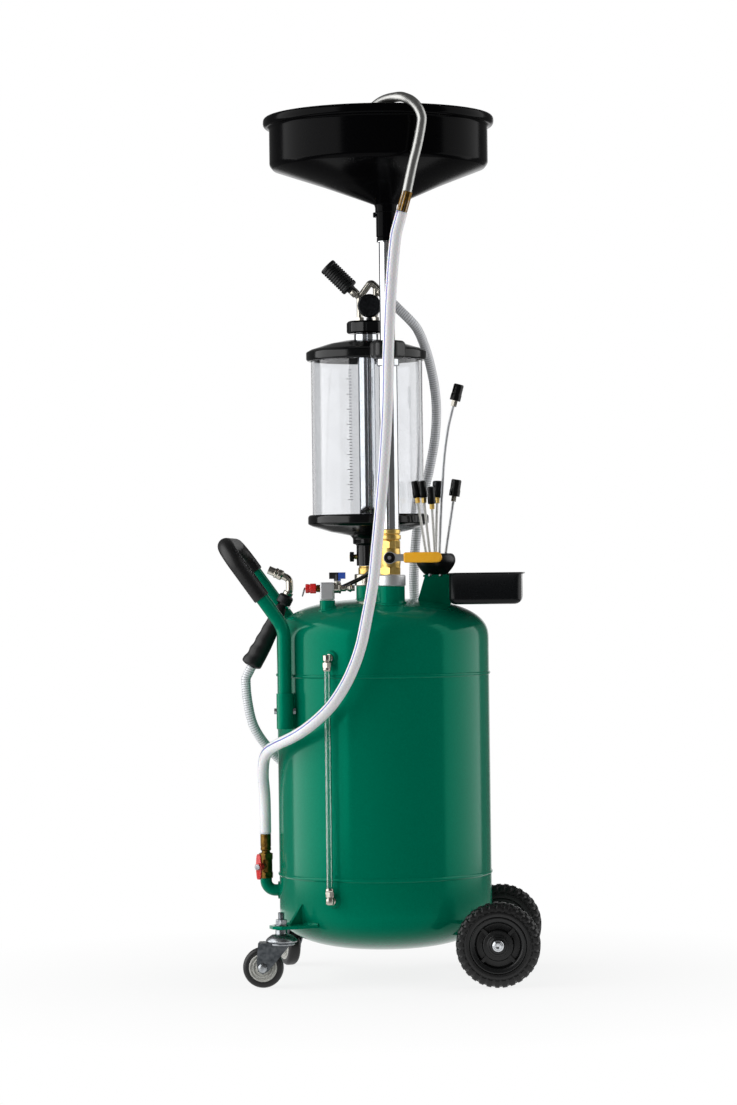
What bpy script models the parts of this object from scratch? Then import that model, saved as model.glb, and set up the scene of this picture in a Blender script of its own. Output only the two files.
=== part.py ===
"""Wheeled waste-oil drainer: a steel tank on wheels carries a drain bowl on a telescopic mast,
a clear measuring chamber, a suction line with its probes, and a discharge line with a hooked spout.
Lengths are in metres, Z is up, X points to the big wheels and Y points away from the sight tube."""

import math

import bmesh
import bpy
from mathutils import Matrix, Vector

for old in list(bpy.data.objects):
    bpy.data.objects.remove(old)

# Fits
SEAT_GAP = 0.0003
RUN_GAP = 0.0004
SMOOTH_ANGLE = math.radians(40)

# Tank
TANK_RADIUS = 0.200
TANK_WALL = 0.003
TANK_BASE_Z = 0.056
HEAD_RISE = 0.078
HEAD_POWER = 2.55
HEAD_STEPS = 5
SHELL_HEIGHT = 0.500
SHELL_LOW_Z = TANK_BASE_Z + HEAD_RISE
SHELL_HIGH_Z = SHELL_LOW_Z + SHELL_HEIGHT
CROWN_Z = SHELL_HIGH_Z + HEAD_RISE
SEAM_INSET = 0.063
SEAM_PROUD = 0.0012
SEAM_WIDTH = 0.006
TANK_SIDES = 28
CAVITY_SIDES = 16
NECK_WALL = 0.004
NECK_TOP_Z = CROWN_Z + 0.024
CHAMBER_NECK_TOP_Z = CROWN_Z + 0.0245
MAST_NECK_RADIUS = 0.0265
CHAMBER_NECK_RADIUS = 0.025
AIR_NECK_RADIUS = 0.0143
AIR_NECK_TOP_Z = CROWN_Z - 0.001

# Places on the tank, from its axis
MAST_X = 0.021
MAST_Y = -0.100
CHAMBER_X = -0.027
CHAMBER_Y = 0.055
AIR_X = -0.0965
AIR_Y = -0.107
SIGHT_ANGLE = math.radians(25.6)

# Rear wheels
WHEEL_RADIUS = 0.0775
AXLE_STANDOFF = 0.014
WHEEL_X = TANK_RADIUS + AXLE_STANDOFF
WHEEL_TRACK = 0.360
WHEEL_WIDTH = 0.040
WHEEL_RIM_RADIUS = 0.052
WHEEL_RIM_WALL = 0.006
WHEEL_WEB = 0.010
WHEEL_BOSS_RADIUS = 0.019
RIBS = 4
RIB_WIDTH = 0.0045
RIB_DEPTH = 0.0075
LUGS = 32
LUG_DEPTH = 0.0035
AXLE_RADIUS = 0.008
AXLE_TUBE_RADIUS = 0.012
AXLE_CAP_RADIUS = 0.0145
AXLE_PLATE_SPAN = 0.210
AXLE_PLATE = 0.005
AXLE_PLATE_INSET = 0.060

# Casters
CASTER_STANDOFF = 0.0479
CASTER_ANGLE = math.radians(41.73)
CASTER_X = -(TANK_RADIUS + CASTER_STANDOFF) * math.cos(CASTER_ANGLE)
CASTER_Y = (TANK_RADIUS + CASTER_STANDOFF) * math.sin(CASTER_ANGLE)
CASTER_RADIUS = 0.0375
CASTER_WIDTH = 0.024
CASTER_HUB_WIDTH = 0.029
CASTER_TRAIL = 0.034
CASTER_TURNS = {"near": 0.0, "far": math.radians(-65)}
CASTER_AXLE_RADIUS = 0.004
FORK_PLATE = 0.003
FORK_CROWN_Z = 2 * CASTER_RADIUS + 0.0045
FORK_CROWN = 0.004
FORK_FRONT = 0.012
RACE_RADIUS = 0.029
KINGPIN_RADIUS = 0.0064
BRACKET_Z = FORK_CROWN_Z + 0.0285
BRACKET_PLATE = 0.006
STEM_RADIUS = 0.006

# Push handle
HANDLE_STANDOFF = 0.0188
HANDLE_Y = 0.130
HANDLE_X = -math.sqrt((TANK_RADIUS + HANDLE_STANDOFF) ** 2 - HANDLE_Y**2)
HANDLE_RADIUS = 0.0125
HANDLE_FOOT_Z = SHELL_HIGH_Z - 0.152
HANDLE_KNEE_Z = SHELL_HIGH_Z + 0.026
HANDLE_RAKE = 0.110
HANDLE_BAR_X = HANDLE_X - HANDLE_RAKE
HANDLE_BAR_Z = SHELL_HIGH_Z + 0.180
HANDLE_KNEE_BEND = 0.060
HANDLE_BAR_BEND = 0.045
SOCKET_WALL = 0.003
SOCKET_HEIGHT = 0.066
SOCKET_LOW_Z = HANDLE_FOOT_Z - 0.008
SOCKET_HIGH_Z = SOCKET_LOW_Z + SOCKET_HEIGHT
GRIP_WALL = 0.003
GRIP_NEAR_END_Z = HANDLE_BAR_Z - 0.0975
GRIP_FAR_END_Z = HANDLE_BAR_Z - 0.049

# Sight tube
SIGHT_STANDOFF = 0.015
SIGHT_REACH = TANK_RADIUS + SIGHT_STANDOFF
SIGHT_TUBE_RADIUS = 0.006
SIGHT_TUBE_WALL = 0.0012
SIGHT_LOW_Z = SHELL_LOW_Z + 0.026
SIGHT_HIGH_Z = SHELL_HIGH_Z - 0.028
SIGHT_BOSS_RADIUS = 0.012
SIGHT_BOSS_PROUD = 0.0045
SIGHT_BOSS_REACH = TANK_RADIUS + SIGHT_BOSS_PROUD
SIGHT_NUT_RADIUS = 0.0085
SIGHT_NUT_LENGTH = 0.024

# Discharge outlet
OUTLET_STANDOFF = 0.026
OUTLET_X = -TANK_RADIUS - OUTLET_STANDOFF
OUTLET_Z = SHELL_LOW_Z + 0.030
OUTLET_RADIUS = 0.011
OUTLET_TOP_Z = OUTLET_Z + 0.023
OUTLET_BEND = 0.018
DISCHARGE_HEX_RADIUS = 0.0145
DISCHARGE_BARREL_RADIUS = 0.012
DISCHARGE_STEM_Z = OUTLET_TOP_Z + 0.023
DISCHARGE_TOP_Z = DISCHARGE_STEM_Z + 0.024
FERRULE_RADIUS = 0.0100
FERRULE_TOP_Z = DISCHARGE_TOP_Z + 0.036
BUTTERFLY_REACH = 0.024
DISCHARGE_STEM_TURN = math.radians(-25)

# Main valve and mast
RING_NUT_RADIUS = 0.028
RING_NUT_HEIGHT = 0.0205
VALVE_HEX_RADIUS = 0.0212
VALVE_BARREL_RADIUS = 0.0185
VALVE_BORE_RADIUS = 0.0115
VALVE_HEX_HEIGHT = 0.0145
VALVE_BARREL_HEIGHT = 0.034
VALVE_UNION_HEIGHT = 0.021
BALL_RADIUS = 0.0150
VALVE_STEM_RADIUS = 0.004
VALVE_GLAND_RADIUS = 0.0085
VALVE_GLAND_REACH = 0.0235
LEVER_LENGTH = 0.094
LEVER_WIDTH = 0.013
LEVER_PLATE = 0.003
LEVER_HEEL = 0.012
SLEEVE_START = 0.026
SLEEVE_LENGTH = 0.071
SLEEVE_WIDTH = 0.0195
SLEEVE_THICKNESS = 0.008
MAST_OUTER_RADIUS = 0.0175
MAST_OUTER_WALL = 0.0019
MAST_OUTER_LENGTH = 0.317
MAST_COLLAR_RADIUS = 0.0215
MAST_COLLAR_HEIGHT = 0.013
MAST_INNER_RADIUS = 0.014
MAST_INNER_WALL = 0.002
MAST_GUIDE_HEIGHT = 0.020
MAST_INSERT_DEPTH = 0.190
LOCK_NUT_RADIUS = 0.033
LOCK_NUT_HEIGHT = 0.033

# Drain bowl
BOWL_RIM_Z = 1.607
BOWL_RIM_RADIUS = 0.2145
BOWL_WALL = 0.0025
BOWL_WALL_RADIUS = 0.203
BOWL_LIP_HEIGHT = 0.019
BOWL_WALL_HEIGHT = 0.0935
BOWL_CORNER = 0.006
BOWL_CONE_HEIGHT = 0.0705
BOWL_OFFSET = -0.0125
BOWL_COLLAR_WALL = 0.0042
BOWL_COLLAR_HEIGHT = 0.068
BOWL_SIDES = 32
CLAMP_SCREW_RADIUS = 0.003
CLAMP_HEAD_RADIUS = 0.0052

# Measuring chamber
FLANGE_RADIUS = 0.115
FLANGE_HEIGHT = 0.021
CYLINDER_RADIUS = 0.106
CYLINDER_WALL = 0.005
CYLINDER_HEIGHT = 0.3067
CYLINDER_SEAT = 0.0075
BASE_DISH = 0.0245
LID_DOME = 0.0175
CENTRE_TUBE_RADIUS = 0.0165
CENTRE_TUBE_WALL = 0.002
CENTRE_COLLAR_RADIUS = 0.023
CENTRE_COLLAR_HEIGHT = 0.0127
TOP_NUT_RADIUS = 0.037
TOP_NUT_HEIGHT = 0.024
OUTLET_BODY_RADIUS = 0.0235
OUTLET_BODY_LENGTH = 0.0517
OUTLET_COLLAR_RADIUS = 0.030
OUTLET_COLLAR_HEIGHT = 0.010
NIPPLE_RADIUS = 0.0205
NIPPLE_HEIGHT = 0.0155
CHAMBER_RING_HEIGHT = 0.022
COCK_KNOB_RADIUS = 0.0095
COCK_REACH = 0.0365
GAUGE_RADIUS = 0.0212
GAUGE_DEPTH = 0.022
GAUGE_FORWARD = 0.022
GAUGE_ASIDE = 0.008
ELBOW_BACK = 0.023
ELBOW_RADIUS = 0.0062
SILENCER_RADIUS = 0.017
SILENCER_LENGTH = 0.068
SILENCER_RIBS = 6

# Air side
MANIFOLD_WIDTH = 0.026
MANIFOLD_HEIGHT = 0.033
PORT_DROP = 0.011
SAFETY_RADIUS = 0.0095
SAFETY_LENGTH = 0.027
AIR_VALVE_RADIUS = 0.009
AIR_VALVE_LENGTH = 0.012
NIPPLE_LENGTH = 0.026
AIR_LEVER_LENGTH = 0.030
AIR_TAIL_LENGTH = 0.020
PULL_RING_RADIUS = 0.0075
PULL_WIRE_RADIUS = 0.0012

# Suction side
SUCTION_GRIP_NECK = Vector((HANDLE_X - 0.0205, HANDLE_Y - 0.035, HANDLE_KNEE_Z + 0.0415))
SUCTION_GRIP_FOOT = SUCTION_GRIP_NECK - Vector((0.0605, 0, 0.1175))
SUCTION_NECK_RADIUS = 0.008
SUCTION_NUT_RADIUS = 0.0145
CONNECTOR_RADIUS = 0.0068
COUPLER_RADIUS = 0.0098
FORK_CLIP = 0.003

# Probes and tray
HOLDER_X = 0.102
HOLDER_MOUTH_RADIUS = 0.037
HOLDER_WAIST_RADIUS = 0.0205
HOLDER_FOOT_RADIUS = 0.023
HOLDER_WALL = 0.003
HOLDER_FOOT_Z = CROWN_Z - 0.0015
HOLDER_MOUTH_HEIGHT = 0.020
HOLDER_FLARE_HEIGHT = 0.020
HOLDER_BRACKET_Z = CROWN_Z + 0.044
HOLDER_BRACKET = 0.004
PROBE_RADIUS = 0.0025
PROBE_CIRCLE = 0.006
PROBE_CAP_RADIUS = 0.0075
WIDE_CAP_RADIUS = 0.0102
PROBE_CAP_LENGTH = 0.032
PROBE_NUT_RADIUS = 0.0055
PROBE_NUT_LENGTH = 0.010
TRAY_LENGTH = 0.133
TRAY_DEPTH = 0.300
TRAY_HEIGHT = 0.058
TRAY_WALL = 0.0025
TRAY_LIP = 0.005
TRAY_CORNER = 0.012

# Hoses
DISCHARGE_HOSE_RADIUS = 0.0105
SUCTION_HOSE_RADIUS = 0.009
AIR_HOSE_RADIUS = 0.004
HOOK_RADIUS = 0.009
HOOK_WALL = 0.0012
HOOK_FERRULE_RADIUS = 0.0098
HOOK_FERRULE_LENGTH = 0.037
HOOK_FRONT_REACH = 0.224

# Levels and edges that follow from the sizes above
GRIP_RADIUS = HANDLE_RADIUS + SEAT_GAP + GRIP_WALL
AXLE_REACH = WHEEL_TRACK / 2 + WHEEL_WIDTH / 2
CASTER_SWING = -math.sin(CASTER_TURNS["far"])
CASTER_REACH = CASTER_Y + (CASTER_TRAIL + CASTER_RADIUS) * CASTER_SWING + CASTER_WIDTH / 4

# The frame's origin lies on the floor, under the middle of the outline
FRAME = bpy.data.objects.new("frame", None)
FRAME.location = (
    -(HANDLE_BAR_X - GRIP_RADIUS + WHEEL_X + WHEEL_RADIUS) / 2,
    -(MAST_Y - HOOK_FRONT_REACH + CASTER_REACH) / 2,
    0,
)
bpy.context.scene.collection.objects.link(FRAME)


def linear(code):
    """An sRGB hex colour as linear red, green and blue."""
    shares = [int(code[place : place + 2], 16) / 255 for place in (0, 2, 4)]
    return [s / 12.92 if s <= 0.04045 else ((s + 0.055) / 1.055) ** 2.4 for s in shares]


def finish(name, code, roughness, metallic=0.0, transmission=0.0):
    """A material with one colour and gloss."""
    made = bpy.data.materials.new(name)
    made.use_nodes = True
    shader = made.node_tree.nodes["Principled BSDF"]
    shader.inputs["Base Color"].default_value = (*linear(code), 1)
    shader.inputs["Roughness"].default_value = roughness
    shader.inputs["Metallic"].default_value = metallic
    shader.inputs["Transmission Weight"].default_value = transmission
    made.diffuse_color = (*linear(code), 1)
    return made


GREEN = finish("green_enamel", "00785a", 0.3)
BLACK = finish("black_plastic", "141516", 0.35)
RUBBER = finish("black_rubber", "1b1b1c", 0.7)
CHROME = finish("chromed_steel", "d8dadc", 0.1, 1.0)
ZINC = finish("zinc_plated_steel", "a9adb0", 0.35, 1.0)
NICKEL = finish("nickel_plated_brass", "c9c5ba", 0.2, 1.0)
BRASS = finish("brass", "d0a040", 0.25, 1.0)
ALUMINIUM = finish("aluminium", "cfd2d4", 0.35, 1.0)
CLEAR = finish("clear_acrylic", "f2f6f6", 0.05, 0.0, 1.0)
HOSE = finish("milky_hose", "dfe0e2", 0.35, 0.0, 0.4)
RED = finish("red_lacquer", "c4181c", 0.35)
YELLOW = finish("yellow_vinyl", "f2a70c", 0.45)


def mesh_of(shape):
    """The finished mesh of a bmesh, smooth where it is round."""
    bmesh.ops.remove_doubles(shape, verts=shape.verts, dist=1e-6)
    bmesh.ops.recalc_face_normals(shape, faces=shape.faces)
    mesh = bpy.data.meshes.new("shape")
    shape.to_mesh(mesh)
    shape.free()
    mesh.shade_smooth()
    mesh.set_sharp_from_angle(angle=SMOOTH_ANGLE)
    return mesh


def turned(outline, sides):
    """Turn an outline of (radius, height) points about Z."""
    shape = bmesh.new()
    points = [shape.verts.new((radius, 0, height)) for radius, height in outline]
    ends = points[1:] if outline[0][0] == 0 else points[1:] + points[:1]
    edges = [shape.edges.new(pair) for pair in zip(points, ends)]
    bmesh.ops.spin(
        shape, geom=points + edges, axis=(0, 0, 1), angle=2 * math.pi, steps=sides, use_merge=True
    )
    return mesh_of(shape)


def rod(radius, low, high, sides=16):
    """A round bar from one height to another."""
    return turned([(0, low), (radius, low), (radius, high), (0, high)], sides)


def pipe(radius, bore, low, high, sides):
    """A round tube from one height to another."""
    return turned([(bore, low), (radius, low), (radius, high), (bore, high)], sides)


def lofted(rings, loop=False):
    """Skin over a row of rings; a loop joins the last ring to the first, else both ends are closed."""
    shape = bmesh.new()
    rows = [[shape.verts.new(point) for point in ring] for ring in rings]
    pairs = list(zip(rows, rows[1:]))
    if loop:
        pairs.append((rows[-1], rows[0]))
    else:
        shape.faces.new(rows[0])
        shape.faces.new(rows[-1])
    for row, following in pairs:
        for place in range(len(row)):
            after = (place + 1) % len(row)
            shape.faces.new((row[place], row[after], following[after], following[place]))
    return mesh_of(shape)


def extruded(outline, low, high):
    """A flat outline in X and Y, drawn up along Z."""
    return lofted([[(x, y, z) for x, y in outline] for z in (low, high)])


def block(low, high):
    """A box between two corners."""
    base = [(low[0], low[1]), (high[0], low[1]), (high[0], high[1]), (low[0], high[1])]
    return extruded(base, low[2], high[2])


def frames_along(path):
    """Two directions square to the path at each point, carried along it without twist."""
    path = [Vector(point) for point in path]
    ways = [(b - a).normalized() for a, b in zip(path, path[1:])]
    tangents = [ways[0]] + [(a + b).normalized() for a, b in zip(ways, ways[1:])] + [ways[-1]]
    side = Vector((0, 1, 0)) if abs(tangents[0].y) < 0.9 else Vector((1, 0, 0))
    found = []
    for before, tangent in zip([tangents[0]] + tangents, tangents):
        side = before.rotation_difference(tangent) @ side
        side = (side - tangent * side.dot(tangent)).normalized()
        found.append((side, tangent.cross(side)))
    return found


def swept(path, radii, sides, bore=0.0):
    """A round bar along a path, with a radius for each point; a bore makes it a pipe."""
    frames = frames_along(path)
    turns = [2 * math.pi * place / sides for place in range(sides)]

    def ring(place, radius):
        across, up = frames[place]
        centre = Vector(path[place])
        return [centre + (across * math.cos(turn) + up * math.sin(turn)) * radius for turn in turns]

    rings = [ring(place, radii[place]) for place in range(len(path))]
    if not bore:
        return lofted(rings)
    return lofted(rings + [ring(place, bore) for place in reversed(range(len(path)))], loop=True)


def rounded(corners, bends, steps=4):
    """A path through corners, each inner corner turned on its own bend radius."""
    corners = [Vector(corner) for corner in corners]
    path = [corners[0]]
    for before, corner, after, bend in zip(corners, corners[1:], corners[2:], bends):
        arrive = (corner - before).normalized()
        leave = (after - corner).normalized()
        half = arrive.angle(leave) / 2
        start = corner - arrive * bend * math.tan(half)
        inward = (leave - arrive).normalized()
        centre = corner + inward * bend / math.cos(half)
        spoke = start - centre
        axis = arrive.cross(leave)
        for step in range(steps + 1):
            path.append(centre + Matrix.Rotation(2 * half * step / steps, 3, axis) @ spoke)
    return path + [corners[-1]]


def smooth(points, spacing):
    """A path through the given points: straight at both ends, evenly spaced on a smooth curve between."""
    points = [Vector(point) for point in points]
    fine = []
    for a, b, c, d in zip(points, points[1:], points[2:], points[3:]):
        for step in range(16):
            t = step / 16
            bend = (2 * a - 5 * b + 4 * c - d) * t**2 + (3 * b - a - 3 * c + d) * t**3
            fine.append(0.5 * (2 * b + (c - a) * t + bend))
    fine.append(points[-2])
    reach = [0.0]
    for a, b in zip(fine, fine[1:]):
        reach.append(reach[-1] + (b - a).length)
    count = max(2, round(reach[-1] / spacing))
    chosen = []
    place = 0
    for step in range(count + 1):
        goal = reach[-1] * step / count
        while place < len(reach) - 2 and reach[place + 1] < goal:
            place += 1
        share = (goal - reach[place]) / (reach[place + 1] - reach[place])
        chosen.append(fine[place].lerp(fine[place + 1], min(share, 1.0)))
    return [points[0]] + chosen + [points[-1]]


def length_of(path):
    """The length of a path through its points."""
    return sum((b - a).length for a, b in zip(path, path[1:]))


def aim(direction):
    """The turn that points Z along a direction."""
    return Vector(direction).to_track_quat("Z", "Y").to_euler()


def add(name, mesh, finish, at=(0, 0, 0), turn=(0, 0, 0), carrier=FRAME):
    """A named piece, placed on what carries it."""
    mesh.name = name
    mesh.materials.append(finish)
    piece = bpy.data.objects.new(name, mesh)
    piece.location = at
    piece.rotation_euler = turn
    piece.parent = carrier
    bpy.context.scene.collection.objects.link(piece)
    return piece


def pivot(name, at, turn=(0, 0, 0), carrier=FRAME):
    """An empty on a joint's axis."""
    empty = bpy.data.objects.new(name, None)
    empty.location = at
    empty.rotation_euler = turn
    empty.parent = carrier
    bpy.context.scene.collection.objects.link(empty)
    return empty


def shape_by(piece, operation, name, mesh, at=(0, 0, 0), turn=(0, 0, 0), carrier=FRAME):
    """Join or cut a piece with a helper solid."""
    tool = add(f"{piece.name}_{name}", mesh, BLACK, at, turn, carrier)
    tool.hide_render = True
    tool.display_type = "WIRE"
    step = piece.modifiers.new(name, "BOOLEAN")
    step.operation = operation
    step.object = tool


def hose(name, points, radius, finish, spacing):
    """A round cord along a smooth curve through hand-chosen points."""
    curve = bpy.data.curves.new(name, "CURVE")
    curve.dimensions = "3D"
    curve.bevel_depth = radius
    curve.bevel_resolution = 2
    curve.use_fill_caps = True
    path = smooth(points, spacing)
    line = curve.splines.new("POLY")
    line.points.add(len(path) - 1)
    for spot, point in zip(line.points, path):
        spot.co = (*point, 1)
    curve.materials.append(finish)
    piece = bpy.data.objects.new(name, curve)
    piece.parent = FRAME
    bpy.context.scene.collection.objects.link(piece)
    print(f"{name}: {length_of(path):.3f} m, {len(path)} points")


def head_points(grow, steps):
    """A quarter of a dished head, from its edge to its crown, with the surface moved out by grow."""
    turns = [math.pi / 2 * step / steps for step in range(steps)]
    power = 2 / HEAD_POWER
    rim = [
        ((TANK_RADIUS + grow) * math.cos(turn) ** power, (HEAD_RISE + grow) * math.sin(turn) ** power)
        for turn in turns
    ]
    return rim + [(0, HEAD_RISE + grow)]


def tank_outline(grow, seams=(), steps=HEAD_STEPS):
    """The tank's outline from the bottom crown to the top crown."""
    low = [(radius, SHELL_LOW_Z - rise) for radius, rise in reversed(head_points(grow, steps))]
    high = [(radius, SHELL_HIGH_Z + rise) for radius, rise in head_points(grow, steps)]
    beads = []
    for seam in seams:
        beads.append((TANK_RADIUS + grow, seam - SEAM_WIDTH / 2))
        beads.append((TANK_RADIUS + grow + SEAM_PROUD, seam))
        beads.append((TANK_RADIUS + grow, seam + SEAM_WIDTH / 2))
    return low + beads + high


def dome_z(distance):
    """The height of the tank's top at a distance from its axis."""
    return SHELL_HIGH_Z + HEAD_RISE * (1 - (distance / TANK_RADIUS) ** HEAD_POWER) ** (1 / HEAD_POWER)


# Tank: shell, necks, sockets, bosses, outlet elbow and probe bracket are welded into one piece
seam_levels = (SHELL_LOW_Z + SEAM_INSET, SHELL_HIGH_Z - SEAM_INSET)
tank = add("tank_shell", turned(tank_outline(0, seam_levels), TANK_SIDES), GREEN)
necks = {
    "mast_neck": (MAST_X, MAST_Y, MAST_NECK_RADIUS, NECK_TOP_Z),
    "chamber_neck": (CHAMBER_X, CHAMBER_Y, CHAMBER_NECK_RADIUS, CHAMBER_NECK_TOP_Z),
    "air_neck": (AIR_X, AIR_Y, AIR_NECK_RADIUS, AIR_NECK_TOP_Z),
}
for name, (x, y, radius, top) in necks.items():
    root = dome_z(math.hypot(x, y) + radius) - 2 * TANK_WALL
    shape_by(tank, "UNION", name, rod(radius, root, top, 14), at=(x, y, 0))
socket_radius = HANDLE_RADIUS + SEAT_GAP + SOCKET_WALL
socket_turn = math.atan2(HANDLE_Y, HANDLE_X)
for side, sign in (("near", -1), ("far", 1)):
    spot = (HANDLE_X, sign * HANDLE_Y, 0)
    reach = math.hypot(HANDLE_X, HANDLE_Y)
    shape_by(tank, "UNION", f"{side}_socket", rod(socket_radius, SOCKET_LOW_Z, SOCKET_HIGH_Z, 12), at=spot)
    web = block(
        (TANK_RADIUS - TANK_WALL / 2, -HANDLE_RADIUS / 2, SOCKET_LOW_Z + SOCKET_WALL),
        (reach - HANDLE_RADIUS / 2, HANDLE_RADIUS / 2, SOCKET_HIGH_Z - SOCKET_WALL),
    )
    shape_by(tank, "UNION", f"{side}_web", web, turn=(0, 0, sign * socket_turn))
sight_way = Vector((-math.sin(SIGHT_ANGLE), -math.cos(SIGHT_ANGLE), 0))
for level, height in (("low", SIGHT_LOW_Z), ("high", SIGHT_HIGH_Z)):
    boss = rod(SIGHT_BOSS_RADIUS, TANK_RADIUS - 4 * TANK_WALL, SIGHT_BOSS_REACH, 12)
    shape_by(tank, "UNION", f"{level}_sight_boss", boss, at=(0, 0, height), turn=aim(sight_way))
collar_end = -TANK_RADIUS - TANK_WALL
collar_path = [(-TANK_RADIUS + 3 * TANK_WALL, 0, OUTLET_Z), (collar_end, 0, OUTLET_Z)]
elbow_path = rounded(
    [(collar_end - SEAT_GAP, 0, OUTLET_Z), (OUTLET_X, 0, OUTLET_Z), (OUTLET_X, 0, OUTLET_TOP_Z)],
    [OUTLET_BEND],
)
elbow_radii = [OUTLET_RADIUS * 1.5] * 2 + [OUTLET_RADIUS] * len(elbow_path)
shape_by(tank, "UNION", "outlet_elbow", swept(collar_path + elbow_path, elbow_radii, 10))
tray_x = HOLDER_X + HOLDER_FOOT_RADIUS + HOLDER_BRACKET + HOLDER_WALL / 2
bracket_front = -HOLDER_FOOT_RADIUS - HOLDER_WALL - HOLDER_BRACKET
bracket_root = dome_z(tray_x) - 4 * TANK_WALL
bracket_left = HOLDER_X - HOLDER_FOOT_RADIUS
bracket = extruded(
    [
        (bracket_left, HOLDER_BRACKET_Z - HOLDER_BRACKET),
        (tray_x - HOLDER_BRACKET, HOLDER_BRACKET_Z - HOLDER_BRACKET),
        (tray_x - HOLDER_BRACKET, bracket_root),
        (tray_x, bracket_root),
        (tray_x, HOLDER_BRACKET_Z),
        (bracket_left, HOLDER_BRACKET_Z),
    ],
    bracket_front,
    -bracket_front,
)
shape_by(tank, "UNION", "probe_bracket", bracket, turn=(math.pi / 2, 0, 0))
gusset = extruded(
    [
        (bracket_left + HOLDER_WALL, HOLDER_BRACKET_Z - HOLDER_BRACKET / 2),
        (HOLDER_X - HOLDER_WAIST_RADIUS / 2, bracket_root),
        (tray_x - HOLDER_BRACKET / 2, bracket_root),
        (tray_x - HOLDER_BRACKET / 2, HOLDER_BRACKET_Z - HOLDER_BRACKET / 2),
    ],
    -bracket_front - HOLDER_BRACKET,
    -bracket_front - SEAT_GAP,
)
shape_by(tank, "UNION", "probe_gusset", gusset, turn=(math.pi / 2, 0, 0))
shape_by(tank, "DIFFERENCE", "cavity", turned(tank_outline(-TANK_WALL, steps=HEAD_STEPS - 2), CAVITY_SIDES))
for name, (x, y, radius, top) in necks.items():
    bore = rod(radius - NECK_WALL, dome_z(math.hypot(x, y) + radius) - 6 * TANK_WALL, top + NECK_WALL, 10)
    shape_by(tank, "DIFFERENCE", f"{name}_bore", bore, at=(x, y, 0))
for side, sign in (("near", -1), ("far", 1)):
    bore = rod(HANDLE_RADIUS + SEAT_GAP, SOCKET_LOW_Z - SOCKET_WALL, SOCKET_HIGH_Z + SOCKET_WALL, 16)
    shape_by(tank, "DIFFERENCE", f"{side}_socket_bore", bore, at=(HANDLE_X, sign * HANDLE_Y, 0))
slot_radius = HOLDER_WAIST_RADIUS + SEAT_GAP
slot_turns = [math.pi + math.pi * step / 12 for step in range(13)]
slot_edge = [(HOLDER_X + slot_radius * math.cos(t), slot_radius * math.sin(t)) for t in slot_turns]
slot_edge += [(HOLDER_X + slot_radius, -2 * bracket_front), (HOLDER_X - slot_radius, -2 * bracket_front)]
slot = extruded(slot_edge, HOLDER_BRACKET_Z - 2 * HOLDER_BRACKET, HOLDER_BRACKET_Z + HOLDER_BRACKET)
shape_by(tank, "DIFFERENCE", "probe_slot", slot)

# Casters: bracket on the tank, stem with its nut, swivel fork with axle bolt, bonded wheel
crown_top = FORK_CROWN_Z + FORK_CROWN
stem_seat = BRACKET_Z - SEAT_GAP
plate_top = BRACKET_Z + BRACKET_PLATE
caster_reach = math.hypot(CASTER_X, CASTER_Y)
inner_half = CASTER_HUB_WIDTH / 2 + SEAT_GAP
outer_half = inner_half + FORK_PLATE
crown_back = -CASTER_TRAIL - 0.008
leg = [
    (FORK_FRONT, crown_top),
    (crown_back, crown_top),
    (-CASTER_TRAIL - 0.011, CASTER_RADIUS + 0.010),
    (-CASTER_TRAIL - 0.009, CASTER_RADIUS - 0.006),
    (-CASTER_TRAIL, CASTER_RADIUS - 0.011),
    (-CASTER_TRAIL + 0.010, CASTER_RADIUS - 0.006),
    (FORK_FRONT, FORK_CROWN_Z - 0.006),
]
tread_edge = CASTER_WIDTH / 2
caster_outline = [
    (CASTER_AXLE_RADIUS + RUN_GAP, -CASTER_HUB_WIDTH / 2),
    (0.010, -CASTER_HUB_WIDTH / 2),
    (0.014, -tread_edge + 0.003),
    (0.026, -tread_edge),
    (CASTER_RADIUS - 0.005, -tread_edge),
    (CASTER_RADIUS, -tread_edge + 0.006),
    (CASTER_RADIUS, tread_edge - 0.006),
    (CASTER_RADIUS - 0.005, tread_edge),
    (0.026, tread_edge),
    (0.014, tread_edge - 0.003),
    (0.010, CASTER_HUB_WIDTH / 2),
    (CASTER_AXLE_RADIUS + RUN_GAP, CASTER_HUB_WIDTH / 2),
]
stem_outline = [
    (0, FORK_CROWN_Z - 0.004),
    (KINGPIN_RADIUS + 0.003, FORK_CROWN_Z - 0.004),
    (KINGPIN_RADIUS + 0.003, FORK_CROWN_Z - RUN_GAP),
    (KINGPIN_RADIUS, FORK_CROWN_Z - RUN_GAP),
    (KINGPIN_RADIUS, crown_top + RUN_GAP),
    (RACE_RADIUS, crown_top + RUN_GAP),
    (RACE_RADIUS, crown_top + 0.005),
    (RACE_RADIUS * 0.6, crown_top + 0.014),
    (0.011, crown_top + 0.014),
    (0.011, stem_seat),
    (STEM_RADIUS, stem_seat),
    (STEM_RADIUS, plate_top + SEAT_GAP),
    (0.0105, plate_top + SEAT_GAP),
    (0.0105, plate_top + 0.0105),
    (STEM_RADIUS, plate_top + 0.0115),
    (STEM_RADIUS, plate_top + 0.024),
    (0, plate_top + 0.025),
]
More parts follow.
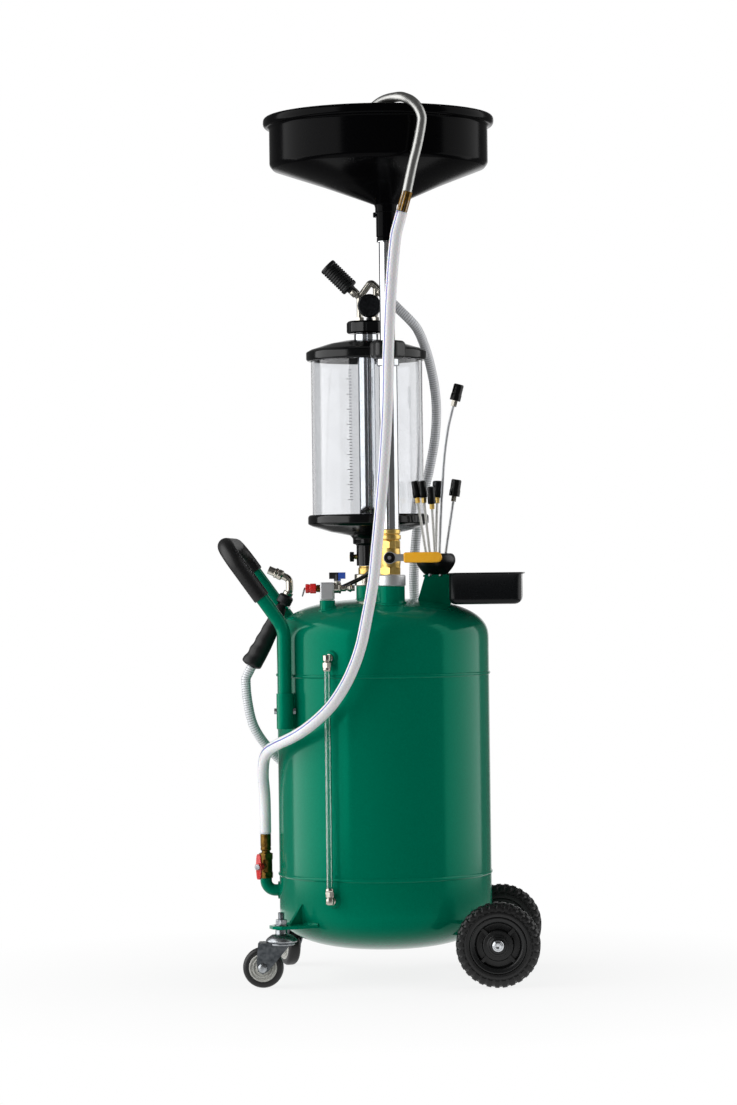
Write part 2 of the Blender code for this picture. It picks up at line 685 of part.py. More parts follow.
for side, sign in (("near", -1), ("far", 1)):
    stand = (CASTER_X, sign * CASTER_Y, 0)
    outward = math.atan2(sign * CASTER_Y, CASTER_X)
    plate = extruded(
        [
            (TANK_RADIUS - 0.016, -0.042),
            (caster_reach - 0.012, -0.030),
            (caster_reach + 0.014, -0.018),
            (caster_reach + 0.020, 0),
            (caster_reach + 0.014, 0.018),
            (caster_reach - 0.012, 0.030),
            (TANK_RADIUS - 0.016, 0.042),
        ],
        BRACKET_Z,
        plate_top,
    )
    bracket = add(f"caster_bracket_{side}", plate, GREEN, turn=(0, 0, outward))
    fin = extruded(
        [
            (TANK_RADIUS - 0.016, plate_top - BRACKET_PLATE / 2),
            (caster_reach - 0.016, plate_top - BRACKET_PLATE / 2),
            (TANK_RADIUS + 0.002, plate_top + 0.036),
            (TANK_RADIUS - 0.016, plate_top + 0.036),
        ],
        -BRACKET_PLATE / 2,
        BRACKET_PLATE / 2,
    )
    shape_by(bracket, "UNION", "gusset", fin, turn=(math.pi / 2, 0, outward))
    shape_by(bracket, "DIFFERENCE", "tank_side", turned(tank_outline(SEAT_GAP), TANK_SIDES))
    hole = rod(STEM_RADIUS + SEAT_GAP, BRACKET_Z - BRACKET_PLATE, plate_top + BRACKET_PLATE)
    shape_by(bracket, "DIFFERENCE", "stem_hole", hole, at=stand)
    add(f"caster_stem_{side}", turned(stem_outline, 10), ZINC, at=stand)
    swivel = pivot(f"caster_{side}_swivel", stand, turn=(0, 0, CASTER_TURNS[side]))
    crown = block((crown_back, -outer_half, FORK_CROWN_Z), (FORK_FRONT, outer_half, crown_top))
    fork = add(f"caster_fork_{side}", crown, ZINC, carrier=swivel)
    for name, low in (("left_leg", -outer_half), ("right_leg", inner_half)):
        cheek = extruded(leg, -low - FORK_PLATE, -low)
        shape_by(fork, "UNION", name, cheek, turn=(math.pi / 2, 0, 0), carrier=swivel)
    bolt = rod(CASTER_AXLE_RADIUS, -outer_half - FORK_PLATE, outer_half + FORK_PLATE, 12)
    axle_spot = (-CASTER_TRAIL, 0, CASTER_RADIUS)
    shape_by(fork, "UNION", "axle_bolt", bolt, axle_spot, (math.pi / 2, 0, 0), swivel)
    eye = rod(KINGPIN_RADIUS + RUN_GAP, FORK_CROWN_Z - FORK_CROWN, crown_top + FORK_CROWN, 10)
    shape_by(fork, "DIFFERENCE", "eye", eye, carrier=swivel)
    add(f"caster_wheel_{side}", turned(caster_outline, 14), RUBBER, axle_spot, (math.pi / 2, 0, 0), swivel)

# Rear axle: tube on two plates, rod with push caps, hubs with a ribbed web, lugged tyres
bracket_half = WHEEL_TRACK / 2 - WHEEL_WIDTH / 2 - 2 * RUN_GAP
axle_spot = (WHEEL_X, 0, WHEEL_RADIUS)
crosswise = (math.pi / 2, 0, 0)
sleeve = pipe(AXLE_TUBE_RADIUS, AXLE_RADIUS + SEAT_GAP, -bracket_half, bracket_half, 12)
axle_bracket = add("axle_bracket", sleeve, GREEN, axle_spot, crosswise)
plate_start = TANK_RADIUS - AXLE_PLATE_INSET
for side, sign in (("near", -1), ("far", 1)):
    plate_y = sign * AXLE_PLATE_SPAN / 2
    cheek = extruded(
        [
            (plate_start, WHEEL_RADIUS - AXLE_TUBE_RADIUS),
            (WHEEL_X - 0.004, WHEEL_RADIUS - AXLE_TUBE_RADIUS + 0.001),
            (WHEEL_X + 0.002, WHEEL_RADIUS + AXLE_TUBE_RADIUS - 0.001),
            (TANK_RADIUS - 0.012, SHELL_LOW_Z),
            (plate_start, SHELL_LOW_Z),
        ],
        -plate_y - AXLE_PLATE / 2,
        -plate_y + AXLE_PLATE / 2,
    )
    shape_by(axle_bracket, "UNION", f"{side}_plate", cheek, turn=crosswise)
inside = rod(AXLE_RADIUS + SEAT_GAP, -bracket_half, bracket_half, 12)
shape_by(axle_bracket, "DIFFERENCE", "axle_bore", inside, axle_spot, crosswise)
shape_by(axle_bracket, "DIFFERENCE", "tank_side", turned(tank_outline(SEAT_GAP), TANK_SIDES))
cap_seat = AXLE_REACH + 2 * RUN_GAP
cap_outline = [
    (AXLE_RADIUS, cap_seat),
    (AXLE_CAP_RADIUS, cap_seat),
    (AXLE_CAP_RADIUS, cap_seat + 0.003),
    (AXLE_CAP_RADIUS * 0.8, cap_seat + 0.006),
    (0, cap_seat + AXLE_CAP_RADIUS / 2),
]
axle_outline = [(radius, -height) for radius, height in reversed(cap_outline)] + cap_outline
add("wheel_axle", turned(axle_outline, 12), CHROME, axle_spot, crosswise)
half = WHEEL_WIDTH / 2
rim_half = half - 0.002
web_half = WHEEL_WEB / 2
rib_half = web_half + RIB_DEPTH
rim_inner = WHEEL_RIM_RADIUS - WHEEL_RIM_WALL
rib_start = WHEEL_BOSS_RADIUS - WHEEL_RIM_WALL
rib_end = rim_inner + WHEEL_RIM_WALL / 2
hub_outline = [
    (AXLE_RADIUS + RUN_GAP, -half),
    (WHEEL_BOSS_RADIUS - 0.002, -half),
    (WHEEL_BOSS_RADIUS, -web_half),
    (rim_inner, -web_half),
    (rim_inner, -rim_half),
    (WHEEL_RIM_RADIUS, -rim_half),
    (WHEEL_RIM_RADIUS, rim_half),
    (rim_inner, rim_half),
    (rim_inner, web_half),
    (WHEEL_BOSS_RADIUS, web_half),
    (WHEEL_BOSS_RADIUS - 0.002, half),
    (AXLE_RADIUS + RUN_GAP, half),
]


def tread_sections():
    """Cross-sections round the tyre, raised at each lug and lower in each groove."""
    bead = WHEEL_RIM_RADIUS + SEAT_GAP
    edge = rim_half - 0.001
    sections = []
    for lug in range(LUGS):
        for share, drop in ((0.0, 0.0), (0.6, 0.0), (0.8, LUG_DEPTH)):
            turn = 2 * math.pi * (lug + share) / LUGS
            tread = WHEEL_RADIUS - drop
            section = [
                (bead, -edge),
                (bead + 0.010, -half),
                (tread, -half + 0.004),
                (tread, half - 0.004),
                (bead + 0.010, half),
                (bead, edge),
            ]
            sections.append([(r * math.cos(turn), r * math.sin(turn), z) for r, z in section])
    return sections


for side, sign in (("near", -1), ("far", 1)):
    spin = pivot(f"wheel_{side}_spin", (WHEEL_X, sign * WHEEL_TRACK / 2, WHEEL_RADIUS), crosswise)
    hub = add(f"wheel_hub_{side}", turned(hub_outline, 18), BLACK, carrier=spin)
    for rib in range(RIBS):
        bar = block((rib_start, -RIB_WIDTH / 2, -rib_half), (rib_end, RIB_WIDTH / 2, rib_half))
        turn = (0, 0, 2 * math.pi * (rib + 0.5) / RIBS)
        shape_by(hub, "UNION", f"rib_{rib}", bar, turn=turn, carrier=spin)
    add(f"wheel_tyre_{side}", lofted(tread_sections(), loop=True), RUBBER, carrier=spin)

# Push handle: one bent tube in the tank's sockets, with a fork for the suction grip, and a rubber sleeve
corners = [
    (HANDLE_X, -HANDLE_Y, HANDLE_FOOT_Z),
    (HANDLE_X, -HANDLE_Y, HANDLE_KNEE_Z),
    (HANDLE_BAR_X, -HANDLE_Y, HANDLE_BAR_Z),
    (HANDLE_BAR_X, HANDLE_Y, HANDLE_BAR_Z),
    (HANDLE_X, HANDLE_Y, HANDLE_KNEE_Z),
    (HANDLE_X, HANDLE_Y, HANDLE_FOOT_Z),
]
bends = [HANDLE_KNEE_BEND, HANDLE_BAR_BEND, HANDLE_BAR_BEND, HANDLE_KNEE_BEND]
handle_path = rounded(corners, bends)
handle = add("push_handle", swept(handle_path, [HANDLE_RADIUS] * len(handle_path), 10), GREEN)
knee, bar = Vector(corners[1]), Vector(corners[2])
lean = (bar - knee).normalized()


def on_lean(height, sign):
    """The point on a leaning leg at a height."""
    point = knee + lean * (height - knee.z) / lean.z
    return (point.x, sign * HANDLE_Y, height)


grip_path = rounded(
    [on_lean(GRIP_NEAR_END_Z, -1), corners[2], corners[3], on_lean(GRIP_FAR_END_Z, 1)],
    [HANDLE_BAR_BEND, HANDLE_BAR_BEND],
)
grip = swept(grip_path, [GRIP_RADIUS] * len(grip_path), 10, bore=HANDLE_RADIUS + SEAT_GAP)
add("handle_grip", grip, RUBBER)
grip_way = (SUCTION_GRIP_NECK - SUCTION_GRIP_FOOT).normalized()
grip_turn = (0, math.atan2(grip_way.x, grip_way.z), 0)
clip_reach = HANDLE_Y - SUCTION_GRIP_NECK.y
clip_half = SUCTION_NUT_RADIUS
clip_stand = pivot("grip_clip", SUCTION_GRIP_NECK, grip_turn)
clip = block((-clip_half, -clip_half, -FORK_CLIP / 2), (clip_half, clip_reach, FORK_CLIP / 2))
shape_by(handle, "UNION", "grip_fork", clip, carrier=clip_stand)
notch = SUCTION_NECK_RADIUS + SEAT_GAP
shape_by(handle, "DIFFERENCE", "fork_eye", rod(notch, -FORK_CLIP, FORK_CLIP), carrier=clip_stand)
mouth = block((-notch, -2 * clip_half, -FORK_CLIP), (notch, 0, FORK_CLIP))
shape_by(handle, "DIFFERENCE", "fork_mouth", mouth, carrier=clip_stand)

# Sight tube between two compression elbows
sight_spot = sight_way * SIGHT_REACH
fitting_start = SIGHT_BOSS_REACH + SEAT_GAP
nut_bore = SIGHT_TUBE_RADIUS + SEAT_GAP
tube_ends = {}
for level, height, sign in (("lower", SIGHT_LOW_Z, 1), ("upper", SIGHT_HIGH_Z, -1)):
    nut_low = min(-sign * SIGHT_TUBE_RADIUS, sign * SIGHT_NUT_LENGTH)
    nut_high = max(-sign * SIGHT_TUBE_RADIUS, sign * SIGHT_NUT_LENGTH)
    nut = rod(SIGHT_NUT_RADIUS, nut_low, nut_high, 8)
    fitting = add(f"sight_fitting_{level}", nut, NICKEL, at=sight_spot + Vector((0, 0, height)))
    arm = rod(SIGHT_TUBE_RADIUS, fitting_start, SIGHT_REACH, 8)
    shape_by(fitting, "UNION", "arm", arm, at=(0, 0, height), turn=aim(sight_way))
    seat = sign * SIGHT_TUBE_RADIUS
    past = sign * (SIGHT_NUT_LENGTH + SIGHT_TUBE_RADIUS)
    well = rod(nut_bore, min(seat, past), max(seat, past), 10)
    shape_by(fitting, "DIFFERENCE", "tube_seat", well, at=sight_spot + Vector((0, 0, height)))
    tube_ends[level] = height + seat + sign * SEAT_GAP
glass_bore = SIGHT_TUBE_RADIUS - SIGHT_TUBE_WALL
glass = pipe(SIGHT_TUBE_RADIUS, glass_bore, tube_ends["lower"], tube_ends["upper"], 10)
add("sight_tube", glass, CLEAR, at=sight_spot)

# Discharge valve on the outlet elbow, with its butterfly handle
outlet_spot = (OUTLET_X, 0, 0)
valve_foot = OUTLET_TOP_Z + SEAT_GAP
barrel_low = DISCHARGE_STEM_Z - DISCHARGE_BARREL_RADIUS
barrel_high = DISCHARGE_STEM_Z + DISCHARGE_BARREL_RADIUS
body_outline = [
    (0, valve_foot),
    (DISCHARGE_BARREL_RADIUS, valve_foot),
    (DISCHARGE_BARREL_RADIUS, DISCHARGE_TOP_Z),
    (FERRULE_RADIUS - 0.002, DISCHARGE_TOP_Z + 0.001),
    (FERRULE_RADIUS - 0.002, DISCHARGE_TOP_Z + 0.004),
    (FERRULE_RADIUS, DISCHARGE_TOP_Z + 0.005),
    (FERRULE_RADIUS, FERRULE_TOP_Z),
    (0, FERRULE_TOP_Z),
]
discharge = add("discharge_valve_body", turned(body_outline, 10), BRASS, at=outlet_spot)
for name, low, high in (("low_hex", valve_foot, barrel_low), ("high_hex", barrel_high, DISCHARGE_TOP_Z)):
    shape_by(discharge, "UNION", name, rod(DISCHARGE_HEX_RADIUS, low, high, 6), at=outlet_spot)
gland_reach = DISCHARGE_BARREL_RADIUS + 0.006
stem_spot = (OUTLET_X, 0, DISCHARGE_STEM_Z)
gland = rod(DISCHARGE_BARREL_RADIUS / 2, 0, gland_reach, 12)
stem_turn = (math.pi / 2, 0, DISCHARGE_STEM_TURN)
shape_by(discharge, "UNION", "gland", gland, stem_spot, stem_turn)
butterfly_turn = pivot("discharge_valve_turn", stem_spot, stem_turn)
hub = rod(0.0075, gland_reach + RUN_GAP, gland_reach + 0.013, 12)
butterfly = add("discharge_valve_handle", hub, RED, carrier=butterfly_turn)
wing = [(0.006, 0.004), (0.0045, BUTTERFLY_REACH - 0.004), (0.003, BUTTERFLY_REACH)]
wing += [(-x, y) for x, y in reversed(wing)]
wings = extruded(wing + [(-x, -y) for x, y in wing], gland_reach + 0.006, gland_reach + 0.011)
shape_by(butterfly, "UNION", "wings", wings, carrier=butterfly_turn)

# Main valve on the mast neck: ring nut, body, ball with stem, lever and sleeve
mast_spot = (MAST_X, MAST_Y, 0)
ring_low = NECK_TOP_Z + SEAT_GAP
ring_high = ring_low + RING_NUT_HEIGHT
ring_outline = [
    (VALVE_BORE_RADIUS, ring_low),
    (RING_NUT_RADIUS - 0.001, ring_low),
    (RING_NUT_RADIUS, ring_low + 0.001),
    (RING_NUT_RADIUS, ring_high - 0.002),
    (RING_NUT_RADIUS - 0.002, ring_high),
    (VALVE_BORE_RADIUS, ring_high),
]
add("mast_ring_nut", turned(ring_outline, 14), ALUMINIUM, at=mast_spot)
body_low = ring_high + SEAT_GAP
barrel_foot = body_low + VALVE_HEX_HEIGHT
barrel_top = barrel_foot + VALVE_BARREL_HEIGHT
hex_top = barrel_top + VALVE_HEX_HEIGHT
body_top = hex_top + VALVE_UNION_HEIGHT
union_neck = VALVE_BARREL_RADIUS - 0.0015
valve_outline = [
    (0, body_low),
    (VALVE_BARREL_RADIUS, body_low),
    (VALVE_BARREL_RADIUS, hex_top),
    (union_neck, hex_top + 0.001),
    (VALVE_BARREL_RADIUS + 0.001, hex_top + 0.002),
    (VALVE_BARREL_RADIUS + 0.001, hex_top + 0.010),
    (union_neck, hex_top + 0.011),
    (VALVE_BARREL_RADIUS, hex_top + 0.012),
    (VALVE_BARREL_RADIUS, body_top),
    (0, body_top),
]
main_valve = add("main_valve_body", turned(valve_outline, 14), BRASS, at=mast_spot)
for name, low, high in (("low_hex", body_low, barrel_foot), ("high_hex", barrel_top, hex_top)):
    shape_by(main_valve, "UNION", name, rod(VALVE_HEX_RADIUS, low, high, 6), at=mast_spot)
stem_z = (barrel_foot + barrel_top) / 2
ball_spot = (MAST_X, MAST_Y, stem_z)
gland = rod(VALVE_GLAND_RADIUS, 0, VALVE_GLAND_REACH, 12)
shape_by(main_valve, "UNION", "gland", gland, ball_spot, crosswise)
bore = rod(VALVE_BORE_RADIUS, body_low - SEAT_GAP, body_top + SEAT_GAP, 12)
shape_by(main_valve, "DIFFERENCE", "bore", bore, at=mast_spot)


def ball_outline(radius, steps=6):
    """A half circle, for turning a ball."""
    turns = [math.pi * step / steps - math.pi / 2 for step in range(1, steps)]
    return [(0, -radius)] + [(radius * math.cos(t), radius * math.sin(t)) for t in turns] + [(0, radius)]


seat_radius = BALL_RADIUS / math.cos(math.pi / 12) + RUN_GAP
shape_by(main_valve, "DIFFERENCE", "ball_seat", turned(ball_outline(seat_radius), 12), ball_spot, crosswise)
stem_hole = rod(VALVE_STEM_RADIUS + RUN_GAP, 0, VALVE_GLAND_REACH + VALVE_STEM_RADIUS, 10)
shape_by(main_valve, "DIFFERENCE", "stem_hole", stem_hole, ball_spot, crosswise)
lever_turn = pivot("main_valve_turn", ball_spot, crosswise)
ball = add("main_valve_ball", turned(ball_outline(BALL_RADIUS), 12), CHROME, carrier=lever_turn)
plate_low = VALVE_GLAND_REACH + RUN_GAP
plate_high = plate_low + LEVER_PLATE
stem_end = plate_high + 0.002
stem = rod(VALVE_STEM_RADIUS, BALL_RADIUS / 2, stem_end, 10)
shape_by(ball, "UNION", "stem", stem, carrier=lever_turn)
port = rod(VALVE_BORE_RADIUS * 0.9, -2 * BALL_RADIUS, 2 * BALL_RADIUS, 12)
shape_by(ball, "DIFFERENCE", "port", port, turn=(0, math.pi / 2, 0), carrier=lever_turn)
heel_turns = [math.pi / 3 + math.pi * step / 6 for step in range(9)]
heel = [(LEVER_HEEL * math.cos(t), LEVER_HEEL * math.sin(t)) for t in heel_turns]
strap_ends = ((0.020, -1), (LEVER_LENGTH, -1), (LEVER_LENGTH, 1), (0.020, 1))
strap = [(x, side * LEVER_WIDTH / 2) for x, side in strap_ends]
lever = add("main_valve_lever", extruded(heel + strap, plate_low, plate_high), CHROME, carrier=lever_turn)
shape_by(lever, "UNION", "nut", rod(0.0085, plate_low + 0.001, stem_end + 0.004, 6), carrier=lever_turn)
eye = rod(VALVE_STEM_RADIUS + SEAT_GAP, plate_low - LEVER_PLATE, stem_end + SEAT_GAP, 10)
shape_by(lever, "DIFFERENCE", "stem_eye", eye, carrier=lever_turn)
sleeve_mid = (plate_low + plate_high) / 2
sleeve = block(
    (SLEEVE_START, -SLEEVE_WIDTH / 2, sleeve_mid - SLEEVE_THICKNESS / 2),
    (SLEEVE_START + SLEEVE_LENGTH, SLEEVE_WIDTH / 2, sleeve_mid + SLEEVE_THICKNESS / 2),
)
lever_sleeve = add("lever_sleeve", sleeve, YELLOW, carrier=lever_turn)
pocket = block(
    (SLEEVE_START - SLEEVE_THICKNESS, -LEVER_WIDTH / 2 - SEAT_GAP, plate_low - SEAT_GAP),
    (LEVER_LENGTH + SEAT_GAP, LEVER_WIDTH / 2 + SEAT_GAP, plate_high + SEAT_GAP),
)
round_off = lever_sleeve.modifiers.new("rounded_edges", "BEVEL")
round_off.width = SLEEVE_THICKNESS / 3
round_off.segments = 2
shape_by(lever_sleeve, "DIFFERENCE", "pocket", pocket, carrier=lever_turn)

# Mast: outer tube with its collar, lock nut, and the inner tube that slides in it
outer_low = body_top + SEAT_GAP
outer_high = outer_low + MAST_OUTER_LENGTH
outer_bore = MAST_OUTER_RADIUS - MAST_OUTER_WALL
outer_outline = [
    (outer_bore, outer_low),
    (MAST_OUTER_RADIUS, outer_low),
    (MAST_OUTER_RADIUS, outer_high - MAST_COLLAR_HEIGHT),
    (MAST_COLLAR_RADIUS, outer_high - MAST_COLLAR_HEIGHT),
    (MAST_COLLAR_RADIUS, outer_high),
    (outer_bore, outer_high),
]
add("mast_outer_tube", turned(outer_outline, 14), CHROME, at=mast_spot)
nut_low = outer_high + RUN_GAP
nut_high = nut_low + LOCK_NUT_HEIGHT
chamfer = LOCK_NUT_RADIUS / 8
nut_outline = [
    (MAST_INNER_RADIUS + RUN_GAP, nut_low),
    (LOCK_NUT_RADIUS - chamfer, nut_low),
    (LOCK_NUT_RADIUS, nut_low + chamfer),
    (LOCK_NUT_RADIUS, nut_high - chamfer),
    (LOCK_NUT_RADIUS - chamfer, nut_high),
    (MAST_INNER_RADIUS + RUN_GAP, nut_high),
]
nut_turn = pivot("lock_nut_turn", (MAST_X, MAST_Y, nut_low))
nut_shape = turned([(radius, height - nut_low) for radius, height in nut_outline], 6)
lock_nut = add("mast_lock_nut", nut_shape, BLACK, carrier=nut_turn)
nut_eye = rod(MAST_INNER_RADIUS + RUN_GAP, -LOCK_NUT_HEIGHT, 2 * LOCK_NUT_HEIGHT, 14)
shape_by(lock_nut, "DIFFERENCE", "mast_eye", nut_eye, carrier=nut_turn)
wall_low = BOWL_RIM_Z - BOWL_WALL_HEIGHT
neck_high = wall_low - BOWL_CONE_HEIGHT
collar_low = neck_high - BOWL_COLLAR_HEIGHT
inner_low = outer_high - MAST_INSERT_DEPTH
inner_high = neck_high - BOWL_COLLAR_WALL
inner_bore = MAST_INNER_RADIUS - MAST_INNER_WALL
guide_radius = outer_bore - RUN_GAP
inner_outline = [
    (inner_bore, inner_low),
    (guide_radius, inner_low),
    (guide_radius, inner_low + MAST_GUIDE_HEIGHT),
    (MAST_INNER_RADIUS, inner_low + MAST_GUIDE_HEIGHT),
    (MAST_INNER_RADIUS, inner_high),
    (inner_bore, inner_high),
]
mast_slide = pivot("mast_slide", mast_spot)
add("mast_inner_tube", turned(inner_outline, 14), CHROME, carrier=mast_slide)

# Drain bowl: spun wall and cone whose spout stands off the rim's centre, turned-down lip, clamp screw
collar_radius = MAST_INNER_RADIUS + SEAT_GAP + BOWL_COLLAR_WALL
collar_bore = MAST_INNER_RADIUS + SEAT_GAP
lip_low = BOWL_RIM_Z - BOWL_LIP_HEIGHT
inner_wall = BOWL_WALL_RADIUS - BOWL_WALL
bowl_rings = [
    (0, collar_radius, collar_low),
    (0, collar_radius, neck_high),
    (1, BOWL_WALL_RADIUS - BOWL_CORNER, wall_low - BOWL_CORNER / 3),
    (1, BOWL_WALL_RADIUS, wall_low + BOWL_CORNER),
    (1, BOWL_WALL_RADIUS, BOWL_RIM_Z - BOWL_WALL),
    (1, BOWL_RIM_RADIUS - BOWL_WALL, BOWL_RIM_Z - BOWL_WALL),
    (1, BOWL_RIM_RADIUS - BOWL_WALL, lip_low),
    (1, BOWL_RIM_RADIUS, lip_low),
    (1, BOWL_RIM_RADIUS, BOWL_RIM_Z - BOWL_WALL),
    (1, BOWL_RIM_RADIUS - BOWL_WALL, BOWL_RIM_Z),
    (1, inner_wall, BOWL_RIM_Z),
    (1, inner_wall, wall_low + BOWL_CORNER + BOWL_WALL / 2),
    (1, inner_wall - BOWL_CORNER, wall_low - BOWL_CORNER / 3 + BOWL_WALL),
    (0, collar_bore, neck_high + BOWL_WALL / 2),
    (0, collar_bore, collar_low),
]
bowl_turns = [2 * math.pi * step / BOWL_SIDES for step in range(BOWL_SIDES)]
bowl_skin = [
    [(share * BOWL_OFFSET + radius * math.cos(turn), radius * math.sin(turn), z) for turn in bowl_turns]
    for share, radius, z in bowl_rings
]
bowl = add("drain_bowl", lofted(bowl_skin, loop=True), BLACK, carrier=mast_slide)
screw_z = neck_high - BOWL_COLLAR_HEIGHT / 4
screw_hole = rod(CLAMP_SCREW_RADIUS + SEAT_GAP, MAST_INNER_RADIUS / 2, 2 * collar_radius, 12)
shape_by(bowl, "DIFFERENCE", "screw_hole", screw_hole, (0, 0, screw_z), aim((-1, 0, 0)), mast_slide)
screw_turn = pivot("clamp_screw_turn", (0, 0, screw_z), aim((-1, 0, 0)), mast_slide)
head_low = collar_radius + RUN_GAP
screw_outline = [
    (0, collar_bore),
    (CLAMP_SCREW_RADIUS, collar_bore),
    (CLAMP_SCREW_RADIUS, head_low),
    (CLAMP_HEAD_RADIUS, head_low),
    (CLAMP_HEAD_RADIUS, head_low + CLAMP_HEAD_RADIUS),
    (0, head_low + CLAMP_HEAD_RADIUS),
]
add("bowl_clamp_screw", turned(screw_outline, 10), ZINC, carrier=screw_turn)

# Hook pipe on the bowl's rim: angle round the rim, distance beyond it and height over it
HOOK_ROUTE = [
    (13.6, 0.0042, -0.1970),
    (15.0, 0.0065, -0.1770),
    (18.4, 0.0121, -0.1140),
    (20.7, 0.0164, -0.0750),
    (22.4, 0.0185, -0.0370),
    (22.2, 0.0180, -0.0230),
    (20.7, 0.0160, -0.0095),
    (18.4, 0.0118, 0.0012),
    (15.9, 0.0064, 0.0068),
    (13.9, 0.0000, 0.0097),
    (11.7, -0.0095, 0.0099),
    (8.5, -0.0275, 0.0096),
    (4.9, -0.0460, 0.0070),
    (0.6, -0.0645, 0.0010),
    (-5.9, -0.0840, -0.0090),
    (-13.3, -0.0995, -0.0220),
]
hook_points = []
for degrees, beyond, over in HOOK_ROUTE:
    turn = math.radians(degrees)
    out = BOWL_RIM_RADIUS + beyond
    hook_points.append((BOWL_OFFSET + out * math.sin(turn), -out * math.cos(turn), BOWL_RIM_Z + over))
hook_path = smooth(hook_points, 2.6 * HOOK_RADIUS)
hook_first = (hook_path[1] - hook_path[0]).normalized()
hook_start = Vector(hook_points[0])
past_ferrule = [p for p in hook_path if (p - hook_start).length > HOOK_FERRULE_LENGTH + HOOK_RADIUS / 2]
step_at = hook_start + hook_first * HOOK_FERRULE_LENGTH
hook_path = [hook_start, step_at - hook_first * HOOK_WALL, step_at] + past_ferrule
hook_radii = [HOOK_FERRULE_RADIUS, HOOK_FERRULE_RADIUS] + [HOOK_RADIUS] * (len(hook_path) - 2)
hook = swept(hook_path, hook_radii, 8, bore=HOOK_RADIUS - HOOK_WALL)
add("hook_pipe", hook, ALUMINIUM, carrier=mast_slide)

# Measuring chamber stack on its neck: ring nut with nipple, base with its outlet, cylinder, lid
chamber_spot = (CHAMBER_X, CHAMBER_Y, 0)
drain_bore = CENTRE_TUBE_RADIUS - 2 * CENTRE_TUBE_WALL
union_low = CHAMBER_NECK_TOP_Z + SEAT_GAP
union_high = union_low + CHAMBER_RING_HEIGHT
nipple_high = union_high + NIPPLE_HEIGHT
union_outline = [
    (drain_bore, union_low),
    (RING_NUT_RADIUS - 0.001, union_low),
    (RING_NUT_RADIUS, union_low + 0.001),
    (RING_NUT_RADIUS, union_high - 0.002),
    (RING_NUT_RADIUS - 0.002, union_high),
    (NIPPLE_RADIUS, union_high),
    (NIPPLE_RADIUS, nipple_high - 0.004),
    (NIPPLE_RADIUS - 0.002, nipple_high - 0.003),
    (NIPPLE_RADIUS - 0.002, nipple_high),
    (drain_bore, nipple_high),
]
add("chamber_ring_nut", turned(union_outline, 14), NICKEL, at=chamber_spot)
outlet_low = nipple_high + SEAT_GAP
outlet_high = outlet_low + OUTLET_BODY_LENGTH
cock_z = outlet_low + OUTLET_BODY_LENGTH / 3
cock_turn = pivot("chamber_cock_turn", (CHAMBER_X, CHAMBER_Y, cock_z), aim((-1, 0, 0)))
cock_stem = COCK_KNOB_RADIUS / 2
knob_low = OUTLET_BODY_RADIUS + 0.004
cock_outline = [
    (0, drain_bore + RUN_GAP),
    (cock_stem, drain_bore + RUN_GAP),
    (cock_stem, knob_low),
    (COCK_KNOB_RADIUS, knob_low + 0.001),
    (COCK_KNOB_RADIUS, COCK_REACH - 0.001),
    (cock_stem, COCK_REACH),
    (0, COCK_REACH),
]
add("chamber_cock", turned(cock_outline, 12), BRASS, carrier=cock_turn)
flange_low = outlet_high + BASE_DISH
flange_high = flange_low + FLANGE_HEIGHT
groove = CYLINDER_RADIUS + SEAT_GAP
ledge = CYLINDER_RADIUS - CYLINDER_WALL - 0.003
seat_z = flange_high - CYLINDER_SEAT
floor_z = outlet_high + BASE_DISH * 0.85
edge = 0.003
base_outline = [
    (drain_bore, outlet_low),
    (OUTLET_BODY_RADIUS, outlet_low),
    (OUTLET_BODY_RADIUS, outlet_high - OUTLET_COLLAR_HEIGHT - 0.002),
    (OUTLET_COLLAR_RADIUS, outlet_high - OUTLET_COLLAR_HEIGHT),
    (OUTLET_COLLAR_RADIUS, outlet_high),
    (OUTLET_COLLAR_RADIUS + 0.004, outlet_high + 0.006),
    (FLANGE_RADIUS * 0.62, outlet_high + BASE_DISH * 0.55),
    (FLANGE_RADIUS - 2 * edge, flange_low),
    (FLANGE_RADIUS, flange_low + edge),
    (FLANGE_RADIUS, flange_high - edge),
    (groove + edge, flange_high),
    (groove, flange_high),
    (groove, seat_z),
    (ledge, seat_z),
    (CENTRE_COLLAR_RADIUS, floor_z),
    (drain_bore, floor_z),
]
chamber_base = add("chamber_base", turned(base_outline, 24), BLACK, at=chamber_spot)
cock_seat = rod(cock_stem + RUN_GAP, drain_bore / 2, 2 * OUTLET_BODY_RADIUS, 12)
shape_by(chamber_base, "DIFFERENCE", "cock_seat", cock_seat, carrier=cock_turn)
cylinder_low = seat_z + SEAT_GAP
cylinder_high = cylinder_low + CYLINDER_HEIGHT
wall = pipe(CYLINDER_RADIUS, CYLINDER_RADIUS - CYLINDER_WALL, cylinder_low, cylinder_high, 24)
add("chamber_cylinder", wall, CLEAR, at=chamber_spot)
lid_seat = cylinder_high + SEAT_GAP
lid_low = lid_seat - CYLINDER_SEAT
lid_rim = lid_low + FLANGE_HEIGHT
lid_top = lid_rim + LID_DOME
tube_hole = CENTRE_TUBE_RADIUS + SEAT_GAP
lid_outline = [
    (tube_hole, lid_top),
    (tube_hole, lid_top - 0.008),
    (CENTRE_COLLAR_RADIUS * 2, lid_top - 0.011),
    (ledge, lid_seat + edge),
    (ledge, lid_seat),
    (groove, lid_seat),
    (groove, lid_low),
    (groove + edge, lid_low),
    (FLANGE_RADIUS, lid_low + edge),
    (FLANGE_RADIUS, lid_rim - edge),
    (FLANGE_RADIUS - 2 * edge, lid_rim),
    (FLANGE_RADIUS * 0.62, lid_rim + LID_DOME * 0.7),
    (FLANGE_RADIUS * 0.35, lid_top),
]
add("chamber_lid", turned(lid_outline, 24), BLACK, at=chamber_spot)
tube_low = floor_z + SEAT_GAP
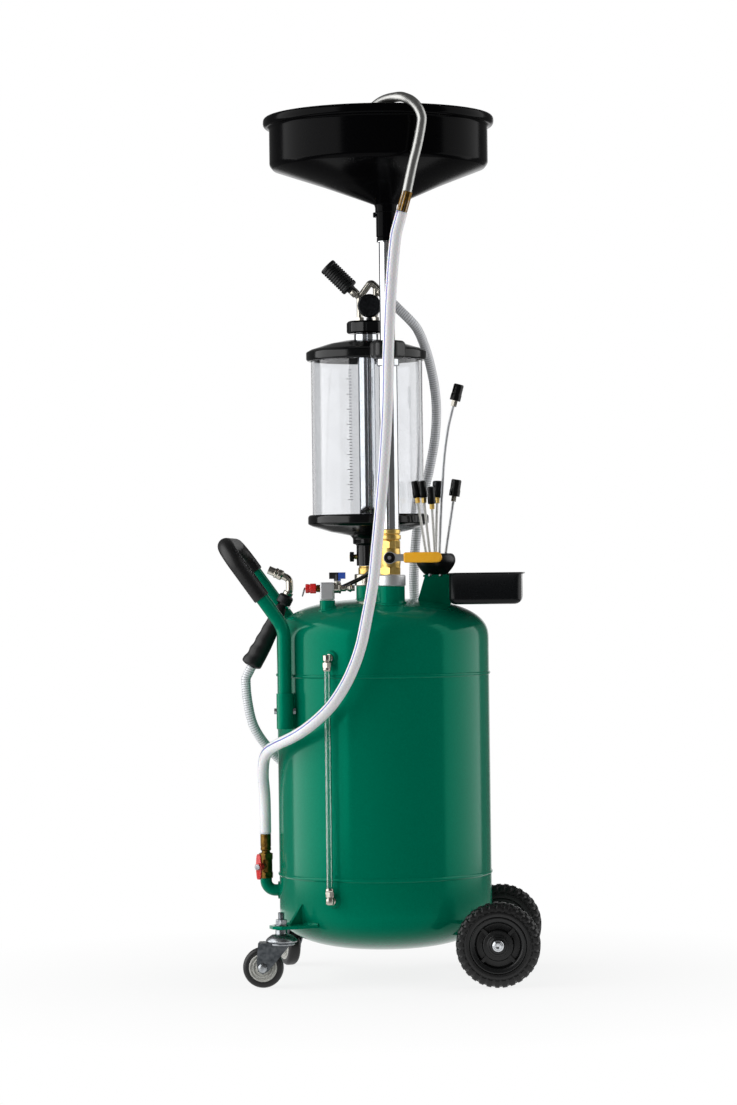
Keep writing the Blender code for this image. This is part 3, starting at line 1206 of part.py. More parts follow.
collar_foot = lid_top + SEAT_GAP
collar_top = collar_foot + CENTRE_COLLAR_HEIGHT
spigot_top = collar_top + TOP_NUT_HEIGHT * 0.8
tube_bore = CENTRE_TUBE_RADIUS - CENTRE_TUBE_WALL
spigot_radius = CENTRE_TUBE_RADIUS - CENTRE_TUBE_WALL / 2
tube_outline = [
    (tube_bore, tube_low),
    (CENTRE_TUBE_RADIUS, tube_low),
    (CENTRE_TUBE_RADIUS, collar_foot),
    (CENTRE_COLLAR_RADIUS, collar_foot),
    (CENTRE_COLLAR_RADIUS, collar_top),
    (spigot_radius, collar_top),
    (spigot_radius, spigot_top),
    (tube_bore, spigot_top),
]
add("chamber_centre_tube", turned(tube_outline, 14), CHROME, at=chamber_spot)
top_low = collar_top + SEAT_GAP
top_high = top_low + TOP_NUT_HEIGHT
bevel = TOP_NUT_HEIGHT / 6
top_outline = [
    (spigot_radius + SEAT_GAP, top_low),
    (TOP_NUT_RADIUS - bevel, top_low),
    (TOP_NUT_RADIUS, top_low + bevel),
    (TOP_NUT_RADIUS, top_high - bevel),
    (TOP_NUT_RADIUS - bevel, top_high),
    (0, top_high),
    (0, spigot_top + SEAT_GAP),
    (spigot_radius + SEAT_GAP, spigot_top + SEAT_GAP),
]
top_shape = top_outline[5::-1] + top_outline[:5:-1]
add("chamber_top_nut", turned(top_shape, 14), BLACK, at=chamber_spot)

# Gauge, top elbow and silencer over the top nut
gauge_low = top_high + SEAT_GAP
gauge_z = gauge_low + GAUGE_RADIUS + 0.006
gauge_spot = (CHAMBER_X + GAUGE_ASIDE, CHAMBER_Y - GAUGE_FORWARD, gauge_z)
case_outline = [
    (0, -GAUGE_DEPTH / 2),
    (GAUGE_RADIUS, -GAUGE_DEPTH / 2),
    (GAUGE_RADIUS, GAUGE_DEPTH / 2 - 0.002),
    (GAUGE_RADIUS - 0.002, GAUGE_DEPTH / 2),
    (0, GAUGE_DEPTH / 2),
]
gauge = add("vacuum_gauge", turned(case_outline, 18), BLACK, gauge_spot, crosswise)
stalk = rod(0.005, gauge_low, gauge_z, 12)
shape_by(gauge, "UNION", "stalk", stalk, at=(gauge_spot[0], gauge_spot[1], 0))
elbow_y = CHAMBER_Y + ELBOW_BACK
pipe_x = CHAMBER_X - 0.0130
valley = Vector((pipe_x, elbow_y, top_high + 0.047))
crest = valley + Vector((0.0245, 0, 0.0295))
hose_end = crest + Vector((0.034, 0, -0.034))
arm_way = Vector((-1, 0, 1)).normalized()
arm_end = valley + arm_way * 0.0195
neck = swept([valley + arm_way * -0.004, arm_end], [ELBOW_RADIUS, ELBOW_RADIUS], 8)
top_elbow = add("chamber_top_elbow", neck, NICKEL)
ridge = swept([valley, crest, hose_end], [ELBOW_RADIUS] * 3, 8)
shape_by(top_elbow, "UNION", "ridge", ridge)
shape_by(top_elbow, "UNION", "knuckle", turned(ball_outline(ELBOW_RADIUS * 1.3), 10), at=valley)
upright = rod(ELBOW_RADIUS * 0.8, gauge_low, valley.z, 8)
shape_by(top_elbow, "UNION", "upright", upright, at=(pipe_x, elbow_y, 0))
barb_x = 0.010
barb_z = crest.z - (barb_x - crest.x)
barb = rod(AIR_HOSE_RADIUS * 0.9, 0, 0.016, 8)
shape_by(top_elbow, "UNION", "air_barb", barb, at=(barb_x, elbow_y, barb_z), turn=aim((0, -1, 0)))
silencer_outline = [(0, 0), (SILENCER_RADIUS * 0.55, 0), (SILENCER_RADIUS * 0.9, 0.004)]
for rib in range(SILENCER_RIBS):
    pitch = (SILENCER_LENGTH - 0.008) / SILENCER_RIBS
    silencer_outline.append((SILENCER_RADIUS, 0.004 + (rib + 0.4) * pitch))
    silencer_outline.append((SILENCER_RADIUS * 0.88, 0.004 + (rib + 0.75) * pitch))
silencer_outline += [(SILENCER_RADIUS * 0.88, SILENCER_LENGTH), (0, SILENCER_LENGTH)]
silencer_spot = arm_end + arm_way * SEAT_GAP
add("exhaust_silencer", turned(silencer_outline, 10), BLACK, silencer_spot, aim(arm_way))

# Air manifold on its neck: block, mini valve, quick nipple, safety valve with pull ring, valve lever
block_low = AIR_NECK_TOP_Z + SEAT_GAP
block_high = block_low + MANIFOLD_HEIGHT
reach = MANIFOLD_WIDTH / 2
port_z = block_high - PORT_DROP
body = block((AIR_X - reach, AIR_Y - reach, block_low), (AIR_X + reach, AIR_Y + reach, block_high))
manifold = add("air_manifold", body, ALUMINIUM)
port_spot = (AIR_X, AIR_Y, port_z)
nipple_end = reach + AIR_VALVE_LENGTH + NIPPLE_LENGTH
barrel = turned(
    [
        (0, 0),
        (AIR_VALVE_RADIUS, 0),
        (AIR_VALVE_RADIUS, reach + AIR_VALVE_LENGTH),
        (0.006, reach + AIR_VALVE_LENGTH + 0.002),
        (0.006, nipple_end - 0.011),
        (0.0075, nipple_end - 0.009),
        (0.0055, nipple_end),
        (0, nipple_end),
    ],
    12,
)
shape_by(manifold, "UNION", "mini_valve", barrel, port_spot, aim((1, 0, 0)))
lever_x = AIR_X + reach + AIR_VALVE_LENGTH / 2
boss_top = port_z + AIR_VALVE_RADIUS + 0.004
shape_by(manifold, "UNION", "stem_boss", rod(0.006, port_z, boss_top, 12), at=(lever_x, AIR_Y, 0))
air_tail = rod(AIR_HOSE_RADIUS * 0.9, 0, AIR_TAIL_LENGTH, 12)
shape_by(manifold, "UNION", "hose_tail", air_tail, (lever_x + 0.004, AIR_Y, port_z), aim((0, 1, 0)))
safety_outline = [
    (0, 0),
    (SAFETY_RADIUS * 0.7, 0),
    (SAFETY_RADIUS * 0.7, 0.008),
    (SAFETY_RADIUS, 0.009),
    (SAFETY_RADIUS, SAFETY_LENGTH * 0.7),
    (SAFETY_RADIUS * 0.75, SAFETY_LENGTH * 0.75),
    (SAFETY_RADIUS * 0.75, SAFETY_LENGTH),
    (0, SAFETY_LENGTH),
]
safety_spot = (AIR_X - reach - SEAT_GAP, AIR_Y, port_z)
safety = add("safety_valve", turned(safety_outline, 12), RED, safety_spot, aim((-1, 0, 0)))
pull = pivot("safety_ring_pull", safety_spot, aim((-1, 0, 0)))
pin_hole = rod(PULL_WIRE_RADIUS + RUN_GAP, SAFETY_LENGTH / 2, SAFETY_LENGTH * 1.2, 10)
shape_by(safety, "DIFFERENCE", "pin_hole", pin_hole, carrier=pull)
wire_turns = [2 * math.pi * step / 6 for step in range(6)]
wire = [
    (PULL_RING_RADIUS + PULL_WIRE_RADIUS * math.cos(t), PULL_WIRE_RADIUS * math.sin(t)) for t in wire_turns
]
ring_out = SAFETY_LENGTH + PULL_RING_RADIUS + PULL_WIRE_RADIUS + 2 * RUN_GAP
ring = add("safety_pull_ring", turned(wire, 10), ZINC, (0, 0, ring_out), crosswise, pull)
pin = rod(PULL_WIRE_RADIUS, SAFETY_LENGTH / 2 + RUN_GAP, ring_out - PULL_RING_RADIUS, 10)
shape_by(ring, "UNION", "pin", pin, carrier=pull)
air_turn = pivot("air_valve_turn", (lever_x, AIR_Y, boss_top + RUN_GAP))
knob = rod(0.0065, 0, 0.012, 12)
air_lever = add("air_valve_lever", knob, BLACK, carrier=air_turn)
tongue = extruded(
    [
        (-AIR_LEVER_LENGTH / 2, -0.004),
        (0, -0.006),
        (AIR_LEVER_LENGTH / 2, -0.004),
        (AIR_LEVER_LENGTH / 2, 0.004),
        (0, 0.006),
        (-AIR_LEVER_LENGTH / 2, 0.004),
    ],
    0.004,
    0.016,
)
shape_by(air_lever, "UNION", "tongue", tongue, carrier=air_turn)

# Suction grip in the handle's fork: moulded grip with finger ridges, neck and nut, then its connector
neck_face = FORK_CLIP / 2 + SEAT_GAP
grip_drop = (SUCTION_GRIP_NECK - SUCTION_GRIP_FOOT).length
grip_rows = [
    (-grip_drop, 0.0125, -0.002),
    (-grip_drop + 0.003, 0.0200, -0.0025),
    (-grip_drop + 0.012, 0.0200, -0.0025),
    (-grip_drop + 0.022, 0.0180, 0.000),
    (-grip_drop + 0.032, 0.0190, -0.001),
    (-grip_drop + 0.044, 0.0172, 0.001),
    (-grip_drop + 0.055, 0.0178, 0.000),
    (-grip_drop + 0.067, 0.0161, 0.001),
    (-grip_drop + 0.079, 0.0164, 0.0005),
    (-grip_drop + 0.091, 0.0148, 0.001),
    (-grip_drop + 0.103, 0.0145, 0.0005),
    (-grip_drop + 0.114, 0.0125, 0.000),
    (-neck_face - 0.006, 0.0110, 0.000),
    (-neck_face, SUCTION_NECK_RADIUS, 0.000),
    (neck_face, SUCTION_NECK_RADIUS, 0.000),
    (neck_face + 0.0002, SUCTION_NUT_RADIUS, 0.000),
    (neck_face + 0.016, SUCTION_NUT_RADIUS, 0.000),
    (neck_face + 0.019, SUCTION_NUT_RADIUS - 0.004, 0.000),
]
grip_rings = []
for height, radius, shift in grip_rows:
    grip_rings.append(
        [
            (shift + radius * math.cos(turn), 0.85 * radius * math.sin(turn), height)
            for turn in [2 * math.pi * step / 10 for step in range(10)]
        ]
    )
add("suction_grip", lofted(grip_rings), BLACK, carrier=clip_stand)
connector_low = SUCTION_GRIP_NECK + grip_way * (neck_face + 0.019 + SEAT_GAP)
upright_point = connector_low + grip_way * 0.010
turn_point = upright_point + Vector((0, 0, 0.022))
coupler_way = Vector((-0.91, 0, 0.41)).normalized()
connector_corners = [connector_low, upright_point, turn_point, turn_point + coupler_way * 0.044]
connector_path = rounded(connector_corners, [0.012, 0.012], 3)
cut_at = len(connector_path) - 1
coupler_start = connector_path[-1] - coupler_way * 0.028
connector_path = connector_path[:cut_at] + [
    coupler_start,
    coupler_start + coupler_way * 0.0005,
    coupler_start + coupler_way * 0.014,
    coupler_start + coupler_way * 0.0145,
    connector_path[-1],
]
tip_radius = CONNECTOR_RADIUS + 0.001
connector_radii = [CONNECTOR_RADIUS] * (cut_at + 1) + [COUPLER_RADIUS] * 2 + [tip_radius] * 2
add("suction_connector", swept(connector_path, connector_radii, 10), NICKEL)

# Probe holder in the bracket's slot: an hourglass cup, open on top
holder_spot = (HOLDER_X, 0, 0)
shoulder = HOLDER_BRACKET_Z + SEAT_GAP
flare_top = shoulder + HOLDER_FLARE_HEIGHT
mouth_top = flare_top + HOLDER_MOUTH_HEIGHT
holder_floor = HOLDER_FOOT_Z + HOLDER_WALL
below = HOLDER_BRACKET_Z - HOLDER_BRACKET - SEAT_GAP
holder_outline = [
    (0, HOLDER_FOOT_Z),
    (HOLDER_FOOT_RADIUS, HOLDER_FOOT_Z),
    (HOLDER_WAIST_RADIUS, below),
    (HOLDER_WAIST_RADIUS, shoulder),
    (HOLDER_WAIST_RADIUS + 0.001, shoulder + 0.0005),
    (HOLDER_MOUTH_RADIUS - 0.006, flare_top - 0.006),
    (HOLDER_MOUTH_RADIUS, flare_top),
    (HOLDER_MOUTH_RADIUS, mouth_top),
    (HOLDER_MOUTH_RADIUS - HOLDER_WALL, mouth_top),
    (HOLDER_MOUTH_RADIUS - HOLDER_WALL, flare_top),
    (HOLDER_WAIST_RADIUS - HOLDER_WALL, shoulder),
    (HOLDER_WAIST_RADIUS - HOLDER_WALL, below),
    (HOLDER_FOOT_RADIUS - HOLDER_WALL, holder_floor),
    (0, holder_floor),
]
add("probe_holder", turned(holder_outline, 14), BLACK, at=holder_spot)

# Six probes standing in the holder: where each top lies from the holder's axis, and how high over the bracket
PROBES = [
    ("probe_1", 180, -0.034, -0.027, 0.156, PROBE_CAP_RADIUS),
    ("probe_2", 240, -0.021, -0.036, 0.156, PROBE_CAP_RADIUS),
    ("probe_3", 300, -0.005, -0.042, 0.144, PROBE_CAP_RADIUS),
    ("probe_4", 120, 0.004, 0.025, 0.156, WIDE_CAP_RADIUS),
    ("probe_5", 0, 0.038, 0.000, 0.158, WIDE_CAP_RADIUS),
]
TALL_PROBE_STRAIGHT = 0.160
TALL_PROBE_BEND = [
    (0.004, 0.0006, 0.060),
    (0.009, 0.0008, 0.115),
    (0.017, 0.0010, 0.165),
    (0.026, 0.0010, 0.200),
]
probe_floor = holder_floor + SEAT_GAP + PROBE_RADIUS / 4


def probe(name, path, way, cap_radius):
    """A thin tube that ends in a nut and a cap."""
    top = Vector(path[-1])
    sharp = PROBE_RADIUS / 10
    marks = [
        (0, PROBE_RADIUS),
        (sharp, PROBE_NUT_RADIUS),
        (PROBE_NUT_LENGTH, PROBE_NUT_RADIUS),
        (PROBE_NUT_LENGTH + sharp, cap_radius),
        (PROBE_NUT_LENGTH + PROBE_CAP_LENGTH - 0.002, cap_radius),
        (PROBE_NUT_LENGTH + PROBE_CAP_LENGTH, cap_radius - 0.002),
    ]
    whole = [Vector(point) for point in path[:-1]] + [top + way * along for along, _ in marks]
    radii = [PROBE_RADIUS] * (len(path) - 1) + [radius for _, radius in marks]
    add(name, swept(whole, radii, 6), NICKEL)


for name, degrees, x, y, over, cap_radius in PROBES:
    turn = math.radians(degrees)
    foot = Vector((HOLDER_X + PROBE_CIRCLE * math.cos(turn), PROBE_CIRCLE * math.sin(turn), probe_floor))
    tip = Vector((HOLDER_X + x, y, HOLDER_BRACKET_Z + over))
    way = (tip - foot).normalized()
    probe(name, [foot, tip - way * (PROBE_NUT_LENGTH + PROBE_CAP_LENGTH) / 2], way, cap_radius)
turn = math.radians(60)
tall_foot = Vector((HOLDER_X + PROBE_CIRCLE * math.cos(turn), PROBE_CIRCLE * math.sin(turn), probe_floor))
tall_way = Vector((0.010, 0.006, 0.2)).normalized()
tall_knee = tall_foot + tall_way * TALL_PROBE_STRAIGHT
tall_path = [tall_foot, tall_knee] + [tall_knee + Vector(step) for step in TALL_PROBE_BEND]
probe("probe_6", tall_path, (tall_path[-1] - tall_path[-2]).normalized(), WIDE_CAP_RADIUS)

# Tool tray hooked over the bracket's edge
tray_low_x = tray_x + SEAT_GAP
tray_top = HOLDER_BRACKET_Z + SEAT_GAP + TRAY_WALL
tray_low = tray_top - TRAY_HEIGHT


def tray_ring(grow, z):
    """A rounded rectangle round the tray's middle, moved out by grow."""
    half_x = TRAY_LENGTH / 2 + grow
    half_y = TRAY_DEPTH / 2 + grow
    corner = TRAY_CORNER + grow
    middle = tray_low_x + TRAY_LENGTH / 2
    points = []
    for place, (sx, sy) in enumerate(((1, 1), (-1, 1), (-1, -1), (1, -1))):
        for step in range(4):
            turn = math.pi / 2 * (place + step / 3)
            x = middle + sx * (half_x - corner) + corner * math.cos(turn)
            points.append((x, sy * (half_y - corner) + corner * math.sin(turn), z))
    return points


tray_rings = [
    tray_ring(-0.004, tray_low),
    tray_ring(0, tray_low + 0.004),
    tray_ring(0, tray_top - TRAY_WALL),
    tray_ring(TRAY_LIP, tray_top - TRAY_WALL),
    tray_ring(TRAY_LIP, tray_top),
    tray_ring(-TRAY_WALL, tray_top),
    tray_ring(-TRAY_WALL, tray_low + TRAY_WALL),
]
add("tool_tray", lofted(tray_rings), BLACK)

# Hoses, along points chosen by hand
DISCHARGE_ROUTE = [
    (0.0380, -0.2990, 1.2750),
    (0.0310, -0.2840, 1.1650),
    (0.0275, -0.2730, 1.0730),
    (0.0220, -0.2630, 0.9900),
    (0.0130, -0.2530, 0.8930),
    (0.0040, -0.2460, 0.8120),
    (-0.0035, -0.2410, 0.7480),
    (-0.0165, -0.2380, 0.6800),
    (-0.0300, -0.2370, 0.6220),
    (-0.0510, -0.2360, 0.5700),
    (-0.0780, -0.2330, 0.5270),
    (-0.1060, -0.2230, 0.4980),
    (-0.1370, -0.2030, 0.4740),
    (-0.1650, -0.1740, 0.4580),
    (-0.1900, -0.1380, 0.4460),
    (-0.2100, -0.0980, 0.4330),
    (-0.2220, -0.0580, 0.4130),
    (-0.2270, -0.0250, 0.3800),
    (-0.2262, -0.0060, 0.3460),
]
hook_foot = Vector((MAST_X, MAST_Y, 0)) + hook_start
discharge_start = hook_foot - hook_first * 2 * SEAT_GAP
discharge_end = Vector((OUTLET_X, 0, FERRULE_TOP_Z + SEAT_GAP))
discharge_lead = discharge_start - hook_first * 0.040
discharge_rise = discharge_end + Vector((0, 0, 0.040))
discharge_points = [discharge_start, discharge_lead] + DISCHARGE_ROUTE + [discharge_rise, discharge_end]
hose("discharge_hose", discharge_points, DISCHARGE_HOSE_RADIUS, HOSE, 0.052)
SUCTION_ROUTE = [
    (0.0730, 0.0930, 1.2180),
    (0.0910, 0.1230, 1.1620),
    (0.1010, 0.1480, 1.0960),
    (0.0990, 0.1640, 1.0300),
    (0.0860, 0.1760, 0.9600),
    (0.0680, 0.1850, 0.8900),
    (0.0560, 0.1920, 0.8100),
    (0.0520, 0.2030, 0.7300),
    (0.0560, 0.2170, 0.6500),
    (0.0640, 0.2240, 0.5600),
    (0.0640, 0.2270, 0.4700),
    (0.0460, 0.2320, 0.3850),
    (0.0060, 0.2370, 0.3280),
    (-0.0500, 0.2340, 0.3050),
    (-0.1080, 0.2140, 0.3200),
    (-0.1680, 0.1720, 0.3660),
    (-0.2180, 0.1295, 0.4130),
    (-0.2515, 0.1030, 0.4620),
    (-0.2645, 0.0960, 0.5100),
]
suction_way = (hose_end - crest).normalized()
suction_start = hose_end + suction_way * SEAT_GAP
suction_end = SUCTION_GRIP_FOOT - grip_way * SEAT_GAP
suction_lead = suction_start + suction_way * 0.052
suction_rise = suction_end - grip_way * 0.024
suction_points = [suction_start, suction_lead] + SUCTION_ROUTE + [suction_rise, suction_end]
hose("suction_hose", suction_points, SUCTION_HOSE_RADIUS, HOSE, 0.050)
AIR_ROUTE = [
    (-0.0700, -0.0450, 0.7358),
    (-0.0560, -0.0270, 0.7425),
    (-0.0340, -0.0200, 0.7535),
    (-0.0115, -0.0265, 0.7710),
    (0.0060, -0.0425, 0.7960),
    (0.0160, -0.0565, 0.8350),
    (0.0180, -0.0600, 0.8800),
    (0.0180, -0.0600, 0.9300),
    (0.0180, -0.0600, 1.0300),
    (0.0180, -0.0600, 1.1200),
    (0.0180, -0.0580, 1.1900),
    (0.0150, -0.0420, 1.2500),
    (0.0115, -0.0020, 1.2820),
]
air_start = (lever_x + 0.004, AIR_Y + AIR_TAIL_LENGTH + SEAT_GAP, port_z)
air_end = (barb_x, elbow_y - 0.016 - SEAT_GAP, barb_z)
before_end = (barb_x, elbow_y - 0.040, barb_z)
after_start = (lever_x + 0.004, AIR_Y + AIR_TAIL_LENGTH + 0.018, port_z)
hose("air_hose", [air_start, after_start] + AIR_ROUTE + [before_end, air_end], AIR_HOSE_RADIUS, BLACK, 0.022)
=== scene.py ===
import math

import bmesh
import bpy
from mathutils import Matrix, Vector, noise


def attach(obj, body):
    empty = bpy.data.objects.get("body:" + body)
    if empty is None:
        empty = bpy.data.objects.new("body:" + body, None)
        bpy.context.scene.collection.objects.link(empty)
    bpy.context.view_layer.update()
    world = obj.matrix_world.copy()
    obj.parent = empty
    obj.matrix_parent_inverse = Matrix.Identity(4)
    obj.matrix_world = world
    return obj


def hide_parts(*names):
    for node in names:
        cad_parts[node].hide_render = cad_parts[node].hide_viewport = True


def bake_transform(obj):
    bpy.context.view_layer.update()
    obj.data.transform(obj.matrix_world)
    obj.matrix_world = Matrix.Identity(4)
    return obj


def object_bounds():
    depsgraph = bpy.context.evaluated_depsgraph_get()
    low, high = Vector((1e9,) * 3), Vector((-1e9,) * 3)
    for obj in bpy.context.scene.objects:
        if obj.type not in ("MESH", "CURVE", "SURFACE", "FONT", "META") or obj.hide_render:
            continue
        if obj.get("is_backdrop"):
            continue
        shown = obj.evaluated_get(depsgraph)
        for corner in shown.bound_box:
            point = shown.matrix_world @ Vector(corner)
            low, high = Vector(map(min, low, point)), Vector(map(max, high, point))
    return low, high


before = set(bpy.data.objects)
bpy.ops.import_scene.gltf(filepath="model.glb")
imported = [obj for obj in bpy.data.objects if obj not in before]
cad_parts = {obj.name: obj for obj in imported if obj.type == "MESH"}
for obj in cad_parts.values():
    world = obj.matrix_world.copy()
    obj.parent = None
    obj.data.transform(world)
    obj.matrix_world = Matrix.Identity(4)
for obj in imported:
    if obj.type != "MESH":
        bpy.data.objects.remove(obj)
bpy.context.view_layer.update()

bpy.context.scene.view_settings.view_transform = "Standard"

# Tank: a rolled steel shell between two dished heads, welded round both seams.
# Necks, handle sockets, sight bosses and the outlet elbow are welded on,
# and the whole weldment is sprayed with green gloss enamel.
TANK_AXIS = Vector((0.00515, 0.0441, 0))
TANK_RADIUS = 0.200
TANK_WALL = 0.003
HEAD_RISE = 0.078
HEAD_POWER = 2.55
HEAD_STEPS = 28
SHELL_LOW_Z = 0.134
SHELL_HIGH_Z = 0.634
SEAM_LEVELS = (0.197, 0.571)
SEAM_WIDTH = 0.007
SEAM_PROUD = 0.0020
WELD_REACH = 0.1985
SMOOTH_ANGLE = math.radians(35)


def paint(code):
    """An sRGB hex colour in linear light, with full cover."""
    shares = [int(code[place : place + 2], 16) / 255 for place in (0, 2, 4)]
    light = [s / 12.92 if s <= 0.04045 else ((s + 0.055) / 1.055) ** 2.4 for s in shares]
    return (*light, 1.0)


def put(tree, kind, inputs, **settings):
    """One shader node; each input is a value or another node's output."""
    made = tree.nodes.new(kind)
    for name, value in settings.items():
        setattr(made, name, value)
    for name, value in inputs.items():
        if isinstance(value, bpy.types.NodeSocket):
            tree.links.new(value, made.inputs[name])
        else:
            made.inputs[name].default_value = value
    return made


def surface(name, colours, roughness, grain_mm, relief_mm, sockets, stretch=(1, 1, 1)):
    """A material whose colour, gloss and relief vary together over a grain given in millimetres."""
    made = bpy.data.materials.new(name)
    made.use_nodes = True
    tree = made.node_tree
    shader = tree.nodes["Principled BSDF"]
    for socket, value in sockets.items():
        shader.inputs[socket].default_value = value
    where = put(tree, "ShaderNodeTexCoord", {})
    drawn = put(tree, "ShaderNodeMapping", {"Vector": where.outputs["Object"], "Scale": stretch})
    grain = put(
        tree, "ShaderNodeTexNoise",
        {"Vector": drawn.outputs["Vector"], "Scale": 1000 / grain_mm, "Detail": 4.0},
    )
    share = put(
        tree, "ShaderNodeMapRange",
        {"Value": grain.outputs["Fac"], "From Min": 0.3, "From Max": 0.7},
    )
    tint = put(
        tree, "ShaderNodeMix",
        {0: share.outputs["Result"], 6: paint(colours[0]), 7: paint(colours[1])},
        data_type="RGBA",
    )
    gloss = put(
        tree, "ShaderNodeMapRange",
        {"Value": share.outputs["Result"], "To Min": roughness[0], "To Max": roughness[1]},
    )
    bump = put(
        tree, "ShaderNodeBump",
        {"Height": grain.outputs["Fac"], "Strength": 1.0, "Distance": relief_mm / 1000},
    )
    tree.links.new(tint.outputs[2], shader.inputs["Base Color"])
    tree.links.new(gloss.outputs["Result"], shader.inputs["Roughness"])
    tree.links.new(bump.outputs["Normal"], shader.inputs["Normal"])
    return made


def soften(outline, radius, steps=3):
    """A flat outline with each inner corner rounded to about that radius."""
    points = [Vector(point) for point in outline]
    made = [points[0]]
    for before, corner, after in zip(points, points[1:], points[2:]):
        into, away = before - corner, after - corner
        reach = min(radius, into.length * 0.45, away.length * 0.45)
        start = corner + into.normalized() * reach
        end = corner + away.normalized() * reach
        for step in range(steps + 1):
            share = step / steps
            made.append(start.lerp(corner, share).lerp(corner.lerp(end, share), share))
    return made + [points[-1]]


def skinned(rows, loop=False, along=None):
    """A mesh over rows of points: a row of one point is a tip, open ends are capped."""
    shape = bmesh.new()
    layer = shape.loops.layers.uv.new("skin")
    verts = [[shape.verts.new(point) for point in row] for row in rows]
    count = max(len(row) for row in rows)
    lengths = along or list(range(len(rows) + 1))
    order = list(range(len(rows))) + ([0] if loop else [])
    for place, (low, high) in enumerate(zip(order, order[1:])):
        for side in range(count):
            after = (side + 1) % count
            corners = [(low, side, 0), (low, after, 1), (high, after, 1), (high, side, 0)]
            used = []
            spots = []
            for row, which, step in corners:
                vert = verts[row][which if len(verts[row]) > 1 else 0]
                if vert not in used:
                    used.append(vert)
                    spots.append(((side + step) / count, lengths[place + (row == high and 1)]))
            face = shape.faces.new(used)
            for corner, spot in zip(face.loops, spots):
                corner[layer].uv = spot
    if not loop:
        for row in (verts[0], verts[-1]):
            if len(row) > 2:
                shape.faces.new(row)
    return closed_mesh(shape)


def closed_mesh(shape):
    """The finished mesh of a shape, with doubled points merged and its faces turned outward."""
    bmesh.ops.remove_doubles(shape, verts=shape.verts, dist=1e-7)
    bmesh.ops.recalc_face_normals(shape, faces=shape.faces)
    mesh = bpy.data.meshes.new("shape")
    shape.to_mesh(mesh)
    shape.free()
    return mesh


def full_turn(steps):
    """The angles of a full turn in equal steps."""
    return [math.tau * step / steps for step in range(steps)]


def turned(outline, sides=64, form=None, loop=False):
    """An outline of (radius, height) points turned about Z; form may vary the radius with the angle."""
    rows = []
    for radius, height in outline:
        if radius < 1e-6:
            rows.append([(0, 0, height)])
            continue
        row = []
        for turn in full_turn(sides):
            reach = form(turn, radius, height) if form else radius
            row.append((reach * math.cos(turn), reach * math.sin(turn), height))
        rows.append(row)
    return skinned(rows, loop)


def run_lengths(points):
    """How far along a line each of its points lies."""
    spans = [0.0]
    for a, b in zip(points, points[1:]):
        spans.append(spans[-1] + (b - a).length)
    return spans


def swept(path, radii, sides=24, closed=False, bore=None):
    """A round bar along a path, with one radius or one for each point; a bore makes it a pipe."""
    path = [Vector(point) for point in path]
    radii = radii if isinstance(radii, list) else [radii] * len(path)
    ahead = path[1:] + path[:1] if closed else path[1:]
    ways = [(b - a).normalized() for a, b in zip(path, ahead)]
    if closed:
        tangents = [(a + b).normalized() for a, b in zip(ways[-1:] + ways, ways)]
    else:
        tangents = ways[:1] + [(a + b).normalized() for a, b in zip(ways, ways[1:])] + ways[-1:]
    side = Vector((0, 1, 0)) if abs(tangents[0].y) < 0.9 else Vector((1, 0, 0))
    frames = []
    for before, tangent in zip(tangents[:1] + tangents, tangents):
        side = before.rotation_difference(tangent) @ side
        side = (side - tangent * side.dot(tangent)).normalized()
        frames.append((side.copy(), tangent.cross(side)))
    spans = run_lengths(path + path[:1] if closed else path)

    def ring(place, radius):
        across, up = frames[place]
        return [path[place] + (across * math.cos(t) + up * math.sin(t)) * radius for t in full_turn(sides)]

    rings = [ring(place, radii[place]) for place in range(len(path))]
    if bore:
        rings += [ring(place, bore) for place in reversed(range(len(path)))]
        return skinned(rings, loop=True, along=spans[: len(path)] + spans[: len(path)][::-1] + [0.0])
    return skinned(rings, loop=closed, along=spans)


def extruded(outline, low, high):
    """A flat outline in X and Y, drawn up along Z."""
    return skinned([[(x, y, z) for x, y in outline] for z in (low, high)])


def gather(*meshes):
    """Several meshes as one."""
    shape = bmesh.new()
    for mesh in meshes:
        shape.from_mesh(mesh)
        bpy.data.meshes.remove(mesh)
    mesh = bpy.data.meshes.new("shape")
    shape.to_mesh(mesh)
    shape.free()
    return mesh


def moved(mesh, matrix):
    """The mesh put in its place."""
    mesh.transform(matrix)
    return mesh


def stand(x, y, z, way=(0, 0, 1), turn=0.0):
    """The place of a shape made about Z: a point from the tank's axis, and the way its Z points."""
    aimed = Vector((0, 0, 1)).rotation_difference(Vector(way)).to_matrix().to_4x4()
    return Matrix.Translation(TANK_AXIS + Vector((x, y, z))) @ aimed @ Matrix.Rotation(turn, 4, "Z")


def column(outline, sides, x, y, form=None, loop=True):
    """An outline turned about an upright axis at a point from the tank's axis."""
    return moved(turned(outline, sides, form, loop), stand(x, y, 0))


def piece(name, mesh, finish, body, *nodes, slot=None, edge=0.0):
    """A named piece in one finish: it rides on a body and stands for the CAD nodes named."""
    mesh.name = name
    mesh.materials.clear()
    mesh.materials.append(finish)
    mesh.shade_smooth()
    mesh.set_sharp_from_angle(angle=SMOOTH_ANGLE)
    made = bpy.data.objects.new(name, mesh)
    bpy.context.scene.collection.objects.link(made)
    if edge:
        eased = made.modifiers.new("eased_edges", "BEVEL")
        eased.width = edge
        eased.segments = 3
        eased.limit_method = "ANGLE"
        eased.angle_limit = SMOOTH_ANGLE
        eased.harden_normals = True
    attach(made, body)
    if nodes:
        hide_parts(*nodes)
    return made


def dome_z(distance):
    """The height of the tank's top at a distance from its axis."""
    return SHELL_HIGH_Z + HEAD_RISE * (1 - (distance / TANK_RADIUS) ** HEAD_POWER) ** (1 / HEAD_POWER)


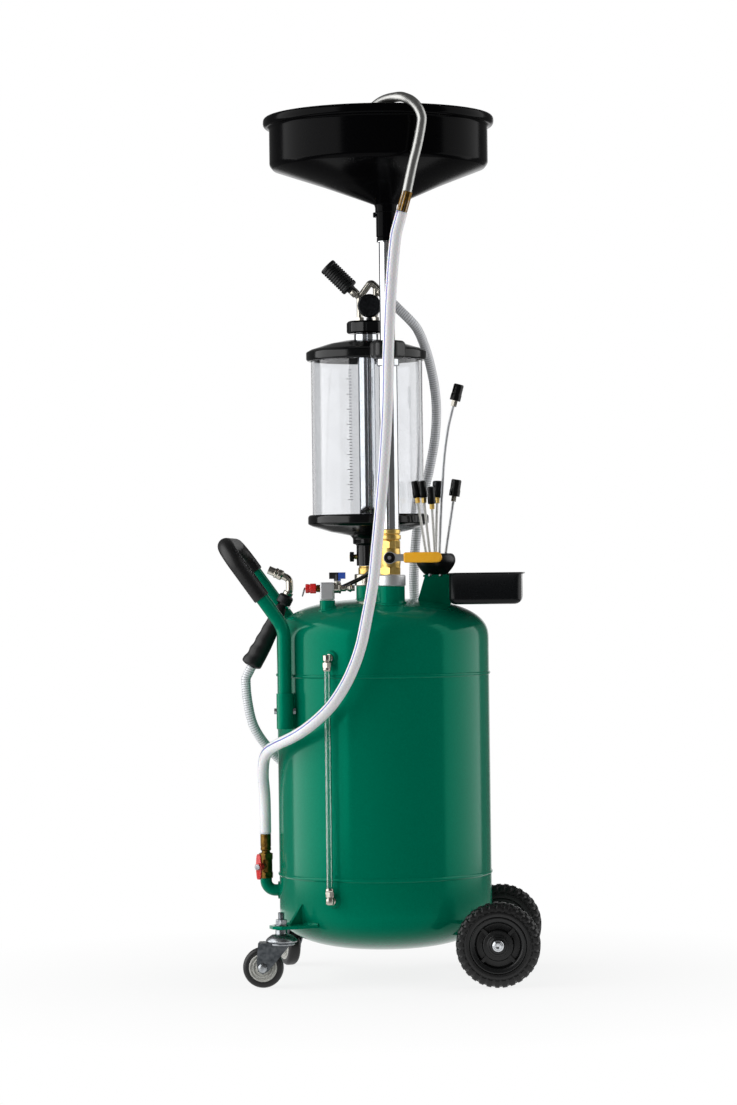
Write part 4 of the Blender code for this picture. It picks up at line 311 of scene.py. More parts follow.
def tank_outline():
    """The tank's outline from its bottom crown to its top crown, with a bead at each seam."""
    turns = [math.pi / 2 * step / HEAD_STEPS for step in range(HEAD_STEPS)]
    power = 2 / HEAD_POWER
    head = [(TANK_RADIUS * math.cos(t) ** power, HEAD_RISE * math.sin(t) ** power) for t in turns]
    head.append((0, HEAD_RISE))
    outline = [(radius, SHELL_LOW_Z - rise) for radius, rise in reversed(head)]
    for seam in SEAM_LEVELS:
        for across, proud in ((-0.5, 0), (-0.36, 0.5), (-0.12, 1), (0.12, 1), (0.36, 0.5), (0.5, 0)):
            outline.append((TANK_RADIUS + SEAM_PROUD * proud, seam + SEAM_WIDTH * across))
    return outline + [(radius, SHELL_HIGH_Z + rise) for radius, rise in head]


def seam_form(turn, radius, height):
    """A weld bead that rises and falls a little round the seam."""
    proud = radius - TANK_RADIUS
    if proud <= 0:
        return radius
    return TANK_RADIUS + proud * (1 + 0.35 * noise.noise((40 * math.cos(turn), 40 * math.sin(turn), height)))


def weld_ring(x, y, radius):
    """The fillet weld round a neck's foot, on the dome."""
    path = []
    radii = []
    for turn in full_turn(64):
        px, py = x + radius * math.cos(turn), y + radius * math.sin(turn)
        path.append(TANK_AXIS + Vector((px, py, dome_z(math.hypot(px, py)))))
        radii.append(0.0026 + 0.0006 * noise.noise((px * 300, py * 300, radius)))
    return swept(path, radii, 10, closed=True)


# Gloss enamel, sprayed and stoved: orange peel about 3 mm across breaks up the reflections a little,
# and they take on its green.
GREEN_ENAMEL = surface(
    "green_gloss_enamel", ("006a50", "007055"), (0.13, 0.16), 3.0, 0.003,
    {"Specular IOR Level": 0.4, "Specular Tint": paint("00e6b4")},
)
mast_neck = (0.021, -0.100, 0.0265, 0.736)
chamber_neck = (-0.027, 0.055, 0.025, 0.7365)
air_neck = (-0.0965, -0.107, 0.0143, 0.711)
tank_meshes = [moved(turned(tank_outline(), 192, seam_form), Matrix.Translation(TANK_AXIS))]
for x, y, radius, top in (mast_neck, chamber_neck, air_neck):
    root = dome_z(math.hypot(x, y) + radius) - 2 * TANK_WALL
    neck_outline = soften([(0, root), (radius, root), (radius, top), (radius - 0.004, top), (0, top)], 0.001)
    tank_meshes.append(moved(turned(neck_outline), stand(x, y, 0)))
    tank_meshes.append(weld_ring(x, y, radius))
SIGHT_TURN = math.radians(25.6)
SIGHT_WAY = Vector((-math.sin(SIGHT_TURN), -math.cos(SIGHT_TURN), 0))
SIGHT_LEVELS = (0.160, 0.606)
for level in SIGHT_LEVELS:
    boss = soften([(0, 0.188), (0.012, 0.188), (0.012, 0.2045), (0, 0.2045)], 0.0012)
    tank_meshes.append(moved(turned(boss, 48), stand(0, 0, level, SIGHT_WAY)))
    weld = [(0.0145, 0.196), (0.0140, 0.2005), (0.0125, 0.2025), (0.0115, 0.2025), (0.0115, 0.196)]
    tank_meshes.append(moved(turned(weld, 48, loop=True), stand(0, 0, level, SIGHT_WAY)))
HANDLE_X = -0.176
HANDLE_Y = 0.130
for sign in (-1, 1):
    socket = soften([(0.0128, 0.474), (0.0158, 0.474), (0.0158, 0.540), (0.0128, 0.540)], 0.0008)
    tank_meshes.append(column(socket, 48, HANDLE_X, sign * HANDLE_Y))
    web = extruded([(WELD_REACH, -0.006), (0.212, -0.006), (0.212, 0.006), (WELD_REACH, 0.006)], 0.477, 0.537)
    turn = math.atan2(sign * HANDLE_Y, HANDLE_X)
    tank_meshes.append(moved(web, Matrix.Translation(TANK_AXIS) @ Matrix.Rotation(turn, 4, "Z")))
OUTLET_X = -0.226
OUTLET_Z = 0.164
OUTLET_BEND = 0.018
OUTLET_RADIUS = 0.011
elbow = [TANK_AXIS + Vector((x, 0, OUTLET_Z)) for x in (-0.191, -0.2029, -0.2031)]
elbow_radii = [0.0165, 0.0165, OUTLET_RADIUS]
for step in range(13):
    turn = math.pi / 2 * step / 12
    across, rise = math.sin(turn) * OUTLET_BEND, (1 - math.cos(turn)) * OUTLET_BEND
    elbow.append(TANK_AXIS + Vector((OUTLET_X + OUTLET_BEND - across, 0, OUTLET_Z + rise)))
    elbow_radii.append(OUTLET_RADIUS)
elbow.append(TANK_AXIS + Vector((OUTLET_X, 0, 0.187)))
elbow_radii.append(OUTLET_RADIUS)
tank_meshes.append(swept(elbow, elbow_radii, 40))
piece("tank_weldment", gather(*tank_meshes), GREEN_ENAMEL, "tank", "tank_shell", slot="green_enamel")

# Probe bracket: a folded steel plate with a gusset, welded on the dome's edge and enamelled with the tank.
# The probe holder drops into its slot, and the tool tray hooks over its outer edge.
HOLDER_X = 0.102
BRACKET_TOP_Z = 0.756
BRACKET_HALF = 0.030
SLOT_RADIUS = 0.0208


def arc_points(radius, start, sweep, steps, x=0.0):
    """Points on an arc about a centre on the X axis."""
    turns = [start + sweep * step / steps for step in range(steps + 1)]
    return [(x + radius * math.cos(t), radius * math.sin(t)) for t in turns]


bracket_meshes = []
slot_edge = arc_points(SLOT_RADIUS, -math.pi, math.pi, 24, HOLDER_X)
shelf = [
    (0.079, -BRACKET_HALF), (0.1305, -BRACKET_HALF), (0.1305, BRACKET_HALF),
    (HOLDER_X + SLOT_RADIUS, BRACKET_HALF),
]
shelf += slot_edge[::-1] + [(HOLDER_X - SLOT_RADIUS, BRACKET_HALF), (0.079, BRACKET_HALF)]
bracket_meshes.append(extruded(shelf, BRACKET_TOP_Z - 0.004, BRACKET_TOP_Z))
upright = [(0.1265, -BRACKET_HALF), (0.1305, -BRACKET_HALF), (0.1305, BRACKET_HALF), (0.1265, BRACKET_HALF)]
bracket_meshes.append(extruded(upright, 0.683, BRACKET_TOP_Z - 0.003))
fin = [(0.082, 0.754), (0.066, 0.700), (0.1285, 0.683), (0.1285, 0.754)]
bracket_meshes.append(moved(extruded(fin, 0.0257, 0.0297), Matrix.Rotation(math.pi / 2, 4, "X")))
piece(
    "probe_bracket", moved(gather(*bracket_meshes), Matrix.Translation(TANK_AXIS)),
    GREEN_ENAMEL, "tank", slot="green_enamel", edge=0.0006,
)

# Casters: a welded bracket carries a zinc-plated stem with its nut, a pressed swivel fork turns on the stem,
# and a rubber-tyred wheel with a pale hub runs on the fork's axle bolt.
CASTER_X = -0.185
CASTER_Y = 0.165
CASTER_TRAIL = 0.034
CASTER_RADIUS = 0.0375
CASTER_TURNS = {"near": 0.0, "far": math.radians(-65)}
PLATE_TOP_Z = 0.114
BEAD_SPREAD = math.radians(12.2)


def from_cad(node):
    """A copy of a CAD node's mesh with its flat faces joined, ready to have its edges eased."""
    shape = bmesh.new()
    shape.from_mesh(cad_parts[node].data)
    bmesh.ops.remove_doubles(shape, verts=shape.verts, dist=1e-5)
    bmesh.ops.dissolve_limit(shape, angle_limit=math.radians(1), verts=shape.verts, edges=shape.edges)
    return closed_mesh(shape)


def hexagon(across, low, high, chamfer):
    """A form that makes a turned blank a hexagon with chamfered ends; across is its corner radius."""
    flat = across * math.cos(math.pi / 6)

    def form(turn, radius, height):
        if radius < flat * 0.98:
            return radius
        side = flat / math.cos((turn + math.pi / 6) % (math.pi / 3) - math.pi / 6)
        end = min(height - low, high - height)
        return min(side, flat + 0.0002 + 1.7 * max(end, 0) if end < chamfer else side)

    return form


def hex_nut(across, low, high, bore=0.0):
    """A turned and milled hexagon nut about Z."""
    chamfer = (across - across * math.cos(math.pi / 6)) / 1.7
    outline = [(bore, low), (across * 0.9, low)]
    outline += [(across, low + chamfer * step / 4) for step in range(5)]
    outline += [(across, high - chamfer * step / 4) for step in reversed(range(5))]
    outline += [(across * 0.9, high), (bore, high)]
    return turned(outline, 72, hexagon(across, low, high, chamfer), loop=bore > 0)


def thread(radius, low, high, pitch=0.0012):
    """The outline of a screw thread between two heights."""
    points = []
    for step in range(int((high - low) / pitch)):
        points += [(radius * 0.9, low + pitch * step), (radius, low + pitch * (step + 0.5))]
    return points + [(radius * 0.9, high)]


# Zinc plate over pressed steel: grey and slightly mottled, between satin and bright.
ZINC = surface("zinc_plated_steel", ("868a8e", "b3b7ba"), (0.22, 0.36), 9.0, 0.006, {"Metallic": 1.0})
# Aged zinc on the pressed fork: dull dark grey, with the cloudy bloom of old plating.
AGED_ZINC = surface("aged_zinc_plate", ("45494d", "6a6e72"), (0.30, 0.46), 7.0, 0.008, {"Metallic": 1.0})
# Moulded tyre rubber: deep black, with a low sheen and a fine grain.
TYRE_RUBBER = surface(
    "moulded_tyre_rubber", ("070708", "0e0e0f"), (0.32, 0.44), 1.2, 0.008, {"Specular IOR Level": 0.45},
)
# Pale grey polypropylene: even, with a soft sheen.
PALE_HUB = surface("grey_polypropylene", ("a9a9a4", "bdbdb7"), (0.32, 0.45), 5.0, 0.006, {"IOR": 1.49})
tread = soften(
    [
        (0.0262, -0.0115), (0.0330, -0.0120), (0.0375, -0.0070), (0.0375, 0.0070), (0.0330, 0.0120),
        (0.0262, 0.0115),
    ],
    0.004,
)
hub_face = [
    (0, 0.0145), (0.0085, 0.0145), (0.0095, 0.0120), (0.0125, 0.0108), (0.0138, 0.0084), (0.0158, 0.0084),
    (0.0170, 0.0112), (0.0192, 0.0116), (0.0202, 0.0094), (0.0220, 0.0094), (0.0232, 0.0122),
    (0.0262, 0.0114),
]
hub_profile = soften([(r, -z) for r, z in hub_face] + hub_face[::-1], 0.0006)
bolt_head = soften(
    [(0, 0.0228), (0.0042, 0.0226), (0.0078, 0.0212), (0.0088, 0.0192), (0.0088, 0.0178), (0, 0.0178)],
    0.0008,
)
race = soften(
    [
        (0.0065, 0.0839), (0.0290, 0.0839), (0.0290, 0.0875), (0.0255, 0.0918), (0.0174, 0.0975),
        (0.0110, 0.0978), (0.0110, 0.1077), (0.0060, 0.1077),
    ],
    0.002,
)
crown_dome = soften(
    [(0.0068, 0.0837), (0.0215, 0.0837), (0.0240, 0.0815), (0.0240, 0.0785), (0.0068, 0.0785)], 0.0012
)
for side, sign in (("near", -1), ("far", 1)):
    x, y = CASTER_X, sign * CASTER_Y
    outward = math.atan2(y, x)
    piece(
        f"caster_bracket_{side}_plate", from_cad(f"caster_bracket_{side}"), GREEN_ENAMEL, "tank",
        f"caster_bracket_{side}", slot="green_enamel", edge=0.0008,
    )
    beads = []
    for span in (-1, 1):
        arc = [outward + BEAD_SPREAD * (span * 0.12 + span * 0.88 * step / 16) for step in range(17)]
        path = [
            TANK_AXIS + Vector((WELD_REACH * math.cos(t), WELD_REACH * math.sin(t), PLATE_TOP_Z))
            for t in arc
        ]
        sizes = [0.0030 + 0.0012 * noise.noise((p.x * 250, p.y * 250, 0)) for p in path]
        beads.append(swept(path, sizes, 10))
        lean = Vector((math.cos(outward), math.sin(outward), 0))
        aside = Vector((-lean.y, lean.x, 0)) * 0.003 * span
        path = [TANK_AXIS + lean * (WELD_REACH + 0.0010 * step / 12) + aside for step in range(13)]
        path = [p + Vector((0, 0, PLATE_TOP_Z + 0.032 * step / 12)) for step, p in enumerate(path)]
        sizes = [0.0024 + 0.0010 * noise.noise((p.z * 300, span, 0)) for p in path]
        beads.append(swept(path, sizes, 10))
    piece(f"caster_bracket_{side}_welds", gather(*beads), GREEN_ENAMEL, "tank", slot="green_enamel")
    stud = [
        (0, 0.0752), (0.0095, 0.0752), (0.0095, 0.0788), (0.0063, 0.0790), (0.0063, 0.100), (0.0060, 0.100),
    ]
    stud += thread(0.0060, 0.108, 0.138) + [(0, 0.139)]
    washer = soften([(0.006, 0.1143), (0.0125, 0.1143), (0.0125, 0.1158), (0.006, 0.1158)], 0.0004)
    stem_parts = [turned(race, 48, loop=True), turned(stud, 32), turned(washer, 48)]
    stem_parts.append(hex_nut(0.0115, 0.1160, 0.1250, 0.0058))
    piece(
        f"caster_stem_{side}_stud", moved(gather(*stem_parts), stand(x, y, 0)), ZINC, "tank",
        f"caster_stem_{side}", slot="zinc_plated_steel",
    )
    swivel = stand(x, y, 0) @ Matrix.Rotation(CASTER_TURNS[side], 4, "Z")
    piece(
        f"caster_fork_{side}_cheeks", from_cad(f"caster_fork_{side}"), AGED_ZINC, f"{side}_caster",
        f"caster_fork_{side}", slot="zinc_plated_steel", edge=0.0009,
    )
    dome = moved(turned(crown_dome, 48, loop=True), swivel)
    hub_point = Matrix.Translation((-CASTER_TRAIL, 0, CASTER_RADIUS))
    axle = swivel @ hub_point @ Matrix.Rotation(math.pi / 2, 4, "X")
    ends = [moved(turned(bolt_head, 40), axle), moved(hex_nut(0.0072, -0.0222, -0.0180), axle)]
    piece(f"caster_fork_{side}_race", gather(dome, *ends), ZINC, f"{side}_caster", slot="zinc_plated_steel")
    piece(
        f"caster_wheel_{side}_tread", moved(turned(tread, 64, loop=True), axle), TYRE_RUBBER,
        f"{side}_caster_wheel", f"caster_wheel_{side}", slot="black_rubber",
    )
    piece(
        f"caster_wheel_{side}_hub", moved(turned(hub_profile, 64), axle), PALE_HUB,
        f"{side}_caster_wheel", slot="zinc_plated_steel",
    )

# Rear wheels: a steel axle in a tube that two plates weld to the tank, moulded hubs with four ribs,
# lugged rubber tyres, and bright push caps that hold the wheels on.
WHEEL_X = 0.214
WHEEL_RADIUS = 0.0775
HALF_TRACK = 0.180
LUGS = 32
LUG_STEPS = 12
LUG_SHARE = 0.62
SHOULDER_RADIUS = 0.0640
CROWN_RADIUS = 0.0720
CENTRE_BAND = 0.0034
HUB_RIBS = 4
# Moulded polypropylene: black with a low even sheen and a very fine spark-eroded grain.
HUB_PLASTIC = surface(
    "black_polypropylene", ("090a0b", "0f1011"), (0.28, 0.40), 0.8, 0.006, {"Specular IOR Level": 0.4},
)
# Hard chrome on turned steel: near mirror, with faint hazy patches from handling.
CHROME = surface("hard_chrome", ("c9ccd0", "d6d9dc"), (0.06, 0.12), 30.0, 0.0, {"Metallic": 1.0})
piece(
    "axle_bracket_frame", from_cad("axle_bracket"), GREEN_ENAMEL, "tank", "axle_bracket",
    slot="green_enamel", edge=0.0006,
)
cap = [
    (0, 0.2068), (0.0036, 0.2068), (0.0042, 0.2085), (0.0072, 0.2083), (0.0078, 0.2064), (0.0096, 0.2060),
    (0.0112, 0.2042), (0.0116, 0.2010), (0.0080, 0.2008),
]
cap_line = soften(cap, 0.001)
axle_outline = [(r, -z) for r, z in cap_line] + cap_line[::-1]
piece(
    "wheel_axle_rod", moved(turned(axle_outline, 40), stand(WHEEL_X, 0, WHEEL_RADIUS, (0, -1, 0))), CHROME,
    "tank", "wheel_axle", slot="chromed_steel",
)


def lug_form(turn, radius, height):
    """Tread lugs: a groove between each two, staggered from side to side."""
    shift = 0.5 if height > 0 else 0.0
    place = (turn / math.tau * LUGS + shift) % 1.0
    deep = 0.0038 if radius > CROWN_RADIUS else 0.0026 if radius > SHOULDER_RADIUS else 0.0
    return radius - (deep if place > LUG_SHARE and abs(height) > CENTRE_BAND else 0.0)


half_tyre = [
    (0.0523, -0.0180), (0.0530, -0.0190), (0.0565, -0.0197), (0.0600, -0.0198), (0.0616, -0.0192),
    (0.0622, -0.0172), (0.0636, -0.0172), (0.0644, -0.0192), (0.0690, -0.0194), (0.0730, -0.0186),
    (0.0762, -0.0160), (0.0775, -0.0125), (0.0775, -0.0042), (0.0760, -0.0036), (0.0760, -0.0010),
]
tyre_outline = half_tyre + [(r, -z) for r, z in reversed(half_tyre)]
half_hub = [
    (0.0084, -0.0200), (0.0125, -0.0200), (0.0150, -0.0192), (0.0165, -0.0168), (0.0195, -0.0164),
    (0.0205, -0.0150), (0.0270, -0.0148), (0.0284, -0.0132), (0.0290, -0.0045), (0.0398, -0.0035),
    (0.0412, -0.0055), (0.0420, -0.0150), (0.0445, -0.0172), (0.0500, -0.0188), (0.0521, -0.0180),
]
hub_outline = soften(half_hub + [(r, -z) for r, z in reversed(half_hub)], 0.0012)
for side, sign in (("near", -1), ("far", 1)):
    spin = stand(WHEEL_X, sign * HALF_TRACK, WHEEL_RADIUS, (0, -1, 0))
    piece(
        f"wheel_tyre_{side}_tread", moved(turned(tyre_outline, LUGS * LUG_STEPS, lug_form, loop=True), spin),
        TYRE_RUBBER, f"{side}_wheel", f"wheel_tyre_{side}", slot="tyre_rubber",
    )
    ribs = [turned(hub_outline, 96, loop=True)]
    for face in (-1, 1):
        for rib in range(HUB_RIBS):
            bar = [(0.0270, -0.0034), (0.0420, -0.0030), (0.0420, 0.0030), (0.0270, 0.0034)]
            low, high = sorted((face * 0.0045, face * 0.0128))
            turn = math.pi / 4 + math.pi / 2 * rib
            ribs.append(moved(extruded(bar, low, high), Matrix.Rotation(turn, 4, "Z")))
    piece(
        f"wheel_hub_{side}_disc", moved(gather(*ribs), spin), HUB_PLASTIC, f"{side}_wheel",
        f"wheel_hub_{side}", slot="black_plastic",
    )

# Push handle: one bent steel tube in the tank's sockets with a welded fork for the suction grip,
# enamelled like the tank, and a rubber sleeve over its upper bar. A cross bolt pins each foot.
HANDLE_RADIUS = 0.0125
HANDLE_GRIP_RADIUS = 0.0158
HANDLE_SIDE = [(HANDLE_X, 0.482), (HANDLE_X, 0.660), (-0.286, 0.814)]
HANDLE_CORNERS = [(x, -HANDLE_Y, z) for x, z in HANDLE_SIDE]
HANDLE_CORNERS += [(x, HANDLE_Y, z) for x, z in reversed(HANDLE_SIDE)]
HANDLE_BENDS = (0.060, 0.045, 0.045, 0.060)
NEAR_GRIP_Z = 0.7165
FAR_GRIP_Z = 0.765
GRIP_NECK = Vector((-0.1965, 0.095, 0.7015))
GRIP_TURN = math.atan2(0.458, 0.889)


def rounded(corners, bends, steps=12):
    """A path through corners, each inner corner turned on its own bend radius."""
    corners = [Vector(corner) for corner in corners]
    path = [corners[0]]
    for before, corner, after, bend in zip(corners, corners[1:], corners[2:], bends):
        arrive = (corner - before).normalized()
        leave = (after - corner).normalized()
        half = arrive.angle(leave) / 2
        start = corner - arrive * bend * math.tan(half)
        centre = corner + (leave - arrive).normalized() * bend / math.cos(half)
        for step in range(steps + 1):
            swing = Matrix.Rotation(2 * half * step / steps, 3, arrive.cross(leave))
            path.append(centre + swing @ (start - centre))
    return path + [corners[-1]]


def on_lean(height, sign):
    """The point on one leaning leg of the handle at a height."""
    knee, bar = Vector(HANDLE_CORNERS[1]), Vector(HANDLE_CORNERS[2])
    point = knee.lerp(bar, (height - knee.z) / (bar.z - knee.z))
    return Vector((point.x, sign * HANDLE_Y, height))


handle_path = [TANK_AXIS + p for p in rounded(HANDLE_CORNERS, HANDLE_BENDS)]
handle_parts = [swept(handle_path, HANDLE_RADIUS, 40)]
eye = arc_points(0.0083, math.pi, -math.pi, 16)
clip = [(-0.0145, 0.035), (-0.0145, -0.0145), (-0.0083, -0.0145)] + eye
clip += [(0.0083, -0.0145), (0.0145, -0.0145), (0.0145, 0.035)]
clip_stand = Matrix.Translation(TANK_AXIS + GRIP_NECK) @ Matrix.Rotation(GRIP_TURN, 4, "Y")
handle_parts.append(moved(extruded(clip, -0.0015, 0.0015), clip_stand))
piece("push_handle_tube", gather(*handle_parts), GREEN_ENAMEL, "tank", "push_handle", slot="green_enamel")
# Extruded nitrile rubber: black with a soft sheen and a fine grain.
GRIP_RUBBER = surface(
    "nitrile_rubber", ("0c0c0d", "141415"), (0.36, 0.50), 1.6, 0.012, {"Specular IOR Level": 0.4},
)
grip_corners = [on_lean(NEAR_GRIP_Z, -1), HANDLE_CORNERS[2], HANDLE_CORNERS[3], on_lean(FAR_GRIP_Z, 1)]
grip_path = [TANK_AXIS + p for p in rounded(grip_corners, (0.045, 0.045))]
start, end = grip_path[0], grip_path[-1]
first, last = (grip_path[1] - start).normalized(), (end - grip_path[-2]).normalized()
lead = [start, start + first * 0.0012, start + first * 0.003]
trail = [end - last * 0.003, end - last * 0.0012, end]
grip_path = lead + grip_path[1:-1] + trail
grip_radii = [0.0146, 0.0154] + [HANDLE_GRIP_RADIUS] * (len(grip_path) - 4) + [0.0154, 0.0146]
piece(
    "handle_grip_sleeve", swept(grip_path, grip_radii, 40), GRIP_RUBBER, "tank", "handle_grip",
    slot="black_rubber",
)
pins = []
for sign in (-1, 1):
    for face in (-1, 1):
        head = hex_nut(0.0062, 0.0150, 0.0200)
        pins.append(moved(head, stand(HANDLE_X, sign * HANDLE_Y, 0.507, (face, 0, 0))))
piece("handle_pins", gather(*pins), ZINC, "tank", slot="zinc_plated_steel")

# Sight tube: a clear acrylic tube between two nickel-plated compression elbows,
# each screwed into a boss on the tank, so that the oil's level shows.
SIGHT_REACH = 0.215
SIGHT_RADIUS = 0.006
# Nickel plate on machined brass: warm, bright metal with soft patches.
NICKEL = surface("nickel_plated_brass", ("b3aea3", "cbc7bd"), (0.14, 0.26), 7.0, 0.004, {"Metallic": 1.0})
# Clear acrylic, extruded: colourless, with a polished surface.
CLEAR_ACRYLIC = surface(
    "clear_acrylic", ("f4f7f7", "fafcfc"), (0.01, 0.03), 40.0, 0.0, {"IOR": 1.49, "Transmission Weight": 1.0}
)
sight = SIGHT_WAY * SIGHT_REACH
tube_outline = [(0.0048, 0.1663), (SIGHT_RADIUS, 0.1663), (SIGHT_RADIUS, 0.5997), (0.0048, 0.5997)]
piece(
    "sight_tube_glass", column(tube_outline, 40, sight.x, sight.y),
    CLEAR_ACRYLIC, "tank", "sight_tube", slot="clear_acrylic",
)
for level, height, sign in (("lower", SIGHT_LEVELS[0], 1), ("upper", SIGHT_LEVELS[1], -1)):
    body = [
        (0, -0.0060), (0.0062, -0.0060), (0.0076, -0.0048), (0.0076, 0.0050), (0.0060, 0.0062),
        (0.0060, 0.0090), (0, 0.0090),
    ]
    parts = [turned(soften(body, 0.0006), 40), hex_nut(0.0085, 0.0082, 0.0178, 0.0061)]
    gland = [
        (0.0061, 0.0180), (0.0074, 0.0180), (0.0078, 0.0188), (0.0078, 0.0222), (0.0070, 0.0238),
        (0.0061, 0.0240),
    ]
    parts.append(turned(gland, 40, loop=True))
    if sign < 0:
        parts = [moved(part, Matrix.Rotation(math.pi, 4, "X")) for part in parts]
    placed = [moved(part, stand(sight.x, sight.y, height)) for part in parts]
    arm = soften(
        [
            (0, 0.2048), (0.0075, 0.2048), (0.0075, 0.2078), (0.0055, 0.2085), (0.0055, SIGHT_REACH),
            (0, SIGHT_REACH),
        ],
        0.0005,
    )
    placed.append(moved(turned(arm, 40), stand(0, 0, height, SIGHT_WAY)))
    piece(
        f"sight_fitting_{level}_elbow", gather(*placed), NICKEL, "tank", f"sight_fitting_{level}",
        slot="nickel_plated_brass",
    )

# Discharge valve: a forged brass ball valve on the outlet elbow, with a crimped hose ferrule on top
# and a red lacquered butterfly handle held by a nut.
DISCHARGE_STEM_Z = 0.210
STEM_WAY = (-0.422618, -0.906308, 0)
# Forged and turned brass, a little dulled: darker in its hollows.
DULL_BRASS = surface("dulled_brass", ("5c441c", "846430"), (0.28, 0.42), 6.0, 0.008, {"Metallic": 1.0})
# Red lacquer dipped over cast zinc: thick, glossy, slightly uneven.
RED_LACQUER = surface("red_lacquer", ("cc1a1a", "de2420"), (0.22, 0.34), 4.0, 0.008, {"Coat Weight": 0.4})
barrel = soften(
    [
        (0, 0.1873), (0.0108, 0.1873), (0.0120, 0.199), (0.0120, 0.221), (0.0108, 0.2345), (0.0085, 0.2350),
        (0.0080, 0.2365), (0.0080, 0.2385), (0.0095, 0.2392), (0.0100, 0.2405), (0.0100, 0.2440),
        (0.0094, 0.2446), (0.0094, 0.2462), (0.0100, 0.2468), (0.0100, 0.2690), (0.0092, 0.2700),
        (0, 0.2700),
    ],
    0.0004,
)
parts = [turned(barrel, 48), hex_nut(0.0145, 0.1873, 0.1985), hex_nut(0.0145, 0.2220, 0.2338)]
parts = [moved(part, stand(OUTLET_X, 0, 0)) for part in parts]
gland = soften(
    [(0, 0), (0.0072, 0), (0.0072, 0.0135), (0.0060, 0.0142), (0.0060, 0.0180), (0, 0.0180)], 0.0006,
)
stem_stand = stand(OUTLET_X, 0, DISCHARGE_STEM_Z, STEM_WAY)
parts.append(moved(turned(gland, 40), stem_stand))
piece("discharge_valve_barrel", gather(*parts), DULL_BRASS, "tank", "discharge_valve_body", slot="brass")
piece(
    "discharge_valve_butterfly", from_cad("discharge_valve_handle"), RED_LACQUER, "outlet_handle",
    "discharge_valve_handle", slot="red_lacquer", edge=0.0014,
)
nut = moved(hex_nut(0.0058, 0.0306, 0.0342), stem_stand)
piece("discharge_valve_nut", nut, ZINC, "outlet_handle", slot="zinc_plated_steel")

# Air manifold: a machined aluminium block on the air neck, with a mini valve and quick nipple to one side,
# a red safety valve with its pull ring to the other, and a black and blue lever on the valve's stem.
AIR_X, AIR_Y = air_neck[:2]
PORT_Z = 0.7333
BLOCK_HALF = 0.013
LEVER_X = -0.0775
SAFETY_SEAT = 0.0133
PULL_REACH = 0.0290
PULL_RADIUS = 0.0075
# Machined aluminium: pale, satin, with cutter marks about 2 mm apart.
ALUMINIUM = surface(
    "machined_aluminium", ("d6d8da", "e6e7e8"), (0.44, 0.52), 2.0, 0.003, {"Metallic": 1.0}, stretch=(1, 1, 6)
)
square = [
    (-BLOCK_HALF, -BLOCK_HALF), (BLOCK_HALF, -BLOCK_HALF), (BLOCK_HALF, BLOCK_HALF),
    (-BLOCK_HALF, BLOCK_HALF),
]
block = moved(extruded(square, 0.7113, 0.7443), stand(AIR_X, AIR_Y, 0))
piece("air_manifold_block", block, ALUMINIUM, "tank", "air_manifold", slot="aluminium", edge=0.0032)
mini = soften(
    [
        (0, 0.010), (0.0090, 0.010), (0.0090, 0.0220), (0.0100, 0.0226), (0.0100, 0.0252), (0.0060, 0.0260),
        (0.0060, 0.0345), (0.0044, 0.0350), (0.0044, 0.0375), (0.0060, 0.0382), (0.0060, 0.0402),
        (0.0075, 0.0420), (0.0072, 0.0440), (0.0055, 0.0460), (0.0055, 0.0510), (0.0030, 0.0510),
        (0.0030, 0.0420), (0, 0.0420),
    ],
    0.0005,
)
parts = [moved(turned(mini, 40), stand(AIR_X, AIR_Y, PORT_Z, (1, 0, 0)))]
boss = soften([(0, 0), (0.006, 0), (0.006, 0.0124), (0.0050, 0.0130), (0, 0.0130)], 0.0005)
parts.append(moved(turned(boss, 40), stand(LEVER_X, AIR_Y, PORT_Z)))
tail = [(0, 0), (0.0062, 0), (0.0062, 0.012)]
tail += [(0.0036 - 0.0006 * (step % 2), 0.0125 + 0.0015 * step) for step in range(5)] + [(0, 0.020)]
parts.append(moved(turned(tail, 32), stand(LEVER_X + 0.004, AIR_Y, PORT_Z, (0, 1, 0))))
piece("air_manifold_valve", gather(*parts), NICKEL, "tank", slot="nickel_plated_brass")
safety_stand = stand(AIR_X - SAFETY_SEAT, AIR_Y, PORT_Z, (-1, 0, 0))
safety = soften(
    [
        (0, 0.0068), (0.0060, 0.0068), (0.0095, 0.0080), (0.0095, 0.0180), (0.0078, 0.0188),
        (0.0078, 0.0208), (0.0088, 0.0215), (0.0088, 0.0260), (0.0080, 0.0270), (0.0020, 0.0270),
        (0.0020, 0.0200), (0, 0.0200),
    ],
    0.0006,
)


def fluted(turn, radius, height):
    """Shallow flutes round the safety valve's cap, for the fingers."""
    return radius - (0.0006 * (0.5 + 0.5 * math.cos(12 * turn)) if radius > 0.0085 else 0)


piece(
    "safety_valve_cap", moved(turned(safety, 72, fluted), safety_stand),
    RED_LACQUER, "tank", "safety_valve", slot="red_lacquer",
)
neck = soften(
    [(0, 0), (0.0068, 0), (0.0068, 0.0058), (0.0058, 0.0064), (0.0058, 0.0090), (0, 0.0090)], 0.0005,
)
piece("safety_valve_neck", moved(turned(neck, 48), safety_stand), DULL_BRASS, "tank", slot="brass")
pull_x = AIR_X - SAFETY_SEAT - PULL_REACH
loop_path = []
for turn in full_turn(40):
    droop = 0.0064 + PULL_RADIUS * math.sin(turn)
    loop_path.append(
        TANK_AXIS + Vector((pull_x - 0.3 * droop, AIR_Y + PULL_RADIUS * math.cos(turn), PORT_Z - droop))
    )
pin = moved(turned([(0, 0.0165), (0.0012, 0.0165), (0.0012, PULL_REACH), (0, PULL_REACH)], 16), safety_stand)
piece(
    "safety_pull_ring_wire", gather(swept(loop_path, 0.0011, 12, closed=True), pin), ZINC, "pull_ring",
    "safety_pull_ring", slot="zinc_plated_steel",
)
